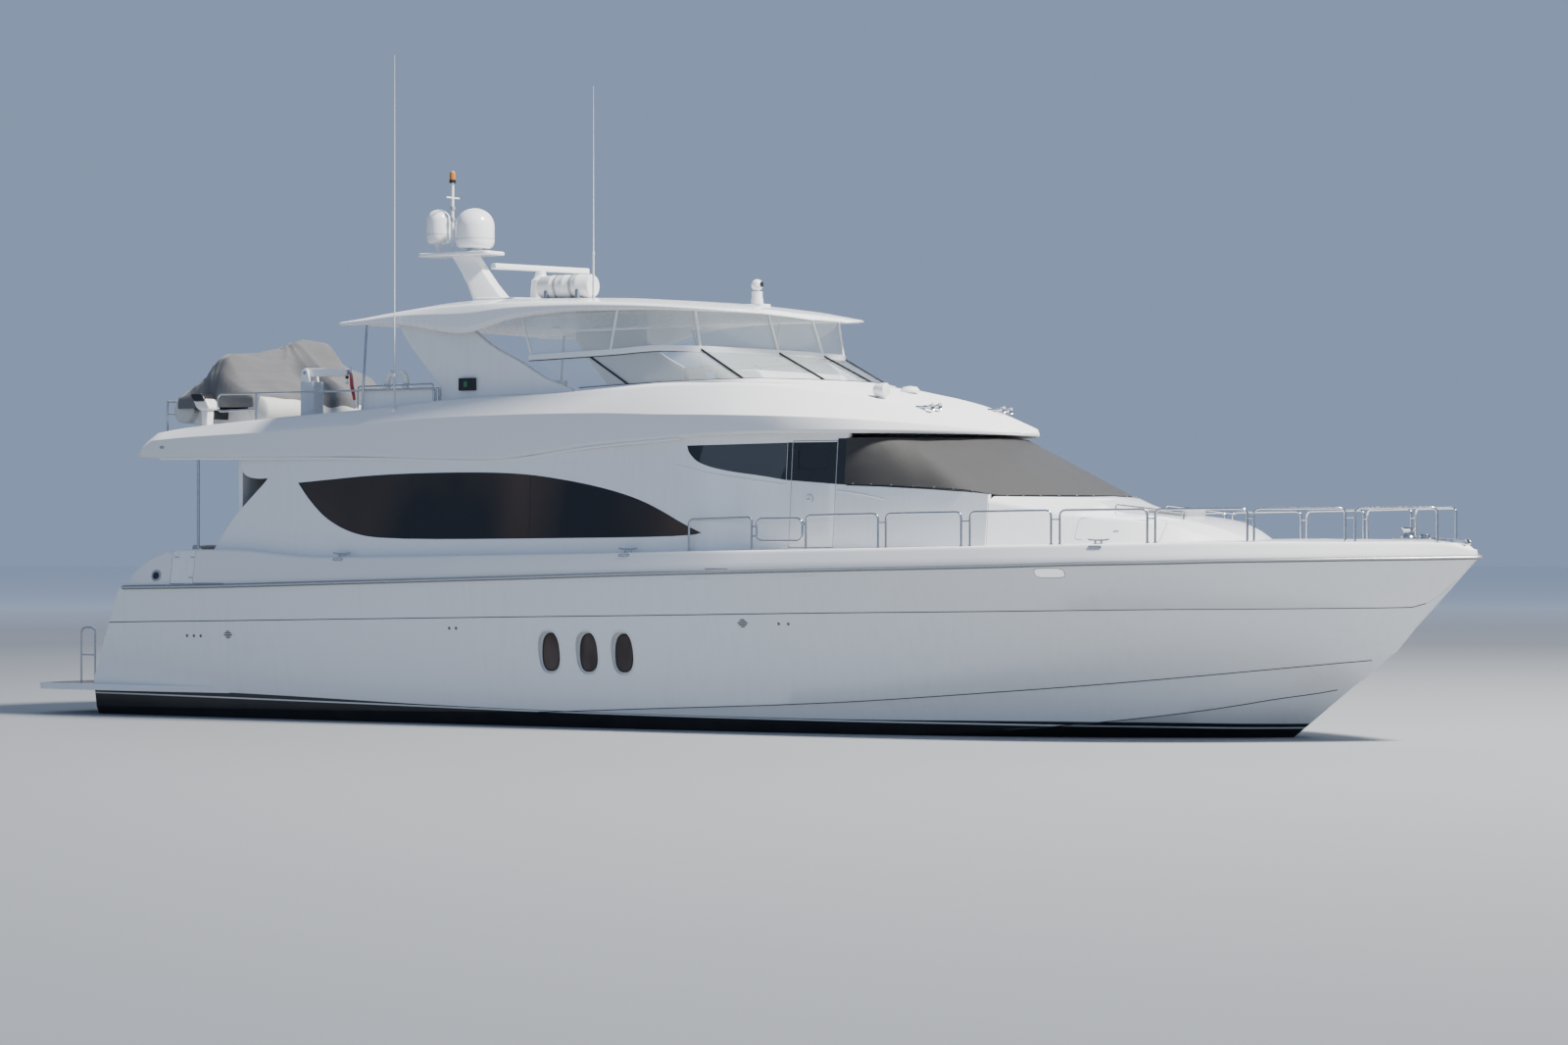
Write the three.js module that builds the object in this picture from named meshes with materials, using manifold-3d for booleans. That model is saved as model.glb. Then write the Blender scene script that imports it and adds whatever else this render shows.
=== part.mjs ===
// Motor yacht, 24.3 m over all, afloat: hull, superstructure, enclosed flybridge and deck gear.
// Millimetres. +X to the bow, +Y to port, +Z up. Origin amidships on the centreline at the waterline.
import * as THREE from 'three';
import { mergeVertices } from 'three/addons/utils/BufferGeometryUtils.js';
import Module from 'manifold-3d';

const wasm = await Module();
wasm.setup();

// Driving dimensions
const SEAT = 0.3;            // gap between a piece and what it rests on
const FAR = 6000;            // reach of a cutting block past any side
const STARBOARD = -1;
const PORT = 1;
const TRANSOM_X = -10850;
const TRANSOM_RAKE = 0.473;  // forward shift of the transom for each unit of height
const TRANSOM_KNEE_Z = 570;
const TRANSOM_TOP_Z = 2068;
const KNEE_SHARE = 0.326;    // where the transom's knee lies between the upper chine and the groove
const KNEE_BULGE = 3;
const RAKE_START_X = -9500;  // stations lean with the transom aft of this
const SOLE_Z = 1950;         // saloon and aft deck sole
const WELL_HALF = 2700;      // half-width of the saloon and aft deck well
const WELL_AFT_X = -9750;
const WELL_FRONT_X = 1400;
const BULKHEAD_X = -7950;    // aft face of the saloon's aft bulkhead
const WALL = 80;             // house side thickness
const BOAT_DECK_Z = 4420;
const COAMING_HALF = 2550;   // inner half-width between the flybridge coamings
const SCREEN_DEPTH = 10;     // glass thickness
const HINGE_PIN_R = 5.4;
const RAIL_R = 17;
const DECK_RAIL_HALF = 2670;  // half-width between the boat deck's rails
const STERN_RAIL = { x: -9900, half: 2150, z: 5100 };
const SHAFT = { y: 1250, propX: -8700, propZ: -1150, r: 38, rise: 0.105 };
const PROPELLER_R = 420;
const HUB_FRONT = 155;
const RADAR = { x: -3940, z: 7140, half: 975 };
const CRANE = { x: -6850, y: -2200, half: 140, top: 5360, pivotX: -6900, pivotZ: 5500 };
const HELM = { faceX: 485, faceZ: 5240, y: 900, r: 190, standoff: 95, tilt: 35.4 };
const CONSOLE = { aft: 350, front: 1180, kneeZ: 5050, brow: 620, browZ: 5430, half: 1250 };
const PIN_GAP = 0.3;

// Columns: x, keel z, lower chine y z, upper chine y z, groove y z, sheer y z
const HULL = [
  [-10850, -700, 2620, -220, 2800, 120, 3000, 1500, 3050, 2066],
  [-9000, -780, 2720, -240, 2900, 140, 3060, 1530, 3100, 2085],
  [-5500, -950, 2800, -240, 2980, 170, 3160, 1600, 3210, 2170],
  [-2200, -1030, 2820, -220, 3000, 220, 3190, 1665, 3240, 2260],
  [200, -1060, 2800, -170, 2970, 320, 3180, 1710, 3240, 2330],
  [3200, -1080, 2620, -50, 2800, 460, 3080, 1770, 3220, 2400],
  [6000, -1020, 2120, 120, 2320, 670, 2780, 1815, 3120, 2460],
  [7500, -880, 1650, 270, 1860, 800, 2420, 1840, 2950, 2500],
  [8600, -560, 1150, 420, 1380, 910, 2020, 1855, 2670, 2520],
  [9350, -10, 720, 560, 970, 990, 1660, 1860, 2360, 2540],
  [10270, 720, 20, 750, 420, 1090, 1100, 1870, 1820, 2555],
  [10810, 1140, 6, 1146, 20, 1158, 720, 1875, 1400, 2565],
  [11310, 1640, 6, 1646, 12, 1660, 240, 1885, 970, 2572],
  [11800, 2150, 6, 2156, 12, 2170, 20, 2192, 480, 2580],
  [12180, 2552, 6, 2558, 12, 2564, 18, 2570, 60, 2588],
];
// Columns: x, inset of the top edge from the sheer, top z, camber
const GUNWALE = [
  [-10100, 30, 2110, 0],
  [-9990, 60, 2210, 0],
  [-9830, 70, 2360, 0],
  [-9550, 80, 2530, 0],
  [-9200, 90, 2650, 0],
  [-8950, 95, 2680, 0],
  [-7960, 100, 2685, 0],
  [-6010, 100, 2570, 0],
  [-2730, 100, 2610, 0],
  [3240, 105, 2700, 20],
  [7390, 110, 2770, 40],
  [9680, 115, 2800, 50],
  [11500, 115, 2800, 30],
  [11900, 60, 2780, 10],
  [12120, 40, 2700, 0],
];
// Columns: x, half-width at z 2700, half-width at z 4200
const HOUSE = [
  [-8500, 2800, 2780],
  [-6000, 2900, 2860],
  [-2000, 2930, 2880],
  [500, 2900, 2810],
  [1600, 2750, 2640],
  [2500, 2620, 2490],
  [4200, 2500, 2330],
  [5800, 2330, 2110],
];
// Columns: x, lower edge y z, crease y z, top edge y z, crown z
const BROW = [
  [-9990, 2790, 4180, 2800, 4230, 2720, 4260, 4262],
  [-9800, 2930, 4170, 2930, 4300, 2790, 4420, 4422],
  [-9550, 2950, 4165, 2950, 4440, 2790, 4570, 4572],
  [-7100, 2950, 4145, 2950, 4550, 2790, 4780, 4782],
  [-5600, 2950, 4140, 2950, 4620, 2780, 4870, 4872],
  [-3850, 2950, 4080, 2950, 4720, 2760, 5000, 5002],
  [-2800, 2950, 4060, 2950, 4740, 2750, 5050, 5052],
  [-1900, 2950, 4140, 2945, 4750, 2740, 5065, 5070],
  [-850, 2950, 4260, 2940, 4745, 2700, 5130, 5140],
  [300, 2945, 4330, 2930, 4710, 2600, 5190, 5210],
  [1240, 2935, 4380, 2920, 4690, 2450, 5180, 5230],
  [2300, 2880, 4400, 2850, 4660, 2100, 5090, 5190],
  [3000, 2720, 4400, 2680, 4630, 1800, 4970, 5060],
  [3500, 2490, 4400, 2440, 4600, 1540, 4860, 4940],
  [4000, 2040, 4400, 1980, 4560, 1220, 4720, 4790],
  [4300, 1620, 4400, 1560, 4525, 960, 4625, 4680],
  [4550, 1130, 4400, 1080, 4490, 660, 4545, 4580],
  [4710, 640, 4400, 600, 4460, 360, 4490, 4505],
  [4780, 250, 4400, 230, 4430, 130, 4445, 4450],
];
// Columns: x, half-width, fascia lower z, fascia top z, crown z, underside z
const HARDTOP = [
  [-5870, 2740, 6215, 6265, 6420, 6240],
  [-5600, 2770, 6205, 6290, 6520, 6270],
  [-4730, 2770, 6180, 6390, 6640, 6330],
  [-4120, 2760, 6080, 6440, 6665, 6340],
  [-3520, 2740, 6000, 6470, 6660, 6340],
  [-2540, 2700, 6220, 6480, 6640, 6345],
  [-1350, 2620, 6315, 6460, 6600, 6345],
  [-620, 2540, 6310, 6430, 6550, 6340],
  [200, 2420, 6290, 6370, 6480, 6320],
  [700, 2200, 6270, 6330, 6410, 6290],
  [1230, 1450, 6245, 6275, 6310, 6255],
  [1500, 550, 6190, 6205, 6220, 6195],
];
// Columns: x, half-width at the foot, shoulder y z, half-width and z of the top
const TRUNK = [
  [5600, 2345, 2240, 3400, 2090, 3475],
  [5930, 2220, 2040, 3335, 1700, 3470],
  [6220, 2130, 1910, 3275, 1250, 3468],
  [6450, 2080, 1820, 3230, 760, 3462],
  [6600, 2050, 1760, 3200, 720, 3400],
  [7000, 1960, 1650, 3160, 900, 3250],
  [7600, 1820, 1460, 3110, 900, 3190],
  [8000, 1700, 1280, 3040, 800, 3140],
  [8400, 1500, 1020, 2920, 650, 3040],
  [8750, 1200, 780, 2780, 450, 2890],
  [8900, 1050, 640, 2700, 350, 2800],
];
// Columns: x, half-width, top z of the bow rails
const RAILS = [
  [890, 2960, 3140],
  [2940, 2960, 3190],
  [5520, 2900, 3230],
  [6900, 2750, 3250],
  [8390, 2460, 3262],
  [9635, 1895, 3272],
  [10778, 1056, 3280],
  [11730, 330, 3285],
];
// Columns: first post x, last post x of each hoop
const HOOPS = [[2940, 4160], [4290, 5520], [5660, 6900], [7030, 8290], [8400, 9570], [9650, 10690],
  [10800, 11730]];
const AFT_HOOP = [890, 2000];
const GATE = { aft: 2085, front: 2880, low: 2820, high: 3150 };
const QUARTER_GATE = { aft: -9040, front: -8567, low: 2140, depth: 60, play: 12, hingePlay: 9 };
const DOOR = { aft: 2430, front: 3150, low: 2730, high: 4290, depth: 50, play: 8 };
const RUDDER = { x: -9550, top: -700, foot: -1480, stockR: 40, bossZ: -560, bossR: 80, bossHeight: 200 };
const HATCH = { x: 10150, half: 300, low: 2790, high: 2835, play: 8 };
const BULKHEAD = { half: 2690, top: 4300, depth: 80, doorLow: 2010, doorHigh: 4020, doorHalf: 1500 };
const TENDER = { x: -8850, half: 780, stern: -2050, bow: 2100, tubeZ: 4950, tubeR: 210 };
const STAIR = { run: 220, rise: 243, count: 6, inner: 2000, outer: 2780 };
const LANDING = { aft: 130, front: 100, half: 2455 };   // deck cut away inside the pilothouse doors
const FOREBODY_X = 7500;     // stations stand closer together forward of this
const TRUNK_FOOT_Z = 2600;
const TRUNK_CAMBER = 12;
const WING_Y = [2330, 2450]; // inner and outer faces
// Upper ends of the windscreen's side sections, whose lower ends follow the house side
const SCREEN_SIDE_TOP = [[3300, -2402, 4330], [3600, -2240, 4330], [3830, -2040, 4330], [3960, -1850, 4325]];
// Columns: lower x y z, upper x y z of the windscreen's front sections
const SCREEN_FRONT = [
  [5620, -2000, 3460, 4080, -1640, 4325],
  [5930, -1600, 3460, 4280, -1300, 4330],
  [6220, -1030, 3460, 4500, -850, 4335],
  [6400, -350, 3460, 4660, -300, 4340],
];
// Lines of the flybridge enclosure to starboard: sill, middle rail and head
const SILL = [[-1500, -2390, 5120], [-540, -2400, 5160], [900, -2330, 5200], [1380, -2150, 5215],
  [1930, -700, 5225]];
const MIDDLE = [[-2440, -2390, 5640], [-940, -2370, 5690], [-90, -2300, 5735], [500, -2060, 5715],
  [1000, -650, 5695]];
const HEAD = [[-2600, -2380, 6280], [-860, -2300, 6330], [-60, -2220, 6320], [400, -2060, 6310],
  [790, -620, 6310]];

// Outlines in x, z
const SIDE_OUTLINE = [[-8500, 2500], [-8350, 2700], [-7960, 3170], [-7520, 3560], [-7330, 3720],
  [-7230, 3815], [-7680, 3860], [-7820, 4110], [-7860, 4460], [3330, 4460], [3330, 3630], [3900, 3610],
  [4600, 3570], [5200, 3530], [5590, 3488], [5590, 2500]];
const SALOON_WINDOW = [[-6600, 3740], [-6390, 3500], [-6070, 3220], [-5760, 3050], [-5390, 2930],
  [-4920, 2870], [-1700, 2860], [880, 2910], [1020, 2940], [720, 3080], [380, 3250], [40, 3400],
  [-360, 3530], [-870, 3650], [-1450, 3750], [-2090, 3830], [-2860, 3870], [-4240, 3870], [-5150, 3840],
  [-5900, 3790]];
const SIDE_WINDOW = [[740, 4240], [770, 4150], [890, 4020], [1060, 3940], [1390, 3860], [1950, 3780],
  [2340, 3715], [2340, 4270]];
const WING_OUTLINE = [[-4100, 4900], [-4100, 5210], [-4910, 6170], [-4910, 6300], [-3460, 6300],
  [-3460, 6090], [-2560, 5570], [-1600, 5140], [-1600, 4900]];

// Shape helpers

function solid(geometry) {
  const bare = geometry.clone();
  bare.deleteAttribute('normal');
  bare.deleteAttribute('uv');
  const merged = mergeVertices(bare, 1e-3);
  return new wasm.Manifold(new wasm.Mesh({
    numProp: 3,
    vertProperties: Float32Array.from(merged.attributes.position.array),
    triVerts: Uint32Array.from(merged.index.array),
  }));
}

function union(parts) {
  return parts.reduce((sum, part) => sum.add(part));
}

function box(low, high) {
  const size = high.map((value, axis) => value - low[axis]);
  const geometry = new THREE.BoxGeometry(...size);
  geometry.translate(...low.map((value, axis) => value + size[axis] / 2));
  return solid(geometry);
}

// Monotone cubic reading of a table at x; the first column is x
function read(table, x) {
  const last = table.length - 1;
  const at = Math.min(Math.max(x, table[0][0]), table[last][0]);
  let k = 0;
  while (k < last - 1 && at > table[k + 1][0]) k += 1;
  const span = table[k + 1][0] - table[k][0];
  const t = (at - table[k][0]) / span;
  const slope = (i, column) => (table[i + 1][column] - table[i][column]) / (table[i + 1][0] - table[i][0]);
  const tangent = (i, column) => {
    if (i === 0) return slope(0, column);
    if (i === last) return slope(last - 1, column);
    const [a, b] = [slope(i - 1, column), slope(i, column)];
    return a * b <= 0 ? 0 : (2 * a * b) / (a + b);
  };
  return table[0].map((_, column) => {
    const [p, q] = [table[k][column], table[k + 1][column]];
    const [m, n] = [tangent(k, column) * span, tangent(k + 1, column) * span];
    return p * (2 * t ** 3 - 3 * t ** 2 + 1) + m * (t ** 3 - 2 * t ** 2 + t)
      + q * (3 * t ** 2 - 2 * t ** 3) + n * (t ** 3 - t ** 2);
  });
}

// The table's own stations, with others between where they lie further apart than the given step
function stations(table, step) {
  const list = [];
  for (let k = 0; k < table.length - 1; k += 1) {
    const [a, b] = [table[k][0], table[k + 1][0]];
    const parts = Math.max(1, Math.round((b - a) / step));
    for (let i = 0; i < parts; i += 1) list.push(a + ((b - a) * i) / parts);
  }
  list.push(table[table.length - 1][0]);
  return list;
}

// Level strips across a ring that is its own mirror image; nothing for any other ring
function mirrorFaces(ring) {
  const count = ring.length;
  const opposite = (i) => (ring[0][1] === 0 ? (count - i) % count : count - 1 - i);
  const own = ring.every(([x, y, z], i) => {
    const [otherX, otherY, otherZ] = ring[opposite(i)];
    return Math.abs(x - otherX) + Math.abs(y + otherY) + Math.abs(z - otherZ) < 1e-6;
  });
  if (!own) return [];
  const faces = [];
  const fan = (centre, p, q) => faces.push([centre, p, q], [centre, q, opposite(q)],
    [centre, opposite(q), opposite(p)]);
  const keel = ring[0][1] === 0;
  const top = Math.floor(count / 2);
  const crowned = ring[top][1] === 0;
  if (keel) fan(0, 1, 2);
  const last = crowned ? top - 2 : top - (count % 2 === 0 ? 1 : 0);
  for (let i = keel ? 2 : 0; i < last; i += 1) {
    faces.push([i, i + 1, opposite(i + 1)], [i, opposite(i + 1), opposite(i)]);
  }
  if (crowned) {
    fan(top, opposite(top - 1), opposite(top - 2));
  }
  return faces;
}

function capFaces(ring, first) {
  const strips = mirrorFaces(ring);
  if (strips.length > 0) return strips.map((face) => face.map((i) => i + first));
  const normal = new THREE.Vector3();
  ring.forEach((p, i) => {
    const q = ring[(i + 1) % ring.length];
    normal.x += (p[1] - q[1]) * (p[2] + q[2]);
    normal.y += (p[2] - q[2]) * (p[0] + q[0]);
    normal.z += (p[0] - q[0]) * (p[1] + q[1]);
  });
  const sizes = [Math.abs(normal.x), Math.abs(normal.y), Math.abs(normal.z)];
  const drop = sizes.indexOf(Math.max(...sizes));
  const flat = ring.map((p) => new THREE.Vector2(...p.filter((_, axis) => axis !== drop)));
  const ringArea = Math.sign(THREE.ShapeUtils.area(flat));
  return THREE.ShapeUtils.triangulateShape(flat, []).map((face) => {
    const area = Math.sign(THREE.ShapeUtils.area(face.map((i) => flat[i])));
    const [a, b, c] = face.map((i) => i + first);
    return area === ringArea ? [a, b, c] : [a, c, b];
  });
}

// A closed skin through rings of equal point count, flat at both ends or joined end to end.
// Each patch is split along its shorter diagonal, measured on the guide rings, so that a skin and its
// grown copy are split alike.
function loft(rings, joined = false, guide = rings) {
  const count = rings[0].length;
  const points = rings.flat();
  const guides = guide.flat();
  const reach = (a, b) => Math.hypot(...guides[a].map((value, axis) => value - guides[b][axis]));
  const faces = [];
  const spans = joined ? rings.length : rings.length - 1;
  for (let r = 0; r < spans; r += 1) {
    const next = ((r + 1) % rings.length) * count;
    for (let i = 0; i < count; i += 1) {
      const j = (i + 1) % count;
      const [a, b, c, d] = [r * count + i, r * count + j, next + j, next + i];
      if (reach(a, c) < reach(b, d) + 1e-3) faces.push([a, b, c], [a, c, d]);
      else faces.push([a, b, d], [b, c, d]);
    }
  }
  if (!joined) {
    capFaces(rings[0], 0).forEach(([a, b, c]) => faces.push([a, c, b]));
    faces.push(...capFaces(rings[rings.length - 1], (rings.length - 1) * count));
  }
  const volume = faces.reduce((sum, face) => {
    const [a, b, c] = face.map((i) => new THREE.Vector3(...points[i]));
    return sum + a.dot(b.cross(c));
  }, 0);
  const geometry = new THREE.BufferGeometry();
  geometry.setAttribute('position', new THREE.Float32BufferAttribute(points.flat(), 3));
  geometry.setIndex(faces.map(([a, b, c]) => (volume < 0 ? [a, c, b] : [a, b, c])).flat());
  return solid(geometry);
}

// A section of [out, up] points carried along a polyline with mitred corners
function sweep(path, section, joined = false) {
  const points = path.map((p) => new THREE.Vector3(...p));
  const count = points.length;
  const along = points.map((p, i) => points[(i + 1) % count].clone().sub(p).normalize());
  if (!joined) along[count - 1] = along[count - 2];
  const upright = Math.abs(along[0].z) > 0.9 ? new THREE.Vector3(1, 0, 0) : new THREE.Vector3(0, 0, 1);
  const out = along[0].clone().cross(upright).normalize();
  const up = out.clone().cross(along[0]);
  let ring = section.map(([u, v]) => points[0].clone().addScaledVector(out, u).addScaledVector(up, v));
  const rings = [];
  points.forEach((point, i) => {
    const before = i > 0 ? along[i - 1] : along[joined ? count - 1 : 0];
    const plane = before.clone().add(along[i]).normalize();
    const travel = i > 0 ? along[i - 1] : along[0];
    ring = ring.map((p) => {
      const reach = point.clone().sub(p).dot(plane) / travel.dot(plane);
      return p.clone().addScaledVector(travel, reach);
    });
    rings.push(ring.map((p) => p.toArray()));
  });
  return loft(rings, joined);
}

function circle(radius, sides) {
  return Array.from({ length: sides }, (_, i) => {
    const angle = (2 * Math.PI * (i + 0.5)) / sides;
    return [radius * Math.cos(angle), radius * Math.sin(angle)];
  });
}

function rectangle(width, height) {
  return [[-width / 2, -height / 2], [width / 2, -height / 2], [width / 2, height / 2],
    [-width / 2, height / 2]];
}

function tube(path, radius, sides = 6, joined = false) {
  return sweep(path, circle(radius, sides), joined);
}

function bar(path, width, height) {
  return sweep(path, rectangle(width, height));
}

// A rectangle's outline with round corners
function roundedOutline(low, high, radius, steps = 3) {
  const corners = [[high[0], high[1], 0], [low[0], high[1], 1], [low[0], low[1], 2], [high[0], low[1], 3]];
  return corners.flatMap(([x, y, quarter]) => Array.from({ length: steps + 1 }, (_, i) => {
    const angle = (Math.PI / 2) * (quarter + i / steps);
    const centreX = x + (x === high[0] ? -radius : radius);
    const centreY = y + (y === high[1] ? -radius : radius);
    return [centreX + radius * Math.cos(angle), centreY + radius * Math.sin(angle)];
  }));
}

// An outline in the plane across an axis, extruded along that axis
function prism(outline, low, high, axis) {
  const shape = new THREE.Shape(outline.map(([u, v]) => new THREE.Vector2(u, v)));
  const geometry = new THREE.ExtrudeGeometry(shape, { depth: high - low, bevelEnabled: false });
  if (axis === 'z') geometry.translate(0, 0, low);
  if (axis === 'y') geometry.rotateX(Math.PI / 2).translate(0, high, 0);
  if (axis === 'x') {
    geometry.rotateX(Math.PI / 2).rotateZ(Math.PI / 2).translate(low, 0, 0);
  }
  return solid(geometry);
}

function lathe(profile, centre, segments = 20) {
  const geometry = new THREE.LatheGeometry(profile.map(([r, z]) => new THREE.Vector2(r, z)), segments);
  geometry.rotateX(Math.PI / 2).translate(...centre);
  return solid(geometry);
}

// An outline drawn in by a distance along its corners' bisectors
function inset(outline, distance) {
  const turn = Math.sign(THREE.ShapeUtils.area(outline.map((p) => new THREE.Vector2(...p))));
  return outline.map((p, i) => {
    const q = new THREE.Vector2(...outline[(i + 1) % outline.length]).sub(new THREE.Vector2(...p));
    const o = new THREE.Vector2(...p).sub(new THREE.Vector2(
      ...outline[(i + outline.length - 1) % outline.length]));
    const normal = q.normalize().add(o.normalize()).normalize();
    return [p[0] - normal.y * distance * turn, p[1] + normal.x * distance * turn];
  });
}

function mirrored(part) {
  return part.mirror([0, 1, 0]);
}

function onSide(part, side) {
  return side === STARBOARD ? part : mirrored(part);
}

// A half-section from the centreline outwards, given to starboard, closed by its own mirror image
function bothSides(half) {
  const port = half.filter(([, y]) => y !== 0).map(([x, y, z]) => [x, -y, z]).reverse();
  return [...half, ...port];
}

// Hull and deck

// Where a hull station's sheer lies along the boat, because the stations lean with the transom aft
function sheerPlace(station) {
  const z = read(HULL, station)[9];
  return station + leanAt(station) * TRANSOM_RAKE * (z - TRANSOM_KNEE_Z);
}

function leanAt(station) {
  return Math.min(Math.max((RAKE_START_X - station) / (RAKE_START_X - TRANSOM_X), 0), 1);
}

function stationOf(x) {
  const shift = (TRANSOM_RAKE * (TRANSOM_TOP_Z - TRANSOM_KNEE_Z)) / (RAKE_START_X - TRANSOM_X);
  return x > RAKE_START_X ? x : RAKE_START_X + (x - RAKE_START_X) / (1 - shift);
}

// Hull and deck share their stations, so that they meet along one line
const STATIONS = [...new Set([
  ...stations(HULL, 1200),
  ...stations(HULL.filter(([x]) => x >= FOREBODY_X), 400),
  ...GUNWALE.map(([x]) => stationOf(x)),
])].sort((a, b) => a - b);

function hullRings(grow) {
  return STATIONS.map((x, i) => {
    const [, keel, y1, z1, y2, z2, y3, z3, y4, z4] = read(HULL, x);
    const end = i === 0 ? -grow : (i === STATIONS.length - 1 ? grow : 0);
    const place = (y, z) => [x + end + leanAt(x) * TRANSOM_RAKE * Math.max(0, z - TRANSOM_KNEE_Z), y, z];
    const knee = place(-y2 - (y3 - y2) * KNEE_SHARE - KNEE_BULGE - grow, z2 + (z3 - z2) * KNEE_SHARE);
    return bothSides([place(0, keel - grow), place(-y1 - grow, z1 - grow), place(-y2 - grow, z2), knee,
      place(-y3 - grow, z3), [sheerPlace(x) + end, -y4 - grow, z4 + grow]]);
  });
}

function hullLoft(grow = 0) {
  return loft(hullRings(grow), false, hullRings(0));
}

function deckRings(grow) {
  const first = stationOf(GUNWALE[0][0]) - 1;
  const kept = STATIONS.filter((station) => station > first);
  return kept.map((station, i) => {
    const [, , , , , , , , sheerY, sheerZ] = read(HULL, station);
    const end = i === 0 ? -grow : (i === kept.length - 1 ? grow : 0);
    const x = sheerPlace(station) + end;
    const [, insetY, top, camber] = read(GUNWALE, x);
    return bothSides([[x, -sheerY - grow, sheerZ + SEAT - grow], [x, -sheerY - grow, sheerZ + 8],
      [x, -sheerY + insetY - grow, top - 12],
      [x, -sheerY + insetY + Math.min(30, sheerY - insetY - 8), top + grow],
      [x, 0, top + camber + grow]]);
  });
}

function deckLoft(grow = 0) {
  return loft(deckRings(grow), false, deckRings(0));
}

function deckTopAt(x) {
  return read(GUNWALE, x)[2];
}

// Six steps from the aft deck down to the swimming platform, on each quarter
function stairWell() {
  const { run, rise, count, inner, outer } = STAIR;
  const clear = SOLE_Z + 1500;
  const outline = [[WELL_AFT_X + 5, clear], [WELL_AFT_X + 5, SOLE_Z]];
  for (let i = 0; i < count; i += 1) {
    outline.push([WELL_AFT_X - run * i, SOLE_Z - rise * i], [WELL_AFT_X - run * i, SOLE_Z - rise * (i + 1)]);
  }
  const end = WELL_AFT_X - run * count - 300;
  outline.push([end, SOLE_Z - rise * count], [end, clear]);
  const starboard = prism(outline, -outer, -inner, 'y');
  return starboard.add(mirrored(starboard));
}

function well() {
  return box([WELL_AFT_X, -WELL_HALF, SOLE_Z], [WELL_FRONT_X, WELL_HALF, FAR]);
}

// The bulwark between the two stairs, moulded in one with the transom
function transomBlock(grow = 0) {
  const half = STAIR.inner + grow;
  return box([TRANSOM_X, -half, SOLE_Z], [WELL_AFT_X + grow, half, FAR]);
}

function hull() {
  const { x, bossZ, bossR, bossHeight } = RUDDER;
  const rootHalf = STAIR.inner - 10;
  const root = box([WELL_AFT_X - 300, -rootHalf, SOLE_Z], [WELL_AFT_X, rootHalf, SOLE_Z + 150]);
  const bulwark = deckLoft().intersect(transomBlock());
  const boss = tube([[x, -SHAFT.y, bossZ], [x, -SHAFT.y, bossZ + bossHeight]], bossR, 12);
  return union([hullLoft().subtract(well()).subtract(stairWell()), bulwark, root, boss, mirrored(boss)]);
}

function quarterGateOpening(side, play, hingePlay) {
  const low = Math.min(side * 2600, side * 3300);
  return box([QUARTER_GATE.aft - play, low, QUARTER_GATE.low - play],
    [QUARTER_GATE.front + hingePlay, low + 700, FAR]);
}

// Lower and upper ends of the quarter gate's hinge line, on the bulwark's outer face
function quarterHingeLine(side) {
  const x = QUARTER_GATE.front + QUARTER_GATE.hingePlay - PIN_GAP - HINGE_PIN_R;
  const [, insetY, top] = read(GUNWALE, x);
  const [, , , , , , , , sheerY, sheerZ] = read(HULL, x);
  const at = (z) => [x, side * (sheerY - (insetY * (z - sheerZ)) / (top - sheerZ)), z];
  return [at(2200), at(2600)];
}

function hoop(first, last, side) {
  const corner = 90;
  const spot = (x, drop) => {
    const [, y, z] = read(RAILS, x);
    return [x, side * y, z - drop];
  };
  const foot = (x) => [x, side * read(RAILS, x)[1], deckTopAt(x) - 20];
  return tube([foot(first), spot(first, corner), spot(first + corner * 0.3, corner * 0.3),
    spot(first + corner, 0), spot((first + last) / 2, 0), spot(last - corner, 0),
    spot(last - corner * 0.3, corner * 0.3), spot(last, corner), foot(last)], RAIL_R);
}

function deck() {
  const pilothouseWell = box([WELL_FRONT_X - 10, -2250, 0], [5560, 2250, FAR]);
  const doorLanding = box([DOOR.aft - LANDING.aft, -LANDING.half, 0],
    [DOOR.front + LANDING.front, LANDING.half, FAR]);
  let part = deckLoft().subtract(well()).subtract(stairWell()).subtract(pilothouseWell)
    .subtract(doorLanding).subtract(transomBlock(5));
  [STARBOARD, PORT].forEach((side) => {
    part = part.subtract(quarterGateOpening(side, QUARTER_GATE.play, QUARTER_GATE.hingePlay));
    part = part.add(hoop(...AFT_HOOP, side));
  });
  return part.subtract(foredeckHatchWell());
}

function quarterGate(side) {
  const inside = deckLoft().translate([0, -side * QUARTER_GATE.depth, 0]);
  return deckLoft().intersect(quarterGateOpening(side, 0, 0)).subtract(inside)
    .add(tube(quarterHingeLine(side), HINGE_PIN_R, 8));
}

function rubRail() {
  const starboard = STATIONS.filter((station) => sheerPlace(station) > -10090).map((station) => {
    const [, , , , , , , , sheerY, sheerZ] = read(HULL, station);
    return [sheerPlace(station), -sheerY, sheerZ];
  });
  const port = starboard.map(([x, y, z]) => [x, -y, z]).reverse();
  const section = [[0.45, -34], [40, -26], [48, 0], [40, 26], [0.45, 34]];
  const rail = sweep([...starboard, [12205, -18, 2590], [12205, 18, 2590], ...port], section);
  return rail.subtract(hullLoft(SEAT)).subtract(deckLoft(SEAT));
}

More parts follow.
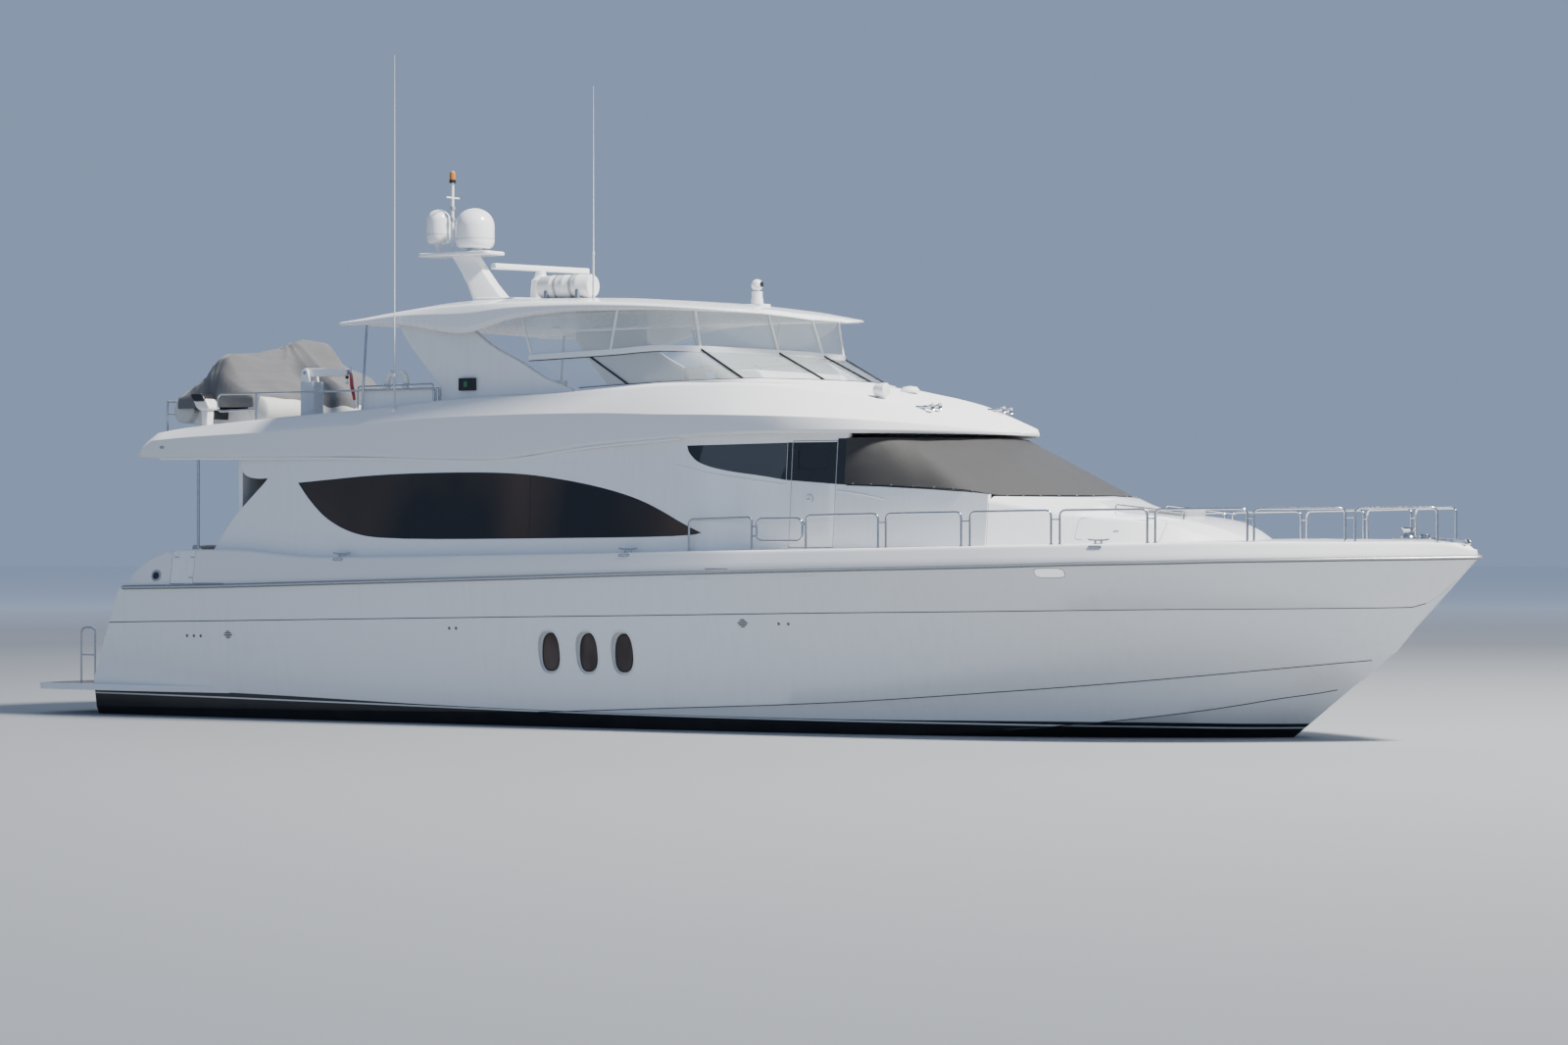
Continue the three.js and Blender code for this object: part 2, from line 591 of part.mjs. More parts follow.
function swimPlatform() {
  const half = [[-7600, -2940], [-9000, -3040], [-10600, -3060], [-11700, -2980], [-11980, -2900],
    [-12120, -2720], [-12165, -2450]];
  const port = half.map(([x, y]) => [x, -y]).reverse();
  const plate = prism([...half, ...port], 395, 490, 'z');
  const rail = (y) => tube([[-11450, y, 480], [-11450, y, 1340], [-11380, y, 1400], [-11250, y, 1400],
    [-11150, y, 1330], [-11150, y, 480]], RAIL_R);
  const core = box([-10700, -2500, 0], [-7000, 2500, 1000]);
  return union([plate, rail(-2500), rail(2500)]).subtract(hullLoft(SEAT)).subtract(core);
}

function trunkRings(grow) {
  return stations(TRUNK, 700).map((x) => {
    const [, foot, shoulder, shoulderZ, top, topZ] = read(TRUNK, x);
    return bothSides([[x, 0, TRUNK_FOOT_Z], [x, -foot - grow, TRUNK_FOOT_Z],
      [x, -shoulder - grow, shoulderZ + grow], [x, -top, topZ - TRUNK_CAMBER + grow],
      [x, 0, topZ + TRUNK_CAMBER + grow]]);
  });
}

function trunkLoft(grow = 0) {
  return loft(trunkRings(grow), false, trunkRings(0));
}

function trunk() {
  return trunkLoft().subtract(deckLoft(SEAT));
}

function foredeckHatchWell() {
  const { x, half, low } = HATCH;
  return prism(roundedOutline([x - half, -half], [x + half, half], 90), low, 3000, 'z');
}

function foredeckHatch() {
  const reach = HATCH.half - HATCH.play;
  const outline = roundedOutline([HATCH.x - reach, -reach], [HATCH.x + reach, reach], 85);
  return prism(outline, HATCH.low + SEAT, HATCH.high, 'z');
}

// House

// The house's half-width at a place on its side
function houseHalf(x, z) {
  const [, low, high] = read(HOUSE, x);
  return low + ((high - low) * (z - 2700)) / 1500;
}

// The same between the stations of the house, which are joined by straight stretches
function sheetHalf(x, z) {
  const list = stations(HOUSE, 900);
  const k = list.findIndex((station) => station > x);
  const t = (x - list[k - 1]) / (list[k] - list[k - 1]);
  return houseHalf(list[k - 1], z) * (1 - t) + houseHalf(list[k], z) * t;
}

// A sheet that follows the house side, from one depth to another below its outer face
function houseSheet(side, from, to) {
  return loft(stations(HOUSE, 900).map((x) => [[2500, from], [4460, from], [4460, to], [2500, to]]
    .map(([z, depth]) => [x, side * (houseHalf(x, z) - depth), z])));
}

function sidePrism(outline, side) {
  return side === STARBOARD ? prism(outline, -FAR, -1000, 'y') : prism(outline, 1000, FAR, 'y');
}

function doorOutline(play) {
  return [[DOOR.aft - play, DOOR.low - play], [DOOR.front + play, DOOR.low - play],
    [DOOR.front + play, DOOR.high + play], [DOOR.aft - play, DOOR.high + play]];
}

function houseSide(side) {
  return houseSheet(side, 0, WALL).intersect(sidePrism(SIDE_OUTLINE, side))
    .subtract(sidePrism(SALOON_WINDOW, side))
    .subtract(sidePrism(SIDE_WINDOW, side))
    .subtract(sidePrism(doorOutline(DOOR.play), side))
    .subtract(wrapSheet(SCREEN_SEAT_LINE, 400, 400 + SEAT))
    .subtract(deckLoft(SEAT)).subtract(browLoft(SEAT));
}

function sideGlass(outline, side) {
  return houseSheet(side, 4, 4 + SCREEN_DEPTH).intersect(sidePrism(inset(outline, 0.4), side));
}

// Lower and upper ends of a pilothouse door's hinge line, on the leaf's inner face
function doorHingeLine(side) {
  const x = DOOR.front + DOOR.play - PIN_GAP - HINGE_PIN_R;
  return [2800, 4200].map((z) => [x, side * (sheetHalf(x, z) - DOOR.depth), z]);
}

function pilothouseDoor(side) {
  const pane = roundedOutline([DOOR.aft + 90, 3870], [DOOR.front - 90, 4230], 60);
  return houseSheet(side, 0, DOOR.depth).intersect(sidePrism(doorOutline(0), side))
    .subtract(sidePrism(pane, side)).add(tube(doorHingeLine(side), HINGE_PIN_R, 8));
}

function aftBulkhead() {
  const wall = box([BULKHEAD_X, -BULKHEAD.half, SOLE_Z + SEAT],
    [BULKHEAD_X + BULKHEAD.depth, BULKHEAD.half, BULKHEAD.top]);
  const opening = box([BULKHEAD_X - 10, -BULKHEAD.doorHalf, BULKHEAD.doorLow],
    [BULKHEAD_X + BULKHEAD.depth + 10, 0, BULKHEAD.doorHigh]);
  const pane = box([BULKHEAD_X - 10, 80, BULKHEAD.doorLow + 60],
    [BULKHEAD_X + 40, BULKHEAD.doorHalf, BULKHEAD.doorHigh - 60]);
  const track = box([BULKHEAD_X - 60, -BULKHEAD.doorHalf - 60, BULKHEAD.doorHigh + 30 + PIN_GAP],
    [BULKHEAD_X + 10, BULKHEAD.doorHalf + 60, BULKHEAD.doorHigh + 80]);
  return wall.subtract(opening).subtract(pane).add(track).subtract(browLoft(SEAT));
}

// One leaf of the aft door, which slides to port in front of the fixed leaf
function saloonDoor() {
  const outer = box([BULKHEAD_X - 55, -BULKHEAD.doorHalf - 40, BULKHEAD.doorLow - 30],
    [BULKHEAD_X - 8, 40, BULKHEAD.doorHigh + 30]);
  const view = box([BULKHEAD_X - 60, -BULKHEAD.doorHalf + 60, BULKHEAD.doorLow + 80],
    [BULKHEAD_X, -60, BULKHEAD.doorHigh - 80]);
  const pane = box([BULKHEAD_X - 38, -BULKHEAD.doorHalf + 50, BULKHEAD.doorLow + 70],
    [BULKHEAD_X - 28, -50, BULKHEAD.doorHigh - 70]);
  return outer.subtract(view).add(pane);
}

// Sections of the windscreen: lower and upper points from the side round to the centreline
const SCREEN_LINE = [[3300, 3640], [3900, 3620], [4600, 3580], [5200, 3540]]
  .map(([x, z], i) => ({ low: [x, -houseHalf(x, z), z], high: SCREEN_SIDE_TOP[i] }))
  .concat(SCREEN_FRONT.map(([lowX, lowY, lowZ, ...high]) => ({ low: [lowX, lowY, lowZ], high })));

// The same, drawn out a little past the glass all round, to which the house sides are cut back
const SCREEN_SEAT_LINE = SCREEN_LINE.map(({ low, high }, i) => {
  const past = (p, q) => p.map((value, axis) => value + (value - q[axis]) * 0.006 - (i + axis === 0 ? 1 : 0));
  return { low: past(low, high), high: past(high, low) };
});

// A curved sheet between a lower and an upper line; out is how far its outer face stands off the line
function wrapSheet(line, out, depth) {
  const full = [...line, ...line.map(({ low, high }) => ({
    low: [low[0], -low[1], low[2]], high: [high[0], -high[1], high[2]],
  })).reverse()];
  const at = (p) => new THREE.Vector3(...p);
  const rings = full.map((cut, i) => {
    const before = full[Math.max(i - 1, 0)];
    const after = full[Math.min(i + 1, full.length - 1)];
    const along = at(after.low).add(at(after.high)).sub(at(before.low)).sub(at(before.high));
    const normal = along.cross(at(cut.high).sub(at(cut.low))).normalize();
    const spot = (p, distance) => at(p).addScaledVector(normal, distance).toArray();
    return [spot(cut.low, out), spot(cut.high, out), spot(cut.high, out - depth), spot(cut.low, out - depth)];
  });
  return loft(rings, false, full.map(({ low, high }) => [low, high, high, low]));
}

function windscreen() {
  return wrapSheet(SCREEN_LINE, SEAT + 12, 12).subtract(browLoft(SEAT)).subtract(trunkLoft(SEAT));
}

function windscreenCover() {
  return wrapSheet(SCREEN_LINE, 2 * SEAT + 20, 8).subtract(browLoft(SEAT)).subtract(trunkLoft(SEAT));
}

// Flybridge

function browRings(grow) {
  return stations(BROW, 1300).map((x, i, all) => {
    const [, y1, z1, y2, z2, y3, z3, crown] = read(BROW, x);
    const end = i === 0 ? -grow : (i === all.length - 1 ? grow : 0);
    return bothSides([[x + end, 0, z1 - grow], [x + end, -y1 + 40, z1 - grow], [x + end, -y1 - grow, z1 + 40],
      [x + end, -y2 - grow, z2], [x + end, -y3 - grow, z3 + grow], [x + end, 0, crown + grow]]);
  });
}

function browLoft(grow = 0) {
  return loft(browRings(grow), false, browRings(0));
}

function flybridge() {
  const cockpit = prism([[-9900, -COAMING_HALF], [1000, -COAMING_HALF + 150], [1280, -1900], [1280, 1900],
    [1000, COAMING_HALF - 150], [-9900, COAMING_HALF]], BOAT_DECK_Z, FAR, 'z');
  return browLoft().subtract(cockpit);
}

function hardtopRings(grow) {
  return stations(HARDTOP, 1200).map((x) => {
    const [, half, low, high, crown, under] = read(HARDTOP, x);
    return bothSides([[x, 0, under - grow], [x, -half + 150, under - grow], [x, -half + 60, low - grow],
      [x, -half - grow, low + (high - low) * 0.25], [x, -half - grow, low + (high - low) * 0.7],
      [x, -half + 60, high + grow],
      [x, -half * 0.5, high + (crown - high) * 0.8 + grow], [x, 0, crown + grow]]);
  });
}

function hardtopLoft(grow = 0) {
  return loft(hardtopRings(grow), false, hardtopRings(0));
}

function wing(side) {
  const [inner, outer] = WING_Y;
  const [lampInner, lampOuter] = [outer - 20, outer + 70];
  const [low, high] = side === STARBOARD ? [-outer, -inner] : [inner, outer];
  const [lampLow, lampHigh] = side === STARBOARD ? [-lampOuter, -lampInner] : [lampInner, lampOuter];
  const lamp = box([-3700, lampLow, 5150], [-3400, lampHigh, 5340]);
  return prism(WING_OUTLINE, low, high, 'y').add(lamp).subtract(browLoft(SEAT))
    .subtract(hardtopLoft(SEAT));
}

function acrossBow(line) {
  return [...line, ...line.map(([x, y, z]) => [x, -y, z]).reverse()];
}

function enclosureBars(grow = 0) {
  const uprights = [[SILL[1], [-1380, -2370, 5670]], [SILL[3], MIDDLE[3]], [SILL[4], MIDDLE[4]],
    [[-2390, -2385, 5640], HEAD[0]], [MIDDLE[1], HEAD[1]], [MIDDLE[3], HEAD[3]], [MIDDLE[4], HEAD[4]]];
  const parts = [frameRail(SILL, 60, grow), frameRail(MIDDLE, 90, grow)];
  uprights.forEach((line) => {
    const part = bar(line, 34 + 2 * grow, 34 + 2 * grow);
    parts.push(part, mirrored(part));
  });
  return union(parts);
}

function enclosureFrame() {
  return enclosureBars().subtract(browLoft(SEAT)).subtract(hardtopLoft(SEAT))
    .subtract(wingBlock(STARBOARD)).subtract(wingBlock(PORT));
}

function wingBlock(side) {
  const [inner, outer] = WING_Y;
  const [low, high] = side === STARBOARD ? [-outer, -inner] : [inner, outer];
  return prism(inset(WING_OUTLINE, -SEAT), low - SEAT, high + SEAT, 'y');
}

// Glass between two lines, hung on the inner side of the bars, from one fraction of the height to another
function screen(lower, upper, from, to) {
  const between = (a, b, t) => a.map((value, axis) => value + (b[axis] - value) * t);
  const line = lower.map((low, i) => (
    { low: between(low, upper[i], from), high: between(low, upper[i], to) }));
  return wrapSheet(line, -17, SCREEN_DEPTH).subtract(browLoft(SEAT)).subtract(hardtopLoft(SEAT))
    .subtract(wingBlock(STARBOARD)).subtract(wingBlock(PORT)).subtract(enclosureBars(SEAT));
}

function frameRail(line, height, grow = 0) {
  return bar(acrossBow(line), 34 + 2 * grow, height + 2 * grow);
}

function overhangPost(side) {
  return tube([[-8680, side * 2820, 2600], [-8680, side * 2820, 4250]], 24, 8)
    .subtract(deckLoft(SEAT)).subtract(browLoft(SEAT));
}

// Mast, aerials and what stands on the hardtop

function mast() {
  const ring = (x0, x1, half, z) => [[x0, -half, z], [x1, -half * 0.5, z], [x1, half * 0.5, z],
    [x0, half, z]];
  const pylon = loft([ring(-5050, -4330, 260, 6480), ring(-5140, -4600, 240, 6720),
    ring(-5610, -5200, 190, 7450)]);
  const foot = prism([[-5100, 6480], [-3480, 6480], [-3520, 6690], [-4500, 6740], [-5100, 6760]],
    -240, 240, 'y');
  const platform = prism(roundedOutline([-6250, -270], [-4800, 270], 110), 7440, 7500, 'z');
  const pedestal = lathe([[0, 0], [170, 0], [150, 300], [90, RADAR.z - 60 - PIN_GAP - 6700],
    [0, RADAR.z - 60 - PIN_GAP - 6700]], [RADAR.x, 0, 6700], 14);
  const pole = tube([[-5700, 0, 7490], [-5700, 0, 8700]], 24, 8);
  const spreader = bar([[-5700, -170, 8400], [-5700, 170, 8400]], 30, 30);
  const lamp = lathe([[0, 0], [55, 0], [55, 130], [30, 150], [0, 150]], [-5700, 0, 8690], 10);
  return union([pylon, foot, platform, pedestal, pole, spreader, lamp]).subtract(hardtopLoft(SEAT));
}

function radome(x, radius, base, top, neck) {
  const shoulder = top - radius;
  const arc = [1, 2, 3, 4].map((i) => [radius * Math.cos((i * Math.PI) / 10),
    shoulder + radius * Math.sin((i * Math.PI) / 10)]);
  return lathe([[0, 7500 + SEAT], [neck, 7500 + SEAT], [neck, base], [radius * 0.8, base],
    [radius, base + 80], [radius, shoulder], ...arc, [0, top]], [x, 0, 0], 20);
}

function radarArray() {
  const beam = box([-RADAR.half, -70, 0], [RADAR.half, 70, 100]);
  const hub = lathe([[0, -60], [90, -60], [90, 10], [0, 10]], [0, 0, 0], 12);
  return beam.add(hub).rotate([0, 0, 75]).translate([RADAR.x, 0, RADAR.z]);
}

function lifeRaft() {
  const centre = { x: -2840, y: -800, z: 6820, half: 490, r: 185 };
  const canister = tube([[centre.x - centre.half, centre.y, centre.z],
    [centre.x + centre.half, centre.y, centre.z]], centre.r, 16);
  const cradle = [-300, 300].map((dx) => box([centre.x + dx - 25, centre.y - 200, 6400],
    [centre.x + dx + 25, centre.y + 200, centre.z - 60]));
  return union([canister, ...cradle]).subtract(hardtopLoft(SEAT));
}

function aerialAft() {
  return union([tube([[-4700, -2840, 4700], [-4700, -2840, 10390]], 13, 6),
    tube([[-4700, -2840, 4700], [-4700, -2840, 5500]], 24, 8)]).subtract(browLoft(SEAT));
}

function aerialForward() {
  return union([tube([[-2000, -1300, 6450], [-2000, -1300, 9890]], 11, 6),
    tube([[-2000, -1300, 6450], [-2000, -1300, 7300]], 20, 8)]).subtract(hardtopLoft(SEAT));
}

// Rails and gates

function bowRail(side) {
  const parts = HOOPS.map(([first, last]) => hoop(first, last, side));
  for (let i = 1; i < HOOPS.length; i += 1) {
    const [a, b] = [HOOPS[i - 1][1], HOOPS[i][0]];
    const spot = (x) => [x, side * read(RAILS, x)[1], read(RAILS, x)[2] - 130];
    parts.push(tube([spot(a), spot(b)], RAIL_R * 0.7));
  }
  return union(parts).subtract(deckLoft(SEAT)).subtract(trunkLoft(SEAT));
}

function gate(side) {
  const y = side * read(RAILS, GATE.aft)[1];
  const loop = roundedOutline([GATE.aft, GATE.low], [GATE.front, GATE.high], 100)
    .map(([x, z]) => [x, y, z]);
  const lug = (z) => box([AFT_HOOP[1] + RAIL_R + PIN_GAP, y - 6, z - 12], [GATE.aft, y + 6, z + 12]);
  return union([tube(loop, RAIL_R, 6, true), lug(2890), lug(3030)]);
}

// To starboard the side rail stops short of the tender's stern; to port it runs on round the quarter
function boatDeckRail(side) {
  const [high, low] = [5175, 4890];
  const y = side * DECK_RAIL_HALF;
  const post = (x) => tube([[x, y, 4200], [x, y, high - 20]], RAIL_R);
  const parts = [tube([[-5370, y, 6300], [-5500, y, 4500]], 20, 8), post(-7610),
    tube([[-3985, y, 5190], [-3985, y, 4600]], RAIL_R)];
  if (side === STARBOARD) {
    parts.push(tube([[-8400, y, low], [-8400, y, 5100], [-8330, y, high], [-3970, y, 5190]], RAIL_R),
      tube([[-8400, y, low + 10], [-7610, y, low + 30]], RAIL_R * 0.7));
  } else {
    const { x: sternX, half, z } = STERN_RAIL;
    const quarter = (top) => [[sternX, -half, top], [sternX, half, top], [-9650, y - 60, top],
      [-9450, y, top]];
    parts.push(tube([...quarter(z), [-7610, y, high], [-3970, y, 5190]], RAIL_R),
      tube([...quarter(z - 200), [-7610, y, low + 20]], RAIL_R * 0.7), post(-9450));
    [-1, -0.33, 0.33, 1].forEach((t) => {
      parts.push(tube([[sternX, t * half, 4200], [sternX, t * half, z]], RAIL_R));
    });
  }
  return union(parts).subtract(browLoft(SEAT)).subtract(hardtopLoft(SEAT));
}

// Boat deck: crane and tender

function craneColumn() {
  const { x, y, half, top, pivotX, pivotZ } = CRANE;
  const plan = roundedOutline([x - half, y - half], [x + half, y + half], 40);
  const base = prism(plan, BOAT_DECK_Z + SEAT, top, 'z');
  const ear = (side) => prism([[pivotX - 80, top - 20], [pivotX + 110, top - 20], [pivotX + 60, pivotZ + 60],
    [pivotX - 60, pivotZ + 60]], y + side * 105 - 20, y + side * 105 + 20, 'y');
  return union([base, ear(STARBOARD), ear(PORT)]);
}

function craneBoom() {
  const { y, pivotX, pivotZ } = CRANE;
  const beam = prism([[pivotX - 70, pivotZ - 60], [pivotX + 800, pivotZ - 60], [pivotX + 800, pivotZ + 50],
    [pivotX - 70, pivotZ + 80]], y - 78, y + 78, 'y');
  const hook = box([pivotX + 730, y - 30, pivotZ - 180], [pivotX + 790, y + 30, pivotZ - 50]);
  const pin = tube([[pivotX, y - 85 + PIN_GAP, pivotZ], [pivotX, y + 85 - PIN_GAP, pivotZ]], 20, 10);
  return union([beam, hook, pin]);
}

function tender() {
  const { x, half, stern, bow, tubeZ, tubeR } = TENDER;
  const starboardTube = [[x - half, stern, tubeZ], [x - half, 900, tubeZ], [x - half * 0.72, 1450, tubeZ],
    [x - half * 0.3, bow - tubeR - 30, tubeZ]];
  const portTube = starboardTube.map(([px, y, z]) => [2 * x - px, y, z]).reverse();
  const collar = tube([...starboardTube, ...portTube], tubeR, 10);
  const ring = (y, wide, low) => [[x, y, low], [x + wide, y, 4760], [x + wide, y, 4960], [x - wide, y, 4960],
    [x - wide, y, 4760]];
  const body = loft([ring(stern + 120, 700, 4520), ring(600, 700, 4520), ring(1350, 500, 4600),
    ring(bow - 330, 120, 4740)]);
  const chock = (y) => prism([[x - 420, BOAT_DECK_Z + SEAT], [x + 420, BOAT_DECK_Z + SEAT],
    [x + 300, 4700], [x - 300, 4700]], y - 50, y + 50, 'y');
  return union([collar, body, chock(-1300), chock(700)]);
}

function tenderCover() {
  const { x, tubeZ, tubeR } = TENDER;
  const low = tubeZ + tubeR + SEAT;
  const ring = (y, wide, high, peak) => [[x - wide, y, low], [x + wide, y, low],
    [x + wide * 0.8, y, high], [x + 60, y, peak], [x - wide * 0.6, y, high + 60]];
  return loft([ring(-2150, 700, 5420, 5800), ring(-1500, 860, 5500, 5900),
    ring(-400, 960, 5600, 6150), ring(900, 900, 5500, 5760), ring(1750, 420, 5400, 5560)]);
}

function outboard() {
  const { x } = TENDER;
  const cowl = prism(roundedOutline([x - 180, 5010], [x + 180, 5200], 60), -2480, -2330, 'y');
  const head = prism(roundedOutline([x - 150, 4880], [x + 150, 5180], 60), -2520, -2160, 'y');
  const leg = prism([[x - 60, 4560], [x + 60, 4560], [x + 80, 4900], [x - 80, 4900]], -2480, -2300, 'y');
  const bracket = box([x - 60, -2200, 4800], [x + 60, TENDER.stern + 120 - SEAT, 4950]);
  return union([cowl, head, leg, bracket]);
}

// Flybridge furniture

function helmConsole() {
  const { aft, front, kneeZ, brow, browZ, half } = CONSOLE;
  return prism([[aft, BOAT_DECK_Z + SEAT], [front, BOAT_DECK_Z + SEAT], [front, browZ - 190],
    [brow + 380, browZ - 10], [brow, browZ], [aft, kneeZ]], -half, half, 'y');
}

function helmWheel() {
  const { faceX, faceZ, y, r, standoff, tilt } = HELM;
  const ring = tube(circle(r, 14).map(([a, b]) => [0, a, b]), 14, 6, true);
  const spokes = [0, 1, 2].map((i) => {
    const angle = (2 * Math.PI * i) / 3 + 0.5;
    return tube([[0, 0, 0], [0, r * Math.cos(angle), r * Math.sin(angle)]], 10);
  });
  const hub = tube([[-15, 0, 0], [standoff - PIN_GAP, 0, 0]], 34, 10);
  const lean = (tilt * Math.PI) / 180;
  return union([ring, ...spokes, hub]).rotate([0, tilt, 0])
    .translate([faceX - standoff * Math.cos(lean), y, faceZ + standoff * Math.sin(lean)]);
}

function helmSeat() {
  const seat = (y) => union([box([-620, y - 280, 4960], [-60, y + 280, 5080]),
    prism([[-700, 4960], [-560, 4960], [-640, 5520], [-760, 5520]], y - 270, y + 270, 'y'),
    box([-420, y - 70, BOAT_DECK_Z + SEAT], [-280, y + 70, 4970])]);
  return union([seat(-450), seat(450), box([-420, -450, 4700], [-280, 450, 4760])]);
}

function settee() {
  const length = [-3700, -1900];
  const base = box([length[0], -2150, BOAT_DECK_Z + SEAT], [length[1], -1500, 4880]);
  const back = box([length[0], -2250, BOAT_DECK_Z + SEAT], [length[1], -2100, 5300]);
  const end = box([-3800, -2250, BOAT_DECK_Z + SEAT], [-3600, 300, 5300]);
  const endSeat = box([-3650, -1700, BOAT_DECK_Z + SEAT], [-3000, 300, 4880]);
  return union([base, back, end, endSeat]);
}

function cockpitSettee() {
  return union([box([WELL_AFT_X + 5, -1700, SOLE_Z + SEAT], [-9050, 1700, 2400]),
    box([WELL_AFT_X + 5, -1700, 2380], [-9560, 1700, 2750])]);
}

function windlass() {
  const base = prism(roundedOutline([10950, -170], [11560, 170], 60), 2700, 2860, 'z');
  const drum = lathe([[0, 0], [110, 0], [80, 60], [80, 110], [110, 160], [0, 160]], [11150, 0, 2850], 14);
  const roller = box([11500, -60, 2760], [12080, 60, 2840]);
  return union([base, drum, roller]).subtract(deckLoft(SEAT));
}

// Running gear

function shaft(side) {
  const { y, propX, propZ, r, rise } = SHAFT;
  const at = (x) => [x, side * y, propZ + (x - propX) * rise];
  const hubEnd = (HUB_FRONT + PIN_GAP) / Math.hypot(1, rise);
  const rod = tube([at(propX + hubEnd), at(-4700)], r, 8);
  const bearing = tube([at(propX + 180), at(propX + 520)], r + 32, 10);
  const strut = prism([[propX + 220, propZ], [propX + 480, propZ], [propX + 560, 0], [propX + 260, 0]],
    side * y - 25, side * y + 25, 'y');
  return union([rod, bearing, strut]).subtract(hullLoft(SEAT));
}

function propeller(side) {
  const { y, propX, propZ } = SHAFT;
  const hub = lathe([[0, -150], [45, -150], [80, 0], [72, HUB_FRONT], [0, HUB_FRONT]], [0, 0, 0], 12);
  const blade = (angle) => {
    const cut = (radius, chord, pitch, thick) => {
      const [c, s] = [Math.cos(pitch), Math.sin(pitch)];
      return [[-chord, 0], [0, -thick], [chord, 0], [0, thick]]
        .map(([u, w]) => [radius, u * c - w * s, u * s + w * c]);
    };
    return loft([cut(40, 70, 1.0, 14), cut(180, 135, 0.75, 12), cut(320, 145, 0.6, 9),
      cut(PROPELLER_R, 60, 0.5, 5)]).rotate([0, 0, angle]);
  };
  const rotor = union([hub, blade(0), blade(90), blade(180), blade(270)]);
  const lean = (Math.atan(SHAFT.rise) * 180) / Math.PI;
  return onSide(rotor.rotate([0, 90 - lean, 0]).translate([propX, -y, propZ]), side);
}

function rudder(side) {
  const { x, top, foot, stockR, bossZ } = RUDDER;
  const plan = [[x + 210, 0], [x + 120, 34], [x - 330, 4], [x - 330, -4], [x + 120, -34]];
  const level = (z) => plan.map(([px, py]) => [px, side * SHAFT.y + py, z]);
  const stock = tube([[x, side * SHAFT.y, top - 20], [x, side * SHAFT.y, bossZ - PIN_GAP]], stockR, 8);
  return loft([level(foot), level(top)]).add(stock);
}

// Materials

function material(color, roughness, metalness = 0) {
  return new THREE.MeshStandardMaterial({ color, roughness, metalness });
}

const gelcoat = () => material(0xf3f4f2, 0.25);
const steel = () => material(0xc9ccd0, 0.25, 1);
const darkGlass = () => material(0x14181c, 0.1);
const clearGlass = () => material(0xbfcad0, 0.05);
const mesh = () => material(0x2c2b29, 0.9);
const canvas = () => material(0x7e7d7a, 0.95);
const vinyl = () => material(0xe3dccb, 0.6);
const bronze = () => material(0x8c6a3c, 0.4, 0.8);
const rubber = () => material(0xd8d6ce, 0.7);

const yacht = new THREE.Group();

function add(name, part, finish) {
  const mesh3 = part.getMesh();
  const geometry = new THREE.BufferGeometry();
  geometry.setAttribute('position', new THREE.Float32BufferAttribute(mesh3.vertProperties, 3));
  geometry.setIndex(Array.from(mesh3.triVerts));
  geometry.computeVertexNormals();
  const node = new THREE.Mesh(geometry, finish);
  node.name = name;
  yacht.add(node);
}

add('hull', hull(), gelcoat());
add('deck', deck(), gelcoat());
add('rub_rail', rubRail(), steel());
add('swim_platform', swimPlatform(), gelcoat());
add('trunk', trunk(), gelcoat());
add('aft_bulkhead', aftBulkhead(), gelcoat());
add('saloon_door', saloonDoor(), darkGlass());
add('windscreen', windscreen(), darkGlass());
add('windscreen_cover', windscreenCover(), mesh());
add('flybridge', flybridge(), gelcoat());
add('hardtop', hardtopLoft(), gelcoat());
add('enclosure_frame', enclosureFrame(), gelcoat());
add('lower_screen', screen(SILL, MIDDLE, 0.07, 0.92), clearGlass());
add('upper_screen', screen(MIDDLE, HEAD, 0.07, 0.93), clearGlass());
add('mast', mast(), gelcoat());
add('satellite_dome', radome(-5250, 320, 7560, 8210, 120), gelcoat());
add('small_dome', radome(-5985, 200, 7660, 8220, 60), gelcoat());
add('radar_array', radarArray(), gelcoat());
add('life_raft', lifeRaft(), gelcoat());
add('aerial_aft', aerialAft(), gelcoat());
add('aerial_forward', aerialForward(), gelcoat());
add('crane_column', craneColumn(), gelcoat());
add('crane_boom', craneBoom(), gelcoat());
add('tender', tender(), rubber());
add('tender_cover', tenderCover(), canvas());
add('tender_outboard', outboard(), gelcoat());
add('helm_console', helmConsole(), gelcoat());
add('helm_wheel', helmWheel(), steel());
add('helm_seat', helmSeat(), vinyl());
add('settee', settee(), vinyl());
add('cockpit_settee', cockpitSettee(), canvas());
add('windlass', windlass(), steel());
add('foredeck_hatch', foredeckHatch(), gelcoat());
[[STARBOARD, 'starboard'], [PORT, 'port']].forEach(([side, word]) => {
  add(`house_side_${word}`, houseSide(side), gelcoat());
  add(`saloon_glass_${word}`, sideGlass(SALOON_WINDOW, side), darkGlass());
  add(`side_glass_${word}`, sideGlass(SIDE_WINDOW, side), darkGlass());
  add(`pilothouse_door_${word}`, pilothouseDoor(side), gelcoat());
  add(`wing_${word}`, wing(side), gelcoat());
  add(`overhang_post_${word}`, overhangPost(side), steel());
  add(`bow_rail_${word}`, bowRail(side), steel());
  add(`boat_deck_rail_${word}`, boatDeckRail(side), steel());
  add(`gate_${word}`, gate(side), steel());
  add(`quarter_gate_${word}`, quarterGate(side), gelcoat());
  add(`shaft_${word}`, shaft(side), bronze());
  add(`propeller_${word}`, propeller(side), bronze());
  add(`rudder_${word}`, rudder(side), bronze());
});

export default yacht;
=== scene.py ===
# Looks of the motor yacht. +X is to the bow, +Y to port, +Z up; tables and outlines are in mm, the scene in metres.
import math

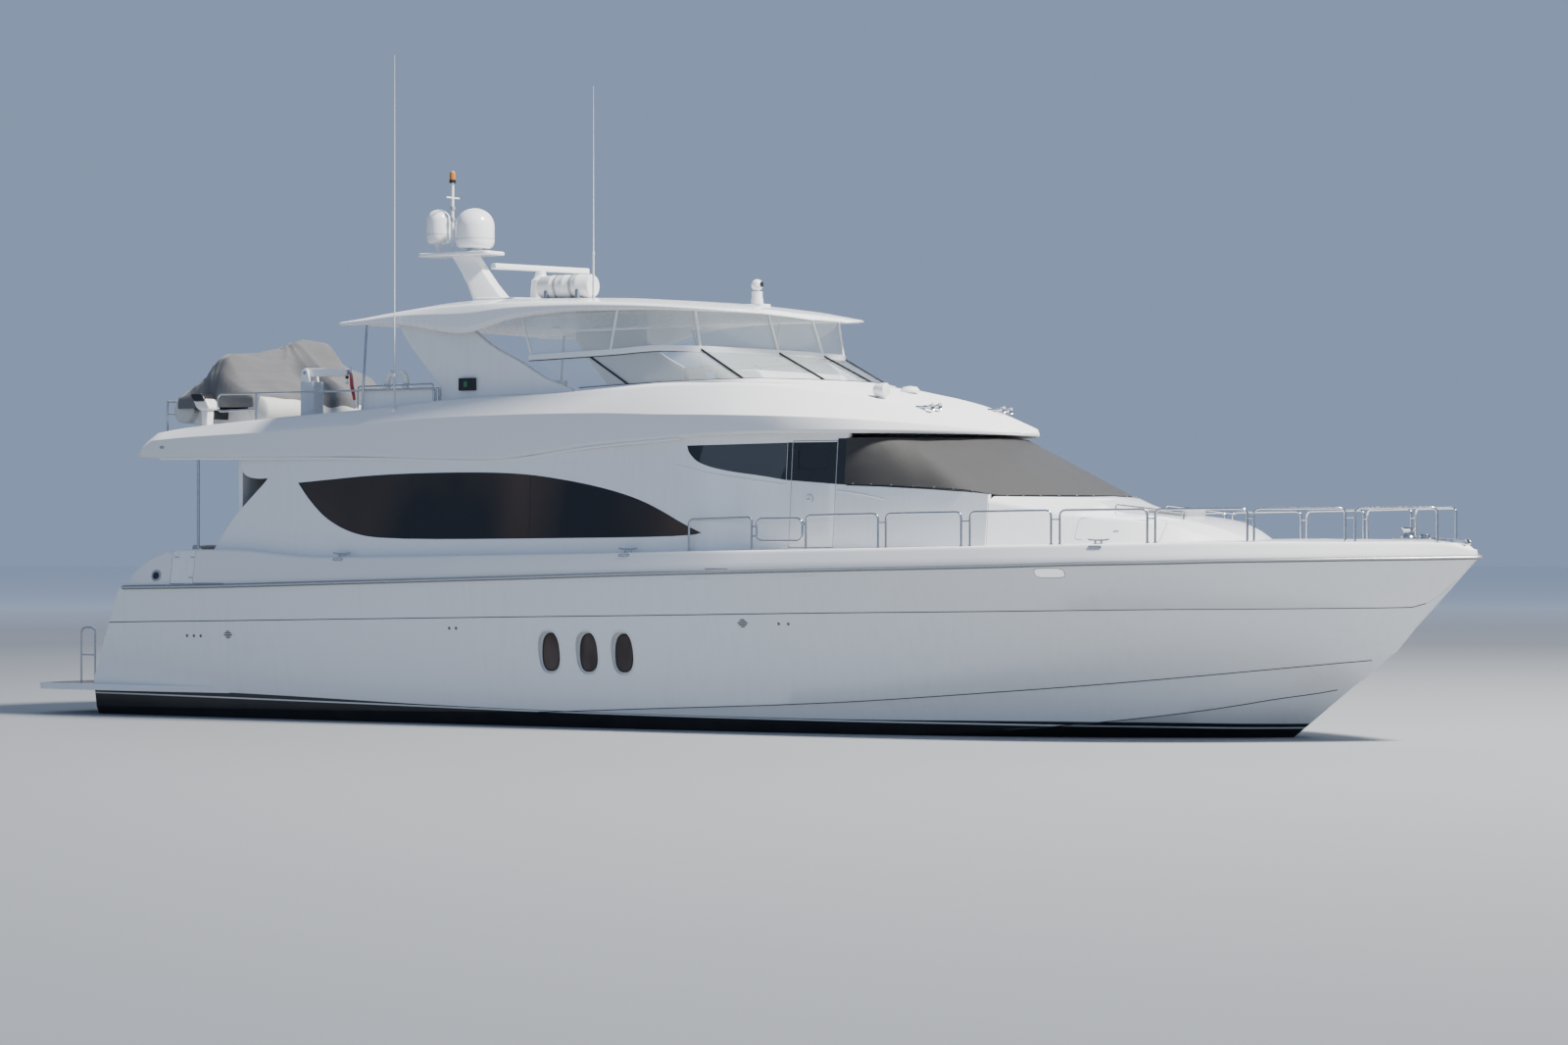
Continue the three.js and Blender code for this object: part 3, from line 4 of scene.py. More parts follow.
import bmesh
import bpy
import numpy as np
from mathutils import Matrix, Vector


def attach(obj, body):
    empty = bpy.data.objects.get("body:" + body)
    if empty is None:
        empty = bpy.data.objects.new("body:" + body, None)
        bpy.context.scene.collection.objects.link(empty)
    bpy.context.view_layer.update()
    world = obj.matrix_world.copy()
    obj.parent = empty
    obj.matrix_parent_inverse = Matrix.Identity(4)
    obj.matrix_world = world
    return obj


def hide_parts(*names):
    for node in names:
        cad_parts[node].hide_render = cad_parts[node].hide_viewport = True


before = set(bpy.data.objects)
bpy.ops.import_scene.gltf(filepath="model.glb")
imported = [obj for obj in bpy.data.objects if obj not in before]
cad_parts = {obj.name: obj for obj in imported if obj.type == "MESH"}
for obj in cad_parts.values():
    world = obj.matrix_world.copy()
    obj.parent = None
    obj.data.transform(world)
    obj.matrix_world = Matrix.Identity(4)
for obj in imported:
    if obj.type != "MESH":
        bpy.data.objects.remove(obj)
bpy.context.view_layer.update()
STARBOARD, PORT = -1, 1
SIDES = ((STARBOARD, "starboard"), (PORT, "port"))
FAR = 6000

TRANSOM_X, TRANSOM_RAKE, TRANSOM_KNEE_Z, TRANSOM_TOP_Z = -10850, 0.473, 570, 2068
RAKE_START_X = -9500
KNEE_SHARE, KNEE_BULGE = 0.326, 3
SOLE_Z, WELL_HALF, WELL_AFT_X, WELL_FRONT_X = 1950, 2700, -9750, 1400
BULKHEAD_X = -7950
BOAT_DECK_Z, COAMING_HALF = 4420, 2550
ON_DECK, ON_SOLE = BOAT_DECK_Z + 0.3, SOLE_Z + 0.3
RAIL_R = 17
POLE_X, RADAR_X, POST_X, CAMERA_X = -5700, -3940, -8680, 190
MAST_TOP = 7500

# x, keel z, lower chine y z, upper chine y z, groove y z, sheer y z
HULL = [
    [-10850, -700, 2620, -220, 2800, 120, 3000, 1500, 3050, 2066],
    [-9000, -780, 2720, -240, 2900, 140, 3060, 1530, 3100, 2085],
    [-5500, -950, 2800, -240, 2980, 170, 3160, 1600, 3210, 2170],
    [-2200, -1030, 2820, -220, 3000, 220, 3190, 1665, 3240, 2260],
    [200, -1060, 2800, -170, 2970, 320, 3180, 1710, 3240, 2330],
    [3200, -1080, 2620, -50, 2800, 460, 3080, 1770, 3220, 2400],
    [6000, -1020, 2120, 120, 2320, 670, 2780, 1815, 3120, 2460],
    [7500, -880, 1650, 270, 1860, 800, 2420, 1840, 2950, 2500],
    [8600, -560, 1150, 420, 1380, 910, 2020, 1855, 2670, 2520],
    [9350, -10, 720, 560, 970, 990, 1660, 1860, 2360, 2540],
    [10270, 720, 20, 750, 420, 1090, 1100, 1870, 1820, 2555],
    [10810, 1140, 6, 1146, 20, 1158, 720, 1875, 1400, 2565],
    [11310, 1640, 6, 1646, 12, 1660, 240, 1885, 970, 2572],
    [11800, 2150, 6, 2156, 12, 2170, 20, 2192, 480, 2580],
    [12180, 2552, 6, 2558, 12, 2564, 18, 2570, 60, 2588],
]
# x, inset of the top edge from the sheer, top z, camber
GUNWALE = [
    [-10100, 30, 2110, 0], [-9990, 60, 2210, 0], [-9830, 70, 2360, 0], [-9550, 80, 2530, 0],
    [-9200, 90, 2650, 0], [-8950, 95, 2680, 0], [-7960, 100, 2685, 0], [-6010, 100, 2570, 0],
    [-2730, 100, 2610, 0], [3240, 105, 2700, 20], [7390, 110, 2770, 40], [9680, 115, 2800, 50],
    [11500, 115, 2800, 30], [11900, 60, 2780, 10], [12120, 40, 2700, 0],
]
# x, half-width at z 2700, half-width at z 4200
HOUSE = [
    [-8500, 2800, 2780], [-6000, 2900, 2860], [-2000, 2930, 2880], [500, 2900, 2810], [1600, 2750, 2640],
    [2500, 2620, 2490], [4200, 2500, 2330], [5800, 2330, 2110],
]
# x, lower edge y z, crease y z, top edge y z, crown z
BROW = [
    [-9990, 2790, 4180, 2800, 4230, 2720, 4260, 4262],
    [-9800, 2930, 4170, 2930, 4300, 2790, 4420, 4422],
    [-9550, 2950, 4165, 2950, 4440, 2790, 4570, 4572],
    [-7100, 2950, 4145, 2950, 4550, 2790, 4780, 4782],
    [-5600, 2950, 4140, 2950, 4620, 2780, 4870, 4872],
    [-3850, 2950, 4080, 2950, 4720, 2760, 5000, 5002],
    [-2800, 2950, 4060, 2950, 4740, 2750, 5050, 5052],
    [-1900, 2950, 4140, 2945, 4750, 2740, 5065, 5070],
    [-850, 2950, 4260, 2940, 4745, 2700, 5130, 5140],
    [300, 2945, 4330, 2930, 4710, 2600, 5190, 5210],
    [1240, 2935, 4380, 2920, 4690, 2450, 5180, 5230],
    [2300, 2880, 4400, 2850, 4660, 2100, 5090, 5190],
    [3000, 2720, 4400, 2680, 4630, 1800, 4970, 5060],
    [3500, 2490, 4400, 2440, 4600, 1540, 4860, 4940],
    [4000, 2040, 4400, 1980, 4560, 1220, 4720, 4790],
    [4300, 1620, 4400, 1560, 4525, 960, 4625, 4680],
    [4550, 1130, 4400, 1080, 4490, 660, 4545, 4580],
    [4710, 640, 4400, 600, 4460, 360, 4490, 4505],
    [4780, 250, 4400, 230, 4430, 130, 4445, 4450],
]
# x, half-width, fascia lower z, fascia top z, crown z, underside z
HARDTOP = [
    [-5870, 2740, 6215, 6265, 6420, 6240], [-5600, 2770, 6205, 6290, 6520, 6270],
    [-4730, 2770, 6180, 6390, 6640, 6330], [-4120, 2760, 6080, 6440, 6665, 6340],
    [-3520, 2740, 6000, 6470, 6660, 6340], [-2540, 2700, 6220, 6480, 6640, 6345],
    [-1350, 2620, 6315, 6460, 6600, 6345], [-620, 2540, 6310, 6430, 6550, 6340],
    [200, 2420, 6290, 6370, 6480, 6320], [700, 2200, 6270, 6330, 6410, 6290],
    [1230, 1450, 6245, 6275, 6310, 6255], [1500, 550, 6190, 6205, 6220, 6195],
]
# x, half-width at the foot, shoulder y z, half-width and z of the top
TRUNK = [
    [5600, 2345, 2240, 3400, 2090, 3475], [5930, 2220, 2040, 3335, 1700, 3470], [6220, 2130, 1910, 3275, 1250, 3468],
    [6450, 2080, 1820, 3230, 760, 3462], [6600, 2050, 1760, 3200, 720, 3400], [7000, 1960, 1650, 3160, 900, 3250],
    [7600, 1820, 1460, 3110, 900, 3190], [8000, 1700, 1280, 3040, 800, 3140], [8400, 1500, 1020, 2920, 650, 3040],
    [8750, 1200, 780, 2780, 450, 2890], [8900, 1050, 640, 2700, 350, 2800],
]
# x, half-width, top z of the bow rails
RAILS = [
    [890, 2960, 3140], [2940, 2960, 3190], [5520, 2900, 3230], [6900, 2750, 3250], [8390, 2460, 3262],
    [9635, 1895, 3272], [10778, 1056, 3280], [11730, 330, 3285],
]
HOOPS = [[2940, 4160], [4290, 5520], [5660, 6900], [7030, 8290], [8400, 9570], [9650, 10690], [10800, 11730]]
AFT_HOOP = [890, 2000]
SIDE_OUTLINE = [[-8500, 2500], [-8350, 2700], [-7960, 3170], [-7520, 3560], [-7330, 3720], [-7230, 3815],
                [-7680, 3860], [-7820, 4110], [-7860, 4460], [3330, 4460], [3330, 3630], [3900, 3610],
                [4600, 3570], [5200, 3530], [5590, 3488], [5590, 2500]]
SALOON_WINDOW = [[-6600, 3740], [-6390, 3500], [-6070, 3220], [-5760, 3050], [-5390, 2930], [-4920, 2870],
                 [-1700, 2860], [880, 2910], [1020, 2940], [720, 3080], [380, 3250], [40, 3400], [-360, 3530],
                 [-870, 3650], [-1450, 3750], [-2090, 3830], [-2860, 3870], [-4240, 3870], [-5150, 3840],
                 [-5900, 3790]]
SIDE_WINDOW = [[740, 4240], [770, 4150], [890, 4020], [1060, 3940], [1390, 3860], [1950, 3780],
               [2340, 3715], [2340, 4270]]
WING_OUTLINE = [[-4100, 4900], [-4100, 5210], [-4910, 6170], [-4910, 6300], [-3460, 6300], [-3460, 6090],
                [-2560, 5570], [-1600, 5140], [-1600, 4900]]
DOOR = dict(aft=2430, front=3150, low=2730, high=4290)
QUARTER_GATE = dict(aft=-9040, front=-8567, low=2140)


# Numbers and outlines

def read(table, x):
    """Monotone cubic reading of a table at x; the first column is x."""
    rows = np.asarray(table, float)
    last = len(rows) - 1
    at = min(max(x, rows[0, 0]), rows[last, 0])
    k = 0
    while k < last - 1 and at > rows[k + 1, 0]:
        k += 1
    span = rows[k + 1, 0] - rows[k, 0]
    t = (at - rows[k, 0]) / span

    def slope(i):
        return (rows[i + 1] - rows[i]) / (rows[i + 1, 0] - rows[i, 0])

    def tangent(i):
        if i == 0:
            return slope(0)
        if i == last:
            return slope(last - 1)
        a, b = slope(i - 1), slope(i)
        with np.errstate(divide="ignore", invalid="ignore"):
            mean = np.where(a * b <= 0, 0.0, 2 * a * b / (a + b))
        return mean

    m, n = tangent(k) * span, tangent(k + 1) * span
    return (rows[k] * (2 * t**3 - 3 * t**2 + 1) + m * (t**3 - 2 * t**2 + t)
            + rows[k + 1] * (3 * t**2 - 2 * t**3) + n * (t**3 - t**2))


def stations(table, step):
    """The table's own stations, with others between them no further apart than about the step."""
    found = []
    for a, b in zip(table, table[1:]):
        parts = max(1, round((b[0] - a[0]) / step))
        found += [a[0] + (b[0] - a[0]) * i / parts for i in range(parts)]
    return found + [table[-1][0]]


def fillet(points, radii, steps=4):
    """Rounds each corner of an open or closed outline whose radius is not zero."""
    result = []
    count = len(points)
    for i, point in enumerate(points):
        radius = radii[i]
        before, here, after = (np.array(points[(i + d) % count], float) for d in (-1, 0, 1))
        if radius == 0:
            result.append(list(here))
            continue
        a, b = before - here, after - here
        la, lb = np.linalg.norm(a), np.linalg.norm(b)
        a, b = a / la, b / lb
        cos = float(np.clip(a @ b, -0.9999, 0.9999))
        reach = min(radius / math.tan(math.acos(cos) / 2), la * 0.45, lb * 0.45)
        start, end = here + a * reach, here + b * reach
        for s in range(steps + 1):
            t = s / steps
            result.append(list(start * (1 - t) ** 2 + here * 2 * t * (1 - t) + end * t**2))
    return result


def spline(points, steps, closed=True, corners=()):
    """A smooth outline through points, with sharp turns kept at the numbered corners."""
    pts = [np.array(p, float) for p in points]
    count = len(pts)
    result = []
    for i in range(count if closed else count - 1):
        p1, p2 = pts[i], pts[(i + 1) % count]
        p0 = pts[i - 1] if (closed or i > 0) and i not in corners else 2 * p1 - p2
        after = (i + 1) % count
        has_next = closed or i + 2 < count
        p3 = pts[(i + 2) % count] if has_next and after not in corners else 2 * p2 - p1
        d0, d1, d2 = (max(np.linalg.norm(b - a), 1e-6) ** 0.5 for a, b in ((p0, p1), (p1, p2), (p2, p3)))
        m1 = (p2 - p1) + d1 * ((p1 - p0) / d0 - (p2 - p0) / (d0 + d1))
        m2 = (p2 - p1) + d1 * ((p3 - p2) / d2 - (p3 - p1) / (d1 + d2))
        for s in range(steps):
            t = s / steps
            result.append(list(p1 * (2 * t**3 - 3 * t**2 + 1) + m1 * (t**3 - 2 * t**2 + t)
                               + p2 * (3 * t**2 - 2 * t**3) + m2 * (t**3 - t**2)))
    if not closed:
        result.append(list(pts[-1]))
    return result


def curve(points, steps):
    return spline(points, steps, closed=False)


def turns(count):
    """The angles of a circle cut into equal parts."""
    return [2 * math.pi * i / count for i in range(count)]


def rounded(low, high, radius, steps=6):
    corners = ((high[0], high[1], 0), (low[0], high[1], 1), (low[0], low[1], 2), (high[0], low[1], 3))
    outline = []
    for x, y, quarter in corners:
        cx = x - radius if x == high[0] else x + radius
        cy = y - radius if y == high[1] else y + radius
        for i in range(steps + 1):
            angle = math.pi / 2 * (quarter + i / steps)
            outline.append([cx + radius * math.cos(angle), cy + radius * math.sin(angle)])
    return outline


def oval(cx, cy, rx, ry, power=2.0, steps=48):
    outline = []
    for angle in turns(steps):
        c, s = math.cos(angle), math.sin(angle)
        outline.append([cx + rx * math.copysign(abs(c) ** (2 / power), c),
                        cy + ry * math.copysign(abs(s) ** (2 / power), s)])
    return outline


def inset(outline, distance):
    pts = np.array(outline, float)
    area = 0.5 * np.sum(pts[:, 0] * np.roll(pts[:, 1], -1) - np.roll(pts[:, 0], -1) * pts[:, 1])
    turn = math.copysign(1, area)
    ahead = np.roll(pts, -1, 0) - pts
    ahead /= np.linalg.norm(ahead, axis=1)[:, None]
    behind = np.roll(ahead, 1, 0)
    normal = ahead + behind
    normal /= np.linalg.norm(normal, axis=1)[:, None]
    return [[p[0] - n[1] * distance * turn, p[1] + n[0] * distance * turn] for p, n in zip(pts, normal)]


def both_sides(half):
    return list(half) + [[x, -y, z] for x, y, z in reversed(half) if abs(y) > 1e-9]


# Meshes

def new_object(name, verts, faces, scale=0.001):
    mesh = bpy.data.meshes.new(name)
    mesh.from_pydata([[v * scale for v in p] for p in verts], [], faces)
    mesh.validate()
    obj = bpy.data.objects.new(name, mesh)
    bpy.context.scene.collection.objects.link(obj)
    return obj


def outward(obj):
    bm = bmesh.new()
    bm.from_mesh(obj.data)
    bmesh.ops.remove_doubles(bm, verts=bm.verts, dist=2e-5)
    bmesh.ops.dissolve_degenerate(bm, edges=bm.edges, dist=1e-6)
    bmesh.ops.recalc_face_normals(bm, faces=bm.faces)
    bm.to_mesh(obj.data)
    bm.free()
    return obj


def loft(name, rings, joined=False):
    """A skin of quads through rings of equal point count, with a face over each open end."""
    count = len(rings[0])
    verts = [p for ring in rings for p in ring]
    faces = []
    for r in range(len(rings) if joined else len(rings) - 1):
        a, b = r * count, ((r + 1) % len(rings)) * count
        faces += [[a + i, a + (i + 1) % count, b + (i + 1) % count, b + i] for i in range(count)]
    if not joined:
        faces += [[start + i for i in range(count)] for start in (0, (len(rings) - 1) * count)]
    return outward(new_object(name, verts, faces))


def prism(name, outline, low, high, axis):
    place = {"x": lambda u, v, w: [w, u, v], "y": lambda u, v, w: [u, w, v], "z": lambda u, v, w: [u, v, w]}[axis]
    count = len(outline)
    verts = [place(u, v, w) for w in (low, high) for u, v in outline]
    faces = [list(range(count)), list(range(count, 2 * count))]
    faces += [[i, (i + 1) % count, count + (i + 1) % count, count + i] for i in range(count)]
    return outward(new_object(name, verts, faces))


def block(name, low, high):
    outline = [[low[0], low[1]], [high[0], low[1]], [high[0], high[1]], [low[0], high[1]]]
    return prism(name, outline, low[2], high[2], "z")


def tube(name, path, radius, sides=12, joined=False, section=None):
    """A round bar, or one of the given section, along a polyline with mitred corners."""
    pts = [Vector(p) for p in path]
    count = len(pts)
    along = [(pts[(i + 1) % count] - pts[i]).normalized() for i in range(count)]
    if not joined:
        along[-1] = along[-2]
    upright = Vector((1, 0, 0)) if abs(along[0].z) > 0.9 else Vector((0, 0, 1))
    out = along[0].cross(upright).normalized()
    up = out.cross(along[0])
    if section is None:
        section = [[radius * math.cos(angle), radius * math.sin(angle)] for angle in turns(sides)]
    ring = [pts[0] + out * u + up * v for u, v in section]
    rings = []
    for i, point in enumerate(pts):
        before = along[i - 1] if i > 0 or joined else along[0]
        plane = (before + along[i]).normalized()
        travel = along[i - 1] if i > 0 else along[0]
        ring = [p + travel * ((point - p).dot(plane) / travel.dot(plane)) for p in ring]
        rings.append([list(p) for p in ring])
    return loft(name, rings, joined=joined)


def bend(path, radius, steps=4):
    """A polyline whose inner corners are rounded, for a bent pipe."""
    radii = [0] + [radius] * (len(path) - 2) + [0]
    return fillet(path, radii, steps)


def lathe(name, profile, centre, segments=32, axis="z"):
    rings = []
    for r, h in profile:
        ring = []
        for angle in turns(segments):
            u, v = r * math.cos(angle), r * math.sin(angle)
            local = {"z": (u, v, h), "y": (u, h, v), "x": (h, u, v)}[axis]
            ring.append([c + d for c, d in zip(centre, local)])
        rings.append(ring)
    return loft(name, rings)


def evaluated(obj):
    return bpy.data.meshes.new_from_object(obj.evaluated_get(bpy.context.evaluated_depsgraph_get()))


def apply(obj, mesh=None):
    mesh, old = mesh or evaluated(obj), obj.data
    obj.modifiers.clear()
    obj.data = mesh
    bpy.data.meshes.remove(old)
    return obj


def drop(obj):
    mesh = obj.data
    bpy.data.objects.remove(obj)
    bpy.data.meshes.remove(mesh)


def combine(obj, other, operation):
    mod = obj.modifiers.new("bool", "BOOLEAN")
    mod.operation, mod.object, mod.solver = operation, other, "MANIFOLD"
    before = len(obj.data.polygons)
    bpy.context.view_layer.update()
    mesh = evaluated(obj)
    if len(mesh.polygons) == 0 or (operation == "DIFFERENCE" and len(mesh.polygons) == before):
        bpy.data.meshes.remove(mesh)
        mod.solver = "EXACT"
        bpy.context.view_layer.update()
        mesh = evaluated(obj)
    apply(obj, mesh)
    drop(other)
    return obj


def cut(obj, *cutters):
    for cutter in cutters:
        combine(obj, cutter, "DIFFERENCE")
    return obj


def keep(obj, other):
    return combine(obj, other, "INTERSECT")


def join(name, parts):
    """Several objects made one, without merging their skins."""
    verts, faces = [], []
    for part in parts:
        first = len(verts)
        verts += [list(v.co) for v in part.data.vertices]
        faces += [[first + i for i in polygon.vertices] for polygon in part.data.polygons]
        drop(part)
    return new_object(name, verts, faces, scale=1)


def quads(rows, width):
    """The faces of a sheet whose points lie in rows of the given width."""
    return [[r * width + c, r * width + c + 1, (r + 1) * width + c + 1, (r + 1) * width + c]
            for r in range(rows) for c in range(width - 1)]


def thicken(obj, thickness):
    mod = obj.modifiers.new("thick", "SOLIDIFY")
    mod.thickness, mod.offset = thickness, 0
    return apply(obj)


def bevel(obj, width, segments=3, angle=35):
    mod = obj.modifiers.new("bevel", "BEVEL")
    mod.width, mod.segments, mod.limit_method = width * 0.001, segments, "ANGLE"
    mod.angle_limit = math.radians(angle)
    mod.use_clamp_overlap = True
    return apply(obj)


def smooth(obj, angle=32):
    mesh = obj.data
    mesh.polygons.foreach_set("use_smooth", [True] * len(mesh.polygons))
    mesh.set_sharp_from_angle(angle=math.radians(angle))
    mesh.update()
    return obj


def laid(half_breadth, line, out, side):
    """A line in x and z laid on a side, so far out from the given half-breadth."""
    return [[x, side * (half_breadth(x, z) + out), z] for x, z in line]


def dress(obj, finish, slot, node=None, body="yacht", angle=32):
    """Gives a piece its smooth shading, material and body, and hides the CAD node that it stands for. The slot is not
    used.
    """
    smooth(obj, angle)
    obj.data.materials.clear()
    obj.data.materials.append(finish)
    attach(obj, body)
    if node:
        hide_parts(node)
    return obj


def pipe(finish, slot, *shape, node=None, body="yacht", angle=60, **more):
    return dress(tube(*shape, **more), finish, slot, node, body, angle)


def spun(finish, slot, *shape, node=None, body="yacht", angle=32):
    return dress(lathe(*shape), finish, slot, node, body, angle)


def box(finish, slot, edge, *shape, node=None, body="yacht"):
    return dress(bevel(block(*shape), edge), finish, slot, node, body)


def slab(finish, slot, edge, *shape, node=None, body="yacht"):
    return dress(bevel(prism(*shape), *edge), finish, slot, node, body)


def floored(obj, finish, slot, angle, is_floor):
    """Gives a cut moulding its finishes. Its empty first slot stays, so that the finish shows on the floor only."""
    smooth(obj, angle)
    obj.data.materials.append(finish)
    obj.data.materials.append(NONSKID)
    for polygon in obj.data.polygons:
        if is_floor(polygon):
            polygon.material_index = 1
    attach(obj, "yacht")
    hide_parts(slot)


# Materials

class Nodes:
    """A short way to write a material's node tree."""

    def __init__(self, name):
        self.material = bpy.data.materials.new(name)
        self.material.use_nodes = True
        self.tree = self.material.node_tree
        self.shader = self.tree.nodes["Principled BSDF"]
        coordinates = self.tree.nodes.new("ShaderNodeTexCoord")
        self.place = coordinates.outputs["Object"]

    def add(self, kind, inputs=None, **values):
        node = self.tree.nodes.new("ShaderNode" + kind)
        for key, value in values.items():
            setattr(node, key, value)
        for key, value in (inputs or {}).items():
            self.wire(value, node.inputs[key])
        return node

    def wire(self, value, socket):
        if isinstance(value, bpy.types.NodeSocket):
            self.tree.links.new(value, socket)
        else:
            socket.default_value = value

    def set(self, **values):
        names = dict(colour="Base Color", rough="Roughness", metal="Metallic", normal="Normal", coat="Coat Weight",
                     coat_rough="Coat Roughness", alpha="Alpha", sheen="Sheen Weight",
                     sheen_rough="Sheen Roughness", specular="Specular IOR Level")
        for key, value in values.items():
            self.wire(value, self.shader.inputs[names[key]])

    def noise(self, scale, detail=3.0, stretch=None):
        vector = self.place
        if stretch:
            vector = self.add("Mapping", {"Vector": vector, "Scale": stretch}).outputs[0]
        return self.add("TexNoise", {"Vector": vector, "Scale": scale, "Detail": detail}).outputs[0]

    def math(self, operation, a, b=0.0, clamp=False):
        return self.add("Math", {0: a, 1: b}, operation=operation, use_clamp=clamp).outputs[0]

    def range(self, value, low, high, to_low, to_high):
        return self.add("MapRange", {"Value": value, "From Min": low, "From Max": high, "To Min": to_low,
                                     "To Max": to_high}).outputs[0]

    def mix(self, share, a, b):
        node = self.add("Mix", data_type="RGBA")
        for key, value in ((0, share), (6, a), (7, b)):
            self.wire(value, node.inputs[key])
        return node.outputs[2]

    def bump(self, height, strength, distance, normal=None):
        inputs = {"Height": height, "Strength": strength, "Distance": distance}
        if normal is not None:
            inputs["Normal"] = normal
        return self.add("Bump", inputs).outputs[0]


def shade(colour, factor):
    return [min(1.0, channel * factor) for channel in colour[:3]] + [1.0]


def gelcoat(name, colour=(0.86, 0.87, 0.87), rough=0.2):
    """Moulded glass-fibre skin: even gloss, faint waviness, mottled dirt that runs down from the edges."""
    n = Nodes(name)
    cloud = n.noise(0.9, 4)
    runs = n.noise(5.0, 5, stretch=(3.0, 3.0, 0.25))
    dirt = n.math("MULTIPLY", n.range(cloud, 0.35, 0.7, 0, 1), n.range(runs, 0.45, 0.75, 0, 1))
    base = n.mix(n.math("MULTIPLY", dirt, 0.3), shade(colour, 1.0), shade(colour, 0.8))
    n.set(colour=base, rough=n.range(runs, 0.3, 0.8, rough * 0.8, rough * 1.5), coat=0.6, coat_rough=0.06,
          normal=n.bump(n.noise(1.6, 2), 0.12, 0.01, n.bump(n.noise(420, 2), 0.04, 0.001)))
    return n.material


def metal(name, colour, rough, brushed=None, stain=0.1):
    n = Nodes(name)
    grain = n.noise(60, 3, stretch=brushed) if brushed else n.noise(40, 3)
    spots = n.range(n.noise(14, 5), 0.55, 0.75, 0, 1)
    n.set(colour=n.mix(n.math("MULTIPLY", spots, stain), shade(colour, 1), shade(colour, 0.62)), metal=1.0,
          rough=n.range(grain, 0.3, 0.7, rough * 0.7, rough * 1.5),
          normal=n.bump(grain, 0.08, 0.0006))
    return n.material


def weave(n, pitch):
    """Height of a plain weave of two thread directions."""
    split = n.add("SeparateXYZ", {0: n.place})
    first, second = (n.math("SINE", n.math("MULTIPLY", split.outputs[axis], 2 * math.pi / pitch)) for axis in "XZ")
    return n.math("MULTIPLY", first, second)


def cloth(name, colour, pitch, vary=0.12, rough=0.9, strength=0.35, sheen=0.3):
    n = Nodes(name)
    threads = weave(n, pitch)
    blotch = n.range(n.noise(2.2, 5), 0.35, 0.7, 0, 1)
    tone = n.mix(n.math("MULTIPLY", blotch, vary * 4, True), shade(colour, 1.0), shade(colour, 1 - vary * 2))
    n.set(colour=n.mix(n.range(threads, -1, 1, 0.0, 0.35), tone, shade(colour, 0.72)), rough=rough, sheen=sheen,
          sheen_rough=0.5, normal=n.bump(threads, strength, pitch * 0.3, n.bump(n.noise(7, 4), 0.25, 0.02)))
    return n.material


def dark_glass(name, colour, rough=0.03, tint=(0.10, 0.07, 0.05), scale=0.35):
    """Tinted glass seen from outside: near black, with broad warm shadows of what lies behind."""
    n = Nodes(name)
    shadows = n.range(n.noise(scale, 2, stretch=(1.0, 1.0, 0.35)), 0.42, 0.62, 0, 1)
    n.set(colour=n.mix(shadows, shade(colour, 1), list(tint) + [1.0]), rough=rough, specular=0.35, coat=0.15,
          coat_rough=0.02, normal=n.bump(n.noise(0.8, 1), 0.05, 0.01))
    return n.material


def clear_glass(name, colour):
    n = Nodes(name)
    smear = n.range(n.noise(9, 4, stretch=(1, 1, 0.3)), 0.4, 0.75, 0, 1)
    n.set(colour=shade(colour, 1), rough=n.range(smear, 0, 1, 0.02, 0.12), alpha=0.22, coat=1.0, coat_rough=0.02,
          normal=n.bump(n.noise(3, 1), 0.03, 0.01))
    return n.material


def plastic(name, colour, rough=0.45, pitted=0.15):
    n = Nodes(name)
    grain = n.noise(260, 3)
    n.set(colour=n.mix(n.range(n.noise(6, 4), 0.4, 0.7, 0, 0.6), shade(colour, 1), shade(colour, 0.86)),
          rough=n.range(grain, 0.3, 0.7, rough * 0.85, rough * 1.2), normal=n.bump(grain, pitted, 0.0008))
    return n.material


def nonskid(name, colour):
    n = Nodes(name)
    cells = n.add("TexVoronoi", {"Vector": n.place, "Scale": 160.0}).outputs[0]
    n.set(colour=n.mix(n.range(n.noise(1.5, 5), 0.4, 0.7, 0, 0.7), shade(colour, 1), shade(colour, 0.88)), rough=0.75,
          normal=n.bump(cells, 0.5, 0.0015))
    return n.material


def leather(name, colour):
    n = Nodes(name)
    cells = n.add("TexVoronoi", {"Vector": n.place, "Scale": 300.0}).outputs[0]
    n.set(colour=n.mix(n.range(n.noise(5, 4), 0.35, 0.7, 0, 0.7), shade(colour, 1), shade(colour, 0.85)), rough=0.5,
          coat=0.1, normal=n.bump(cells, 0.25, 0.0006))
    return n.material


def teak(name):
    n = Nodes(name)
    split = n.add("SeparateXYZ", {0: n.place})
    seam = n.math("GREATER_THAN", n.math("ABSOLUTE", n.math("SINE", n.math("MULTIPLY", split.outputs["Y"],
                                                                        math.pi / 0.06))), 0.12)
    grain = n.noise(30, 5, stretch=(0.08, 1, 1))
    wood = n.mix(n.range(grain, 0.3, 0.7, 0, 1), (0.36, 0.25, 0.15, 1), (0.52, 0.39, 0.26, 1))
    n.set(colour=n.mix(seam, (0.03, 0.03, 0.03, 1), wood), rough=0.7, normal=n.bump(seam, 0.3, 0.001))
    return n.material


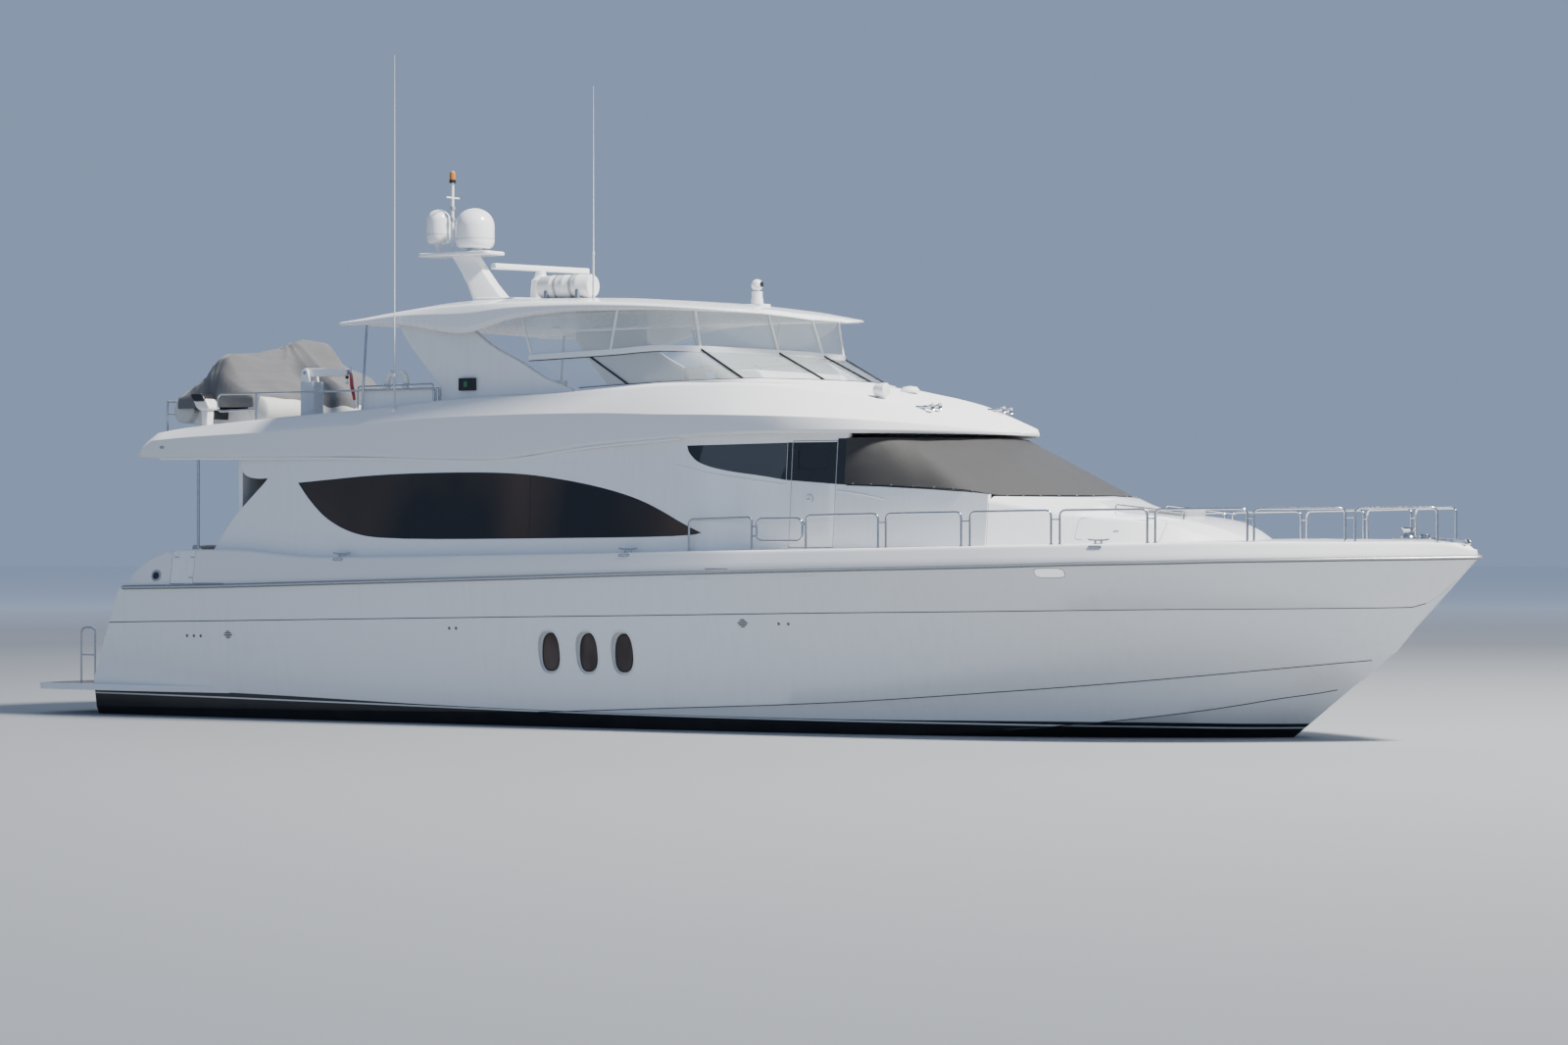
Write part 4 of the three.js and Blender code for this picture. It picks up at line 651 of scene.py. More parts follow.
def hull_finish(name):
    """White topsides over a black boot-top and bottom, with a thin white line drawn along it."""
    n = Nodes(name)
    split = n.add("SeparateXYZ", {0: n.place})
    first, length = -11.0, 23.5
    along = n.range(split.outputs["X"], first, first + length, 0, 1)

    def line(points):
        curve = n.add("FloatCurve", {"Value": along})
        track = curve.mapping.curves[0]
        places = [((x - first) / length, z) for x, z in points]
        track.points[0].location, track.points[1].location = (0, places[0][1]), (1, places[-1][1])
        for place in places:
            track.points.new(*place)
        curve.mapping.update()
        return curve.outputs[0]

    def below(edge):
        return n.range(n.math("SUBTRACT", edge, split.outputs["Z"]), -0.002, 0.002, 0, 1)

    top = line([(-10.94, 0.45), (-7.76, 0.40), (-2.69, 0.27), (2.53, 0.22), (7.28, 0.23), (9.62, 0.20)])
    stripe = line([(-10.68, 0.335), (-6.0, 0.285), (-0.90, 0.215), (7.39, 0.155), (9.09, 0.13)])
    black = below(top)
    upper = below(n.math("ADD", stripe, 0.022))
    lower = below(stripe)
    thin = n.math("SUBTRACT", upper, lower, True)
    cloud, runs = n.noise(0.6, 4), n.noise(4.0, 5, stretch=(2.5, 2.5, 0.2))
    dirt = n.math("MULTIPLY", n.range(cloud, 0.35, 0.7, 0, 1), n.range(runs, 0.45, 0.75, 0, 0.25))
    white = n.mix(dirt, (0.84, 0.855, 0.86, 1), (0.66, 0.66, 0.63, 1))
    dark = n.mix(n.range(n.noise(3, 5), 0.35, 0.7, 0, 1), (0.006, 0.006, 0.007, 1), (0.014, 0.013, 0.012, 1))
    banded = n.mix(thin, dark, (0.75, 0.76, 0.75, 1))
    n.set(colour=n.mix(black, white, banded), rough=n.range(n.math("ADD", runs, black), 0.3, 1.8, 0.16, 0.4),
          coat=0.5, coat_rough=0.06, normal=n.bump(n.noise(1.1, 2), 0.15, 0.012, n.bump(n.noise(380, 2), 0.03, 0.001)))
    return n.material


GEL = gelcoat("gelcoat")
GEL_DECK = gelcoat("gelcoat_deck", (0.84, 0.85, 0.845), 0.3)
GEL_HARDTOP = gelcoat("gelcoat_hardtop", (0.87, 0.875, 0.87), 0.25)
HULL_SKIN = hull_finish("hull_skin")
STEEL = metal("polished_steel", (0.50, 0.51, 0.53), 0.16)
BRUSHED = metal("brushed_steel", (0.62, 0.63, 0.64), 0.32, brushed=(0.2, 6, 6))
BRONZE = metal("bronze", (0.45, 0.30, 0.15), 0.4, stain=0.7)
SALOON_GLASS = dark_glass("saloon_glass", (0.012, 0.012, 0.014), tint=(0.075, 0.05, 0.035))
DARK_GLASS = dark_glass("pilothouse_glass", (0.010, 0.013, 0.020), tint=(0.022, 0.024, 0.03))
PORT_GLASS = dark_glass("porthole_glass", (0.05, 0.035, 0.03), rough=0.25, tint=(0.09, 0.065, 0.055), scale=3)
CLEAR = clear_glass("clear_glass", (0.80, 0.87, 0.88))
COVER_MESH = cloth("cover_mesh", (0.030, 0.029, 0.028), 0.004, vary=0.1, rough=0.62, strength=0.5, sheen=0.12)
CANVAS = cloth("canvas", (0.125, 0.125, 0.128), 0.003, vary=0.14, strength=0.25)
CANVAS_LIGHT = cloth("canvas_light", (0.42, 0.41, 0.39), 0.003, vary=0.1, strength=0.25)
VINYL = leather("vinyl", (0.74, 0.70, 0.62))
RUBBER = plastic("seal_rubber", (0.02, 0.02, 0.022), 0.6)
# Black plastic; the same material fills the bores of the through-hulls and outlets and the hawse mouth, where its
# black is painted shade of the holes.
BLACK = plastic("black_plastic_and_hole_shade", (0.015, 0.015, 0.017), 0.35)
WHITE_PLASTIC = plastic("white_plastic", (0.82, 0.82, 0.81), 0.35)
HYPALON = plastic("tube_fabric", (0.62, 0.62, 0.60), 0.6, 0.3)
GREY = plastic("grey_plastic", (0.35, 0.36, 0.37), 0.5)
ORANGE_LENS = plastic("amber_lens", (0.45, 0.17, 0.02), 0.2)
GREEN_LENS = plastic("green_lens", (0.02, 0.16, 0.06), 0.15)
RED_LENS = plastic("red_lens", (0.3, 0.015, 0.015), 0.15)
RED_CLOTH = cloth("red_cloth", (0.45, 0.06, 0.08), 0.002)
NONSKID = nonskid("nonskid", (0.76, 0.77, 0.765))
TEAK = teak("teak")
# White plastic of the hull plate, with a faint emission that is a painted glow: it keeps the plate bright on the
# shaded side of the hull.
PLATE = plastic("plate_white", (0.95, 0.95, 0.94), 0.5, 0.02)
PLATE_PAINTED_GLOW = PLATE.node_tree.nodes["Principled BSDF"].inputs
PLATE_PAINTED_GLOW["Emission Color"].default_value, PLATE_PAINTED_GLOW["Emission Strength"].default_value = (1, 0.98, 0.95, 1), 0.5
# Dark grey of the rub rail: partly the rail's own grey, partly painted shade of the shadow along its underside.
RUB_GREY_AND_SHADE = plastic("rub_grey_and_painted_shade", (0.20, 0.215, 0.23), 0.4, 0.1)
# Dark seam colour; the same colour draws the lines along the knuckle and the chines, which are painted shadow.
SEAM_AND_SHADOW = plastic("seam_dark", (0.05, 0.055, 0.06), 0.6)
WHIP = plastic("whip_grey", (0.55, 0.57, 0.58), 0.4)
# The crane's column is white; its blue-grey here is painted shade.
CRANE_PAINTED_SHADE = plastic("crane_painted_shade", (0.55, 0.59, 0.64), 0.3, 0.05)
OUTBOARD_WHITE = plastic("outboard_white", (0.78, 0.78, 0.77), 0.28, 0.05)
SCREEN_BLACK = plastic("screen_black", (0.01, 0.012, 0.015), 0.12, 0.02)
LEATHER_BLACK = leather("wheel_leather", (0.03, 0.03, 0.032))
PIPING = plastic("piping", (0.55, 0.52, 0.46), 0.5)


# Hull and deck

def lean_at(station):
    return min(max((RAKE_START_X - station) / (RAKE_START_X - TRANSOM_X), 0), 1)


def sheer_place(station):
    return station + lean_at(station) * TRANSOM_RAKE * (read(HULL, station)[9] - TRANSOM_KNEE_Z)


def station_of(x):
    shift = TRANSOM_RAKE * (TRANSOM_TOP_Z - TRANSOM_KNEE_Z) / (RAKE_START_X - TRANSOM_X)
    return x if x > RAKE_START_X else RAKE_START_X + (x - RAKE_START_X) / (1 - shift)


STATIONS = sorted(set(stations(HULL, 180) + [station_of(row[0]) for row in GUNWALE]))


def between(a, b, t):
    return [p + (q - p) * t for p, q in zip(a, b)]


def hull_ring(x):
    _, keel, y1, z1, y2, z2, y3, z3, y4, z4 = read(HULL, x)

    def place(y, z):
        return [x + lean_at(x) * TRANSOM_RAKE * max(0, z - TRANSOM_KNEE_Z), y, z]

    knee = place(-y2 - (y3 - y2) * KNEE_SHARE - KNEE_BULGE, z2 + (z3 - z2) * KNEE_SHARE)
    groove = place(-y3, z3)
    sheer = [sheer_place(x), -y4, z4]
    deep = min(9, y3 * 0.3)
    below = between(groove, knee, min(0.3, 9 / max(1, z3 - knee[2])))
    above = between(groove, sheer, min(0.3, 9 / max(1, z4 - z3)))
    chine = place(-y2, z2)
    low = place(-y1, z1)
    keel_point = place(0, keel)
    ledge = place(-y2 + min(10, y2 * 0.2), z2 - min(14, y2 * 0.3))
    return both_sides([keel_point, between(keel_point, low, 0.5), low, between(low, ledge, 0.5), ledge, chine, knee,
                       between(knee, groove, 0.5), below, [groove[0], groove[1] + deep, groove[2]], above,
                       between(groove, sheer, 0.35), between(groove, sheer, 0.7), sheer])


def hull_solid(name="cutter"):
    return loft(name, [hull_ring(x) for x in STATIONS])


def deck_ring(station):
    sheer = read(HULL, station)
    x, sheer_y, sheer_z = sheer_place(station), sheer[8], sheer[9]
    _, inset_y, top, camber = read(GUNWALE, x)
    flat = min(30, sheer_y - inset_y - 8)
    outer = [x, -sheer_y + inset_y, top - 12]
    inner = [x, -sheer_y + inset_y + flat, top]
    low, lip = [x, -sheer_y, sheer_z + 0.3], [x, -sheer_y, sheer_z + 8]
    shoulder = between(outer, lip, min(0.4, 40 / max(41.0, outer[2] - lip[2])))
    edge = [between(between(shoulder, [x, outer[1] + 2, top - 1], t), between([x, outer[1] + 2, top - 1], inner, t), t)
            for t in (0, 0.25, 0.5, 0.75, 1)]
    crown = [[x, inner[1] * (1 - s), top + camber * (1 - (1 - s) ** 2)] for s in (0.3, 0.65, 1)]
    return both_sides([low, lip, between(lip, shoulder, 0.5), *edge, *crown])


def deck_solid(name="cutter"):
    first = station_of(GUNWALE[0][0]) - 1
    return loft(name, [deck_ring(station) for station in STATIONS if station > first])


def stair_wells(name):
    run, rise, count = 220, 243, 6
    outline = [[WELL_AFT_X + 5, SOLE_Z + 1500], [WELL_AFT_X + 5, SOLE_Z]]
    for i in range(count):
        outline += [[WELL_AFT_X - run * i, SOLE_Z - rise * i], [WELL_AFT_X - run * i, SOLE_Z - rise * (i + 1)]]
    end = WELL_AFT_X - run * count - 300
    outline += [[end, SOLE_Z - rise * count], [end, SOLE_Z + 1500]]
    return [prism(name, outline, -2780, -2000, "y"), prism(name, outline, 2000, 2780, "y")]


def well(name):
    return block(name, [WELL_AFT_X, -WELL_HALF, SOLE_Z], [WELL_FRONT_X, WELL_HALF, FAR])


PORTHOLES = [(-1540, 1140), (-850, 1140), (-210, 1140)]
PORTHOLE_RX, PORTHOLE_RZ = 215, 340


def hull_side_y(x, z):
    """The half-breadth of the topsides at a place, from the section's corner points."""
    ring = [(y, height) for _, y, height in hull_ring(x)[:14]]
    for (ya, za), (yb, zb) in zip(ring, ring[1:]):
        if min(za, zb) <= z <= max(za, zb) and abs(zb - za) > 1e-6:
            return -(ya + (yb - ya) * (z - za) / (zb - za))
    return -ring[-1][0]


hull = cut(hull_solid("hull_form"), well("well"), *stair_wells("stairs"))
for cx, cz in PORTHOLES:
    for side in (STARBOARD, PORT):
        face = hull_side_y(cx, cz)
        reach = sorted((side * (face - 70), side * (face + 200)))
        cut(hull, prism("porthole_cut", oval(cx, cz, PORTHOLE_RX, PORTHOLE_RZ, 2.5), *reach, "y"))
dress(hull, HULL_SKIN, "hull", "hull", angle=24)

dress(keep(deck_solid("transom_bulwark"), block("keep", [TRANSOM_X, -2000, SOLE_Z], [WELL_AFT_X, 2000, FAR])), GEL,
    "hull", "hull")

for cx, cz in PORTHOLES:
    for side, word in SIDES:
        face = hull_side_y(cx, cz)
        tag = f"porthole_{word}_{abs(cx)}"
        rim_outline = oval(cx, cz, PORTHOLE_RX - 6, PORTHOLE_RZ - 6, 2.5, 64)
        path = laid(hull_side_y, rim_outline, 1, side)
        pipe(GEL, "hull", f"{tag}_rim", path, 14, 10, joined=True, angle=32)
        inner = oval(cx, cz, PORTHOLE_RX - 62, PORTHOLE_RZ - 62, 2.6, 64)
        bezel_path = [[x, side * (face - 52), z] for x, z in inner]
        pipe(BLACK, "rub_rail", f"{tag}_bezel", bezel_path, 12, 10, joined=True, angle=32)
        dress(prism(f"{tag}_pane", inner, *sorted((side * (face - 62), side * (face - 52))), "y"), PORT_GLASS,
            "windscreen")


def bulwark_y(x, z):
    """The half-breadth of the bulwark's sloping outer face."""
    station = station_of(x)
    sheer = read(HULL, station)
    _, inset_y, top, _ = read(GUNWALE, x)
    return sheer[8] - inset_y * (z - sheer[9]) / max(top - sheer[9], 1)


def gate_opening(name, side, play, hinge_play):
    reach = sorted((side * 2600, side * 3300))
    g = QUARTER_GATE
    return block(name, [g["aft"] - play, reach[0], g["low"] - play], [g["front"] + hinge_play, reach[1], FAR])


landing = block("door_landing", [2300, -2455, 0], [3250, 2455, FAR])
deck = cut(deck_solid("deck_form"), well("well"), landing, *stair_wells("stairs"),
           block("pilothouse_well", [WELL_FRONT_X - 10, -2250, 0], [5560, 2250, FAR]),
           block("transom_gap", [TRANSOM_X, -2005, SOLE_Z], [WELL_AFT_X + 5, 2005, FAR]))
for side in (STARBOARD, PORT):
    cut(deck, gate_opening("gate_gap", side, 12, 9))
cut(deck, prism("hatch_gap", rounded([9850, -300], [10450, 300], 90), 2790, 3000, "z"))
floored(deck, GEL_DECK, "deck", 24, lambda p: p.normal.z > 0.97 and p.center.z < 2.9 and p.area > 0.001)

for side, word in SIDES:
    inside = deck_solid("inside")
    for vertex in inside.data.vertices:
        vertex.co.y -= side * 0.06
    dress(cut(keep(deck_solid(f"quarter_gate_{word}_leaf"), gate_opening("keep", side, 0, 0)), inside), GEL,
        "quarter_gate", f"quarter_gate_{word}", body=f"quarter_gate_{word}")

rail_line = [[sheer_place(s), -read(HULL, s)[8], read(HULL, s)[9]] for s in STATIONS if sheer_place(s) > -10090]
tip = [[12205, -18, 2590], [12205, 18, 2590]]
rail_path = rail_line + tip + [[x, -y, z] for x, y, z in reversed(rail_line)]
rub_section = [[-2, -34], [20, -32], [30, -27], [40, -24], [46, -15], [48, 0], [46, 15], [40, 24], [30, 27], [20, 32],
               [-2, 34]]
# The rub rail's dark grey is partly its own colour and partly painted shade.
pipe(RUB_GREY_AND_SHADE, "rub_rail", "rub_rail_form", rail_path, 0, section=rub_section, node="rub_rail", angle=40)
strip_section = [[44, -13], [50, -12], [54, -7], [55, 0], [54, 7], [50, 12], [44, 13]]
pipe(BRUSHED, "rub_rail", "rub_rail_strip", rail_path, 0, section=strip_section)

# Thin dark lines laid in the knuckle groove and just under the two chines: painted shadow of the groove and of the
# chine steps.
for side, word in SIDES:
    for tag, column, first, last in (("knuckle", 6, -20000, 11500), ("upper_chine", 4, -2000, 10700),
            ("lower_chine", 2, 5800, 10100)):
        groove = []
        for s in STATIONS:
            y, z = read(HULL, s)[column:column + 2]
            if 30 < y and first < s < last:
                groove.append([s + lean_at(s) * TRANSOM_RAKE * max(0, z - TRANSOM_KNEE_Z),
                               side * (y - (5 if tag == "knuckle" else -1)), z - (0 if tag == "knuckle" else 4)])
        pipe(SEAM_AND_SHADOW, "hull", f"{tag}_line_{word}", groove, 7, 6)

half = [[-7600, -2940], [-9000, -3040], [-10600, -3060], [-11700, -2980], [-11980, -2900], [-12120, -2720],
        [-12165, -2450]]
edge = curve(half, 6)
plate_outline = edge + [[x, -y] for x, y in reversed(edge)]
platform = cut(prism("platform_form", plate_outline, 395, 490, "z"), hull_solid())
cut(platform, block("core", [-10700, -2500, 0], [-7000, 2500, 1000]))
bevel(platform, 22, 4, 40)
dress(platform, GEL, "swim_platform", "swim_platform")
pad = prism("platform_pad", inset([[-10920, -2500], [-11690, -2860], [-11950, -2760], [-12060, -2500], [-12090, 0],
    [-12060, 2500], [-11950, 2760], [-11690, 2860], [-10920, 2500]], 10), 489.5, 492, "z")
dress(pad, TEAK, "swim_platform")
for side, word in SIDES:
    y = side * 2500
    staple = bend([[-11450, y, 470], [-11450, y, 1400], [-11150, y, 1400], [-11150, y, 470]], 110)
    pipe(STEEL, "bow_rail", f"platform_rail_{word}", staple, RAIL_R, 14, node="swim_platform")
    low_bar = [[-11450, y, 950], [-11150, y, 950]]
    pipe(STEEL, "bow_rail", f"platform_rail_bar_{word}", low_bar, 11, 10)


# Trunk

def trunk_ring(x):
    _, foot, shoulder, shoulder_z, top, top_z = read(TRUNK, x)
    corner = fillet([[-foot, 2600], [-shoulder, shoulder_z], [-top, top_z - 12], [0, top_z + 12]], [0, 90, 160, 0], 5)
    return both_sides([[x, 0, 2600]] + [[x, y, z] for y, z in corner])


dress(cut(loft("trunk_form", [trunk_ring(x) for x in stations(TRUNK, 160)]), deck_solid()), GEL, "trunk", "trunk",
    angle=40)


# House

def house_half(x, z):
    _, low, high = read(HOUSE, x)
    return low + (high - low) * (z - 2700) / 1500


def house_sheet(name, side, start, end):
    rings = []
    for x in stations(HOUSE, 130):
        outer = [[x, side * (house_half(x, z) - start), z] for z in (2500, 3000, 3500, 4000, 4460)]
        inner = [[x, side * (house_half(x, z) - end), z] for z in (4460, 4000, 3500, 3000, 2500)]
        rings.append(outer + inner)
    return loft(name, rings)


def side_prism(name, outline, side):
    return prism(name, outline, *sorted((side * 1000, side * FAR)), "y")


def door_outline(play):
    return [[DOOR["aft"] - play, DOOR["low"] - play], [DOOR["front"] + play, DOOR["low"] - play],
            [DOOR["front"] + play, DOOR["high"] + play], [DOOR["aft"] - play, DOOR["high"] + play]]


SCREEN_LINE = [([x, -house_half(x, z), z], high) for x, z, high in ((3300, 3640, [3300, -2402, 4330]),
    (3900, 3620, [3600, -2240, 4330]), (4600, 3580, [3830, -2040, 4330]), (5200, 3540, [3960, -1850, 4325]))]
SCREEN_LINE += [([5620, -2000, 3460], [4080, -1640, 4325]), ([5930, -1600, 3460], [4280, -1300, 4330]),
                ([6220, -1030, 3460], [4500, -850, 4335]), ([6400, -350, 3460], [4660, -300, 4340])]


def wrap_lines(line):
    return line + [([a[0], -a[1], a[2]], [b[0], -b[1], b[2]]) for a, b in reversed(line)]


def wrap_sheet(name, line, out, depth, steps=1, rows=1):
    """A curved sheet between a lower and an upper line; out is how far its outer face stands off the line."""
    full = wrap_lines(line)
    if steps > 1:
        lows = curve([low for low, _ in full], steps)
        highs = curve([high for _, high in full], steps)
        full = list(zip(lows, highs))
    rings = []
    for i, (low, high) in enumerate(full):
        before, after = full[max(i - 1, 0)], full[min(i + 1, len(full) - 1)]
        along = Vector(after[0]) + Vector(after[1]) - Vector(before[0]) - Vector(before[1])
        normal = along.cross(Vector(high) - Vector(low)).normalized()
        outer = [Vector(between(low, high, r / rows)) + normal * out for r in range(rows + 1)]
        inner = [Vector(between(low, high, r / rows)) + normal * (out - depth) for r in range(rows, -1, -1)]
        rings.append([list(p) for p in outer + inner])
    return loft(name, rings)


def brow_ring(x):
    _, y1, z1, y2, z2, y3, z3, crown = read(BROW, x)
    rise = z3 - z2
    wide = max(y2 - y3, 10)
    points = [[0, z1], [-y1 + 40, z1], [-y1, z1 + 40], [-y2, z2], [-y3, z3], [-y3 * 0.5, z3 + (crown - z3) * 0.75],
              [0, crown]]
    section = fillet(points, [0, 30, 30, min(18, rise * 0.3), min(140, wide * 0.6), 0, 0], 4)
    return both_sides([[x, y, z] for y, z in section])


def brow_solid(name="cutter"):
    return loft(name, [brow_ring(x) for x in stations(BROW, 170)])


SMOOTH_WINDOW = spline(SALOON_WINDOW, 5, corners=(0, 8))
SMOOTH_SIDE = spline(SIDE_WINDOW, 4, corners=(0, 6, 7))
side_shape = curve(SIDE_OUTLINE[1:6], 5)
edge_curl = curve([SIDE_OUTLINE[5], [-7480, 3815], SIDE_OUTLINE[6], [-7790, 3960], SIDE_OUTLINE[7], SIDE_OUTLINE[8]],
    5)
house_outline = [SIDE_OUTLINE[0]] + side_shape + edge_curl[1:] + SIDE_OUTLINE[9:]
for side, word in SIDES:
    panel = cut(house_sheet(f"house_side_{word}_form", side, 0, 80))
    keep(panel, side_prism("keep", house_outline, side))
    cut(panel, side_prism("window", SMOOTH_WINDOW, side), side_prism("side_window", SMOOTH_SIDE, side),
        side_prism("door_gap", door_outline(8), side),
        wrap_sheet("screen_cut", SCREEN_LINE, 400, 400.3), deck_solid(), brow_solid())
    dress(panel, GEL, "house_side", f"house_side_{word}", angle=30)
    for glass, outline, finish in (("saloon", SMOOTH_WINDOW, SALOON_GLASS), ("side", SMOOTH_SIDE, DARK_GLASS)):
        dress(keep(house_sheet(f"{glass}_pane_{word}", side, 4, 14), side_prism("keep", inset(outline, 0.4), side)),
            finish, f"{glass}_glass", f"{glass}_glass_{word}", angle=30)
    seal = laid(house_half, inset(SMOOTH_WINDOW, 5), -3, side)
    pipe(RUBBER, "saloon_glass", f"saloon_seal_{word}", seal, 5, 6, joined=True)
    for seam in (-4330, -2060):
        path = [[seam, side * (house_half(seam, z) - 4), z] for z in (2872, 3200, 3500, 3866
            if seam < -4000 else 3826)]
        pipe(RUBBER, "saloon_glass", f"saloon_seam_{word}_{abs(seam)}", path, 5, 6)


# Pilothouse doors, bulkhead and windscreen

for side, word in SIDES:
    body = f"pilothouse_door_{word}"
    leaf = keep(house_sheet(f"{body}_leaf", side, 0, 50), side_prism("keep", door_outline(0), side))
    window = rounded([2520, 3870], [3060, 4230], 60)
    cut(leaf, side_prism("window", window, side))
    bevel(leaf, 5, 2, 50)
    dress(leaf, GEL, "pilothouse_door", body, body=body)
    panel = keep(house_sheet(f"{body}_panel", side, -1.5, 3),
                 side_prism("keep", [[2432, 3710], [3148, 3653], [3148, 4272], [2432, 4272]], side))
    cut(panel, side_prism("window", window, side))
    dress(panel, DARK_GLASS, "pilothouse_door", body=body)
    for tag, shape in (("aft", [[2346, 3716], [2420, 3710], [2420, 4272], [2346, 4272]]),
            ("front", [[3160, 3652], [3296, 3644], [3296, 4325], [3160, 4325]])):
        dress(keep(house_sheet(f"window_band_{tag}_{word}", side, -1.5, 3), side_prism("keep", shape, side)),
            DARK_GLASS, "side_glass")
    dress(keep(house_sheet(f"{body}_pane", side, 10, 18), side_prism("keep", window, side)), DARK_GLASS,
        "pilothouse_door", body=body)
    seal = laid(house_half, inset(window, 4), -6, side)
    pipe(RUBBER, "pilothouse_door", f"{body}_seal", seal, 6, 6, joined=True, body=body)
    x, z = 2730, 3440
    y = side * (house_half(x, z) - 2)
    dish = lathe(f"{body}_dish", [(0, -6), (52, -6), (58, 2), (66, 3), (66, 0), (66, -8), (0, -10)][::-1],
                 [x, y, z], 32, "y") if side > 0 else lathe(f"{body}_dish", [(0, 6), (52, 6), (58, -2), (66, -3),
                                                                         (66, 8), (0, 10)], [x, y, z], 32, "y")
    dress(dish, STEEL, "bow_rail", body=body)
    pipe(STEEL, "bow_rail", f"{body}_lever", [[x + 10, y + side * 4, z], [x + 14, y + side * 10, z - 4],
        [x - 42, y + side * 10, z - 12]], 7, 10, body=body)

WALL_HALF, WALL_TOP, WALL_DEPTH, GAP_LOW, GAP_HIGH, GAP_Y = 2690, 4300, 80, 2010, 4020, 1500
wall = block("aft_bulkhead_form", [BULKHEAD_X, -WALL_HALF, ON_SOLE], [BULKHEAD_X + WALL_DEPTH, WALL_HALF, WALL_TOP])
cut(wall, block("gap", [BULKHEAD_X - 10, -GAP_Y, GAP_LOW], [BULKHEAD_X + 90, 0, GAP_HIGH]),
    block("pane_gap", [BULKHEAD_X - 10, 80, GAP_LOW + 60], [BULKHEAD_X + 40, GAP_Y, GAP_HIGH - 60]), brow_solid())
dress(wall, GEL, "aft_bulkhead", "aft_bulkhead")
box(STEEL, "bow_rail", 4, "aft_door_track", [BULKHEAD_X - 60, -GAP_Y - 60, GAP_HIGH + 30.3],
    [BULKHEAD_X, GAP_Y + 60, GAP_HIGH + 80], node="aft_bulkhead")
dress(block("aft_fixed_pane", [BULKHEAD_X + 25, 80, GAP_LOW + 60], [BULKHEAD_X + 39, GAP_Y, GAP_HIGH - 60]),
    SALOON_GLASS, "saloon_glass")
leaf = block("saloon_door_frame", [BULKHEAD_X - 55, -GAP_Y - 40, GAP_LOW - 30], [BULKHEAD_X - 8, 40, GAP_HIGH + 30])
cut(leaf, block("view", [BULKHEAD_X - 60, -GAP_Y + 60, GAP_LOW + 80], [BULKHEAD_X, -60, GAP_HIGH - 80]))
dress(bevel(leaf, 6), STEEL, "bow_rail", "saloon_door", body="saloon_door")
dress(block("saloon_door_pane", [BULKHEAD_X - 38, -GAP_Y + 50, GAP_LOW + 70], [BULKHEAD_X - 28, -50, GAP_HIGH - 70]),
    SALOON_GLASS, "saloon_door", body="saloon_door")
pull = bend([[BULKHEAD_X - 52, -1490, 2850], [BULKHEAD_X - 95, -1490, 2850], [BULKHEAD_X - 95, -1490, 3150],
             [BULKHEAD_X - 52, -1490, 3150]], 25)
pipe(STEEL, "bow_rail", "saloon_door_pull", pull, 9, 10, body="saloon_door")

dress(cut(wrap_sheet("windscreen_form", SCREEN_LINE, 12.3, 12, 6, 8), brow_solid(),
    loft("trunk_cut", [trunk_ring(x) for x in stations(TRUNK, 160)])), DARK_GLASS, "windscreen", "windscreen",
    angle=40)


# The mesh cover, snapped over the glass: one sheet

def cover_sheet():
    full = wrap_lines(SCREEN_LINE)
    lows = curve([low for low, _ in full], 8)
    highs = curve([high for _, high in full], 8)
    rows = 14
    verts, faces = [], []
    for i, (low, high) in enumerate(zip(lows, highs)):
        before, after = max(i - 1, 0), min(i + 1, len(lows) - 1)
        along = Vector(lows[after]) + Vector(highs[after]) - Vector(lows[before]) - Vector(highs[before])
        normal = along.cross(Vector(high) - Vector(low)).normalized()
        for r in range(rows + 1):
            t = 0.012 + 0.985 * r / rows
            slack = 17 + 3 * math.sin(i * 0.55) * math.sin(math.pi * t)
            verts.append(list(Vector(between(low, high, t)) + normal * slack))
    width = rows + 1
    for i in range(len(lows) - 1):
        faces += [[i * width + r, (i + 1) * width + r, (i + 1) * width + r + 1, i * width + r + 1]
                  for r in range(rows)]
    return new_object("windscreen_mesh_cover", verts, faces)


cover = cover_sheet()
belt_line = [Vector(between(*pair, 0.5)) for pair in wrap_lines(SCREEN_LINE)]
thicken(cover, 0.0025)
dress(cover, COVER_MESH, "windscreen_cover", "windscreen_cover", angle=60)


# Flybridge moulding

def rounded_plan():
    half_plan = [[-9900, -COAMING_HALF], [700, -COAMING_HALF + 140], [1000, -COAMING_HALF + 200], [1230, -1900],
                 [1280, -1500]]
    return half_plan + [[x, -y] for x, y in reversed(half_plan)]


fly = cut(brow_solid("flybridge_form"), prism("cockpit", rounded_plan(), BOAT_DECK_Z, FAR, "z"))
floored(fly, GEL, "flybridge", 28, lambda p: p.normal.z > 0.99 and abs(p.center.z - BOAT_DECK_Z * 0.001) < 0.002)

drip = [[-9400, 4150], [-6000, 4118], [-4600, 4090], [-3850, 4062], [-2800, 4044], [-2100, 4090], [-1500, 4170],
        [-850, 4238], [0, 4300], [700, 4345]]
for side, word in SIDES:
    line = curve([[x, side * 2900, z] for x, z in drip], 5)
    section = [[-20, -22], [24, -22], [32, -8], [30, 14], [18, 24], [-20, 24]]
    pipe(GEL, "flybridge", f"drip_moulding_{word}", line, 0, section=section, angle=50)


# Hardtop

def hardtop_ring(x):
    _, half_y, low, high, crown, under = read(HARDTOP, x)
    points = [[0, under], [-half_y + 150, under], [-half_y + 60, low], [-half_y, low + (high - low) * 0.25],
              [-half_y, low + (high - low) * 0.7], [-half_y + 60, high], [-half_y * 0.5, high + (crown - high) * 0.8],
              [0, crown]]
    soft = min(60, (high - low) * 0.5)
    section = fillet(points, [0, 40, soft * 0.4, soft * 0.6, soft, 60, 300, 0], 4)
    return both_sides([[x, y, z] for y, z in section])


